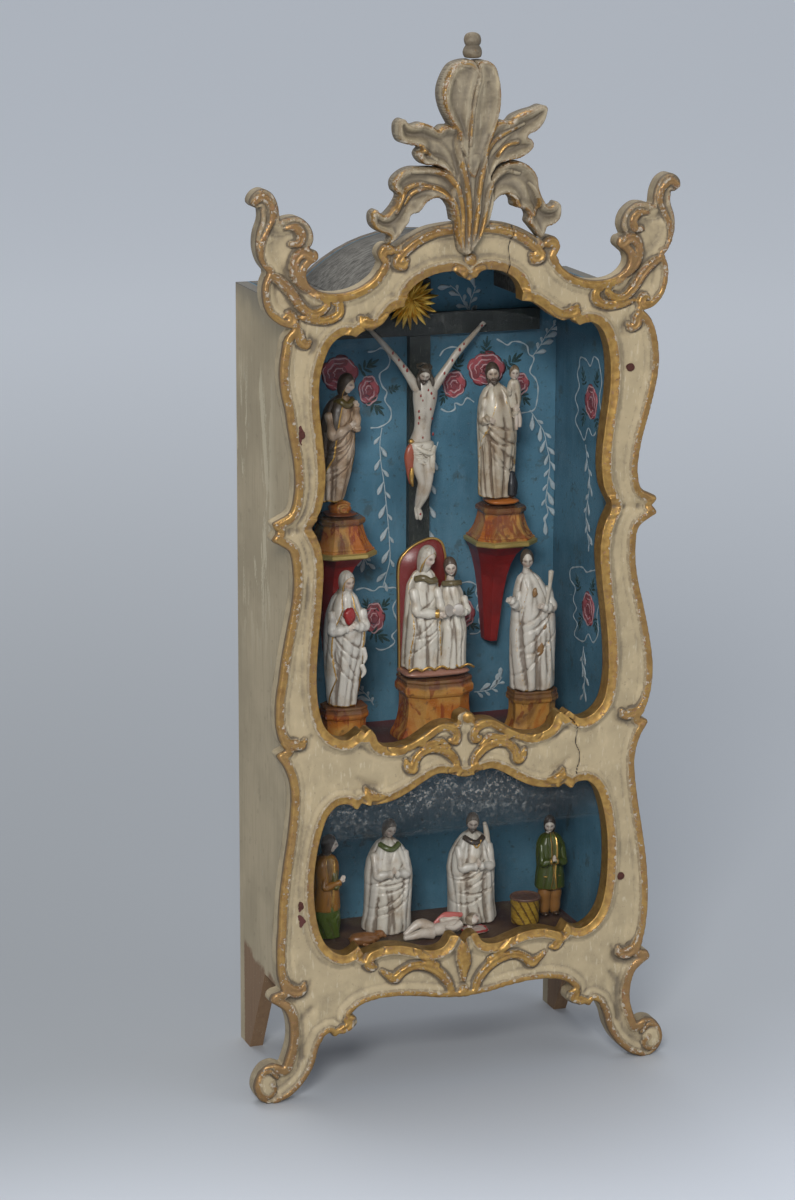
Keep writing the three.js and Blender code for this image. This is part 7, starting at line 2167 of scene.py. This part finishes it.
# %% Mother and father
kneeling = [
    ("figure_mother", "kneeling_mother", "long", (0.085, 0.105, 0.030), 1.7, 0.15, None),
    ("figure_father", "kneeling_father", "short", (0.060, 0.045, 0.035), 3.9, -0.25, (0.10, 0.08, 0.065)),
]
for node, name, hood, collar_paint, seed, yaw, beard in kneeling:
    foot, tall = middle_of(node)
    shells = Shells()
    flip = 1 if node == "figure_mother" else -1
    sections = [(0, 12.4, 11.6, -0.6 * flip, 0), (0.05, 12.8, 11.8, -0.6 * flip, 0),
        (0.2, 12.0, 10.8, 0, 0), (0.4, 12.2, 10.4, 0.4 * flip, 0), (0.6, 12.6, 9.8, 0.6 * flip, 0),
        (0.75, 11.2, 8.2, 0.4 * flip, 0), (0.87, 8.0, 6.2, 0.2, 0), (0.95, 4.4, 3.8, 0, 0),
        (1, 2.2, 2.2, 0, 0)]
    opening = points_of("0 .9 .55, .25 .95 .5, .5 .75 .6, .75 .5 .5, 1 .7 .7")
    shells.add(*robe(foot, tall * 0.80, sections, folds=15, depth=1.0, twist=0.10, seed=seed,
        mantle=opening, gown=(0.63, 0.585, 0.50), cloak=veil_white, trim=0.25, hem=0.8, swag=0.9))
    neck = at(0, -1.4, 0.80)
    head(shells, neck + (0.4 * flip, -1.2, 5.6), 0.98, yaw, 0.30, 0.06, hood, (0.16, 0.13, 0.10),
        beard=beard, skin=(0.54, 0.46, 0.38))
    wrap = smooth([neck + (-6.2, -2.0, -3.0), neck + (-2.8, -5.6, -5.0), neck + (1.0, -6.2, -5.6),
        neck + (5.6, -3.4, -3.4)], 18)
    shells.add(strand(wrap, 1.7, 0.65, (0, -1, 0.4), 12), collar_paint, 0.18, 0.2)
    for side in (-1, 1):
        arm(shells, at(side * 9.2, -3.0, 0.68), at(side * 9.4, -8.4, 0.51), at(side * 1.3, -12.2, 0.525),
            2.7, 2.7, veil_white, creases=2)
        hand(shells, at(side * 0.7, -12.4, 0.53), (-side * 0.12, -0.2, 1), 1.0, flesh, (side, 0, 0))
    if flip < 0:
        shells.limb([neck + (-3.0, -6.2, -4.4), neck + (0.0, -7.4, -8.6), neck + (3.2, -6.2, -4.2)], 0.5,
            0.8, warm_gold, 16, 8, 0.1, 0.9)
        shells.limb([at(8.4, -3.6, 0.66), at(8.4, -2.6, 0.77), at(7.4, -1.6, 0.86)], [2.4, 1.2], 0.8,
            (0.56, 0.50, 0.41), 14, 10, 0.3, 0.2)
    shells.piece(name, stone_finish, slot="painted_stone", stands_for=[node])

# %% The man at the left and the man at the right
ochre, leaf_green, breeches = (0.27, 0.115, 0.014), (0.048, 0.066, 0.010), (0.062, 0.096, 0.010)
foot, tall = middle_of("figure_kneeling_left")
shells = Shells()
sections = points_of("""
0 5.2 5.6 1.8 0, .25 6.2 6.2 1 0, .6 7.2 6.8 0 0, .9 6.8 6.4 -.4 0, 1 5 5 -.4 0""")
shells.add(*robe(foot, tall * 0.34, sections, folds=7, depth=1.3, twist=0.3, seed=0.4, gown=breeches,
    hem=0.4, rows=60, across=80))
sections = points_of("""
0 7.4 6.8 0 0, .3 6.8 6.2 .2 0, .45 6 5.4 .2 0, .65 6.8 5.8 0 0, .82 6.4 5.2 0 0, .93 4.2 3.6 .4 0,
1 2 2 .8 0""")
opening = points_of("0 -.2 .35, .5 -.1 .3, .8 .1 .5, 1 .3 .9")
shells.add(*robe(at(-0.4, 0, 0.27), tall * 0.55, sections, folds=9, depth=0.6, twist=0.2, seed=2.5,
    mantle=opening, gown=(0.30, 0.16, 0.03), cloak=ochre, trim=0.8, hem=0.5, rows=80, across=90))
neck = at(1.0, -1.0, 0.82)
head(shells, neck + (1.0, -0.4, 6.0), 0.95, 1.25, 0.10, 0.0, "long", dark_hair, skin=(0.60, 0.55, 0.48))
for side in (-1, 1):
    arm(shells, at(1.4 + side * 2.6, -3.4, 0.68), at(0.4 + side * 3.2, -7.0, 0.52),
        at(6.6, -6.6 + side * 0.9, 0.56), 2.2, 2.0, (0.10, 0.085, 0.016) if side > 0 else ochre, creases=2)
hand(shells, at(6.8, -6.6, 0.56), (0.55, -0.1, 0.8), 1.05, flesh, (0, -1, 0))
shells.piece("kneeling_man", bright_finish, slot="coloured_stone", stands_for=["figure_kneeling_left"])

foot, tall = middle_of("figure_shepherd")
shells = Shells()
for side in (-1, 1):
    leg = smooth([at(side * 2.9, 0, 0.36), at(side * 3.2, -0.4, 0.20), foot + (side * 3.2, -0.2, 1.2)], 20)
    shells.add(strand(leg, np.interp(np.linspace(0, 1, 20), [0, 0.35, 0.7, 1], [3.9, 4.1, 3.6, 2.8])
        + 0.22 * np.sin(np.linspace(0, 17, 20)), 1, (0, -1, 0), 20), (0.27, 0.125, 0.035), 0.1, 0.3)
    shells.add(lump(foot + (side * 3.4, -1.6, 1.3), (2.3, 3.6, 1.4), 18, 12), (0.06, 0.035, 0.02), 0, 0.2)
sections = points_of("""
0 7.6 6.2 0 0, .2 7.2 6 0 0, .38 6.3 5.2 0 0, .6 7 5.6 0 0, .8 6.8 5.2 0 0, .92 4.6 3.8 0 0,
1 2 2 0 0""")
opening = points_of("0 .1 .14, .5 .03 .07, .8 .1 .16, 1 .35 .4")
shells.add(*robe(at(0, 0, 0.28), tall * 0.56, sections, folds=10, depth=0.7, twist=0.12, seed=1.9,
    mantle=opening, gown=(0.11, 0.13, 0.028), cloak=leaf_green, trim=1.0, hem=0.5, rows=90, across=110))
neck = at(-0.6, -1.0, 0.84)
head(shells, neck + (-0.6, -0.8, 5.4), 0.90, -0.35, 0.25, 0.0, "long", dark_hair, skin=(0.60, 0.55, 0.48),
    neck=2)
for side in (-1, 1):
    arm(shells, at(side * 6.0, -1.6, 0.74), at(side * 6.8, -5.6, 0.56), at(side * 1.2 - 0.8, -8.6, 0.58),
        2.3, 2.1, leaf_green, creases=2, trim=0.7)
    hand(shells, at(side * 0.6 - 0.8, -8.8, 0.585), (-side * 0.12, -0.2, 1), 0.9, flesh, (side, 0, 0))
    shells.limb([at(side * 2.6, -6.3, 0.42), at(side * 4.6, -5.9, 0.415), at(side * 6.4, -4.4, 0.42)], 0.4,
        0.8, (0.45, 0.20, 0.05), 10, 7, 0.1, 0.8)
shells.piece("man_in_green_coat", bright_finish, slot="coloured_stone", stands_for=["figure_shepherd"])

# %% Infant, pillow, basket, animal and mound
low, high = box_mm("infant")
shells = Shells()
middle = (low + high) / 2
span = high[0] - low[0]


def lying(share, dy, dz):
    return (low[0] + span * share, middle[1] + dy, low[2] + dz)


baby = (0.60, 0.53, 0.45)
shells.limb([lying(0.36, 0, 3.0), lying(0.48, 0, 3.9), lying(0.60, 0, 4.6), lying(0.74, 0, 5.4)],
    [3.6, 4.2, 3.9, 4.4, 3.0], 0.9, baby, 24, 20, 0.25, hint=(0, 0, 1), at=[0, 0.3, 0.6, 0.85, 1])
for points, radius in (([lying(0.40, 1.6, 3.6), lying(0.26, 2.2, 7.6), lying(0.16, 1.8, 6.0),
        lying(0.05, 1.2, 2.2)], [3.6, 3.5, 2.9, 2.5, 1.9, 1.5]),
        ([lying(0.38, -1.8, 2.6), lying(0.24, -2.4, 3.2), lying(0.12, -2.2, 2.0), lying(0.02, -2.2, 1.4)],
        [3.6, 3.3, 2.7, 2.4, 1.8, 1.5]),
        ([lying(0.72, -2.2, 6.8), lying(0.62, -4.2, 5.2), lying(0.52, -4.0, 6.4)], [2.3, 2.1, 1.8, 1.5]),
        ([lying(0.72, 2.2, 7.2), lying(0.60, 3.6, 8.0), lying(0.50, 1.6, 8.4)], [2.3, 2.1, 1.8, 1.4])):
    shells.limb(points, radius, 1, baby, 22, 14, 0.25, hint=(0, 0, 1))
head(shells, lying(0.885, -0.6, 8.0), 0.84, 0.35, -0.75, 1.05, "short", (0.42, 0.35, 0.26), skin=baby,
    neck=0.5)
shells.limb([lying(0.44, 3.2, 6.0), lying(0.58, 3.6, 9.6), lying(0.78, 3.0, 10.2)], [1.6, 3.0, 1.2], 0.35,
    (0.50, 0.13, 0.11), 16, 14, 0.2, 0.1, hint=(0, -1, 0.3))
shells.piece("lying_infant", stone_finish, slot="painted_stone", stands_for=["infant"])

low, high = box_mm("pillow")
shells = Shells()
shells.add(lump((low + high) / 2, (high - low) / 2, 40, 20, 3.4, 0.10), (0.50, 0.40, 0.36), 0, 0.2)
a = np.linspace(0, 2 * np.pi, 60)
middle, span = (low + high) / 2, (high - low) * 0.46
across, along = (np.sign(v) * np.abs(v) ** 0.6 for v in (np.cos(a), np.sin(a)))
rim = np.stack([middle[0] + span[0] * across, middle[1] + span[1] * along, middle[2] + 0.4
    + 0.2 * np.sin(9 * a)], -1)
shells.add(strand(rim, 0.75, 1, (0, 0, 1), 8), (0.36, 0.045, 0.045), 0, 0.1)
shells.piece("red_edged_pillow", stone_finish, slot="painted_stone", stands_for=["pillow"])

low, high = box_mm("basket")
straw = Finish("yellow_straw_paint")
fine = straw.noise(1.0, 4)
weave = straw.noise(2.4, 4, (0.6, 0.6, 1.5))
tone = straw.mix(straw.step(weave, 0.4, 0.6), (0.42, 0.27, 0.035), (0.30, 0.175, 0.02))
slant = straw.axis("X") * 1.5 + straw.axis("Z") * 0.8 + (fine - 0.5) * 2.5
stripe = straw.step(straw.node("Math", {"operation": "SINE"}, {0: slant}), 0.62, 0.82)
tone = straw.mix(stripe * 0.85, tone, (0.075, 0.032, 0.012))
tone = straw.mix(straw.step(straw.axis("Z"), high[2] - 1.9, high[2] - 1.3) * 0.9, tone, (0.11, 0.055, 0.05))
straw_finish = straw.shader(tone, 0.42, 0, weave, 0.3)
half = (high[0] - low[0]) / 2
tall = high[2] - low[2]
profile = spline([(0, 0), (half * 0.80, 0.0), (half * 0.88, 0.5), (half * 0.90, tall * 0.3),
    (half * 0.92, tall * 0.6), (half * 0.97, tall * 0.88), (half, tall * 0.93), (half * 0.98, tall * 0.99),
    (half * 0.9, tall), (half * 0.84, tall * 0.96), (half * 0.4, tall * 0.93), (0, tall * 0.95)], 0.5)
profile[[0, -1], 0] = 0
points, faces = turned([(r, low[2] + h) for r, h in profile],
    ((low[0] + high[0]) / 2, (low[1] + high[1]) / 2), 48)
piece("yellow_basket", points, faces, straw_finish, slot="yellow_stone", stands_for=["basket"])

low, high = box_mm("resting_lamb")
middle, half = (low + high) / 2, (high - low) / 2
shells = Shells()
fleece = (0.24, 0.105, 0.035)
shells.add(lump(middle - (1.2, 0, 0.6), half * (0.80, 0.92, 0.86), 50, 30, 2.2, 0.13), fleece, 0.25, 0.4)
shells.add(lump(middle + (half[0] * 0.68, -0.6, 1.2), (3.4, 2.6, 2.7), 28, 20, 2, 0.06), fleece, 0.2, 0.3)
shells.limb([middle + (half[0] * 0.72, -1.0, 1.4), middle + (half[0] * 0.9, -1.4, 0.6),
    middle + (half[0] * 0.99, -1.6, -0.2)], [1.9, 1.0], 0.9, fleece, 8, 12, 0.3, 0.1, hint=(0, 0, 1))
for side in (-1, 1):
    shells.limb([middle + (half[0] * 0.55, side * 1.8 - 0.6, 3.0), middle + (half[0] * 0.5, side * 3.2
        - 0.6, 2.4)], [0.9, 0.4], 0.5, fleece, 6, 8, 0.3, 0.1, hint=(0, 0, 1))
    shells.limb([middle + (3 * side, -half[1] * 0.7, -half[2] * 0.6),
        middle + (3 * side + 4.5, -half[1] * 0.85, -half[2] * 0.8)], [1.3, 0.8], 0.9, fleece, 8, 10, 0.3,
        0.1, hint=(0, 0, 1))
shells.piece("resting_animal", stone_finish, slot="coloured_stone", stands_for=["resting_lamb"])

earth = Finish("brown_mound_paint")
fine, broad = earth.noise(1.6, 5), earth.noise(17, 4)
tone = earth.mix(earth.step(broad, 0.35, 0.65), (0.055, 0.028, 0.024), (0.105, 0.060, 0.035))
tone = earth.mix(earth.step(earth.noise(24, 4), 0.5, 0.66) * 0.7, tone, (0.13, 0.095, 0.045))
tone = earth.mix(earth.step(fine, 0.62, 0.72) * 0.4, tone, (0.24, 0.19, 0.15))
dress("ground_mound", earth.shader(tone, 0.55, 0, fine * 0.6 + broad * 0.4, 0.5))
print("lower niche furnished")
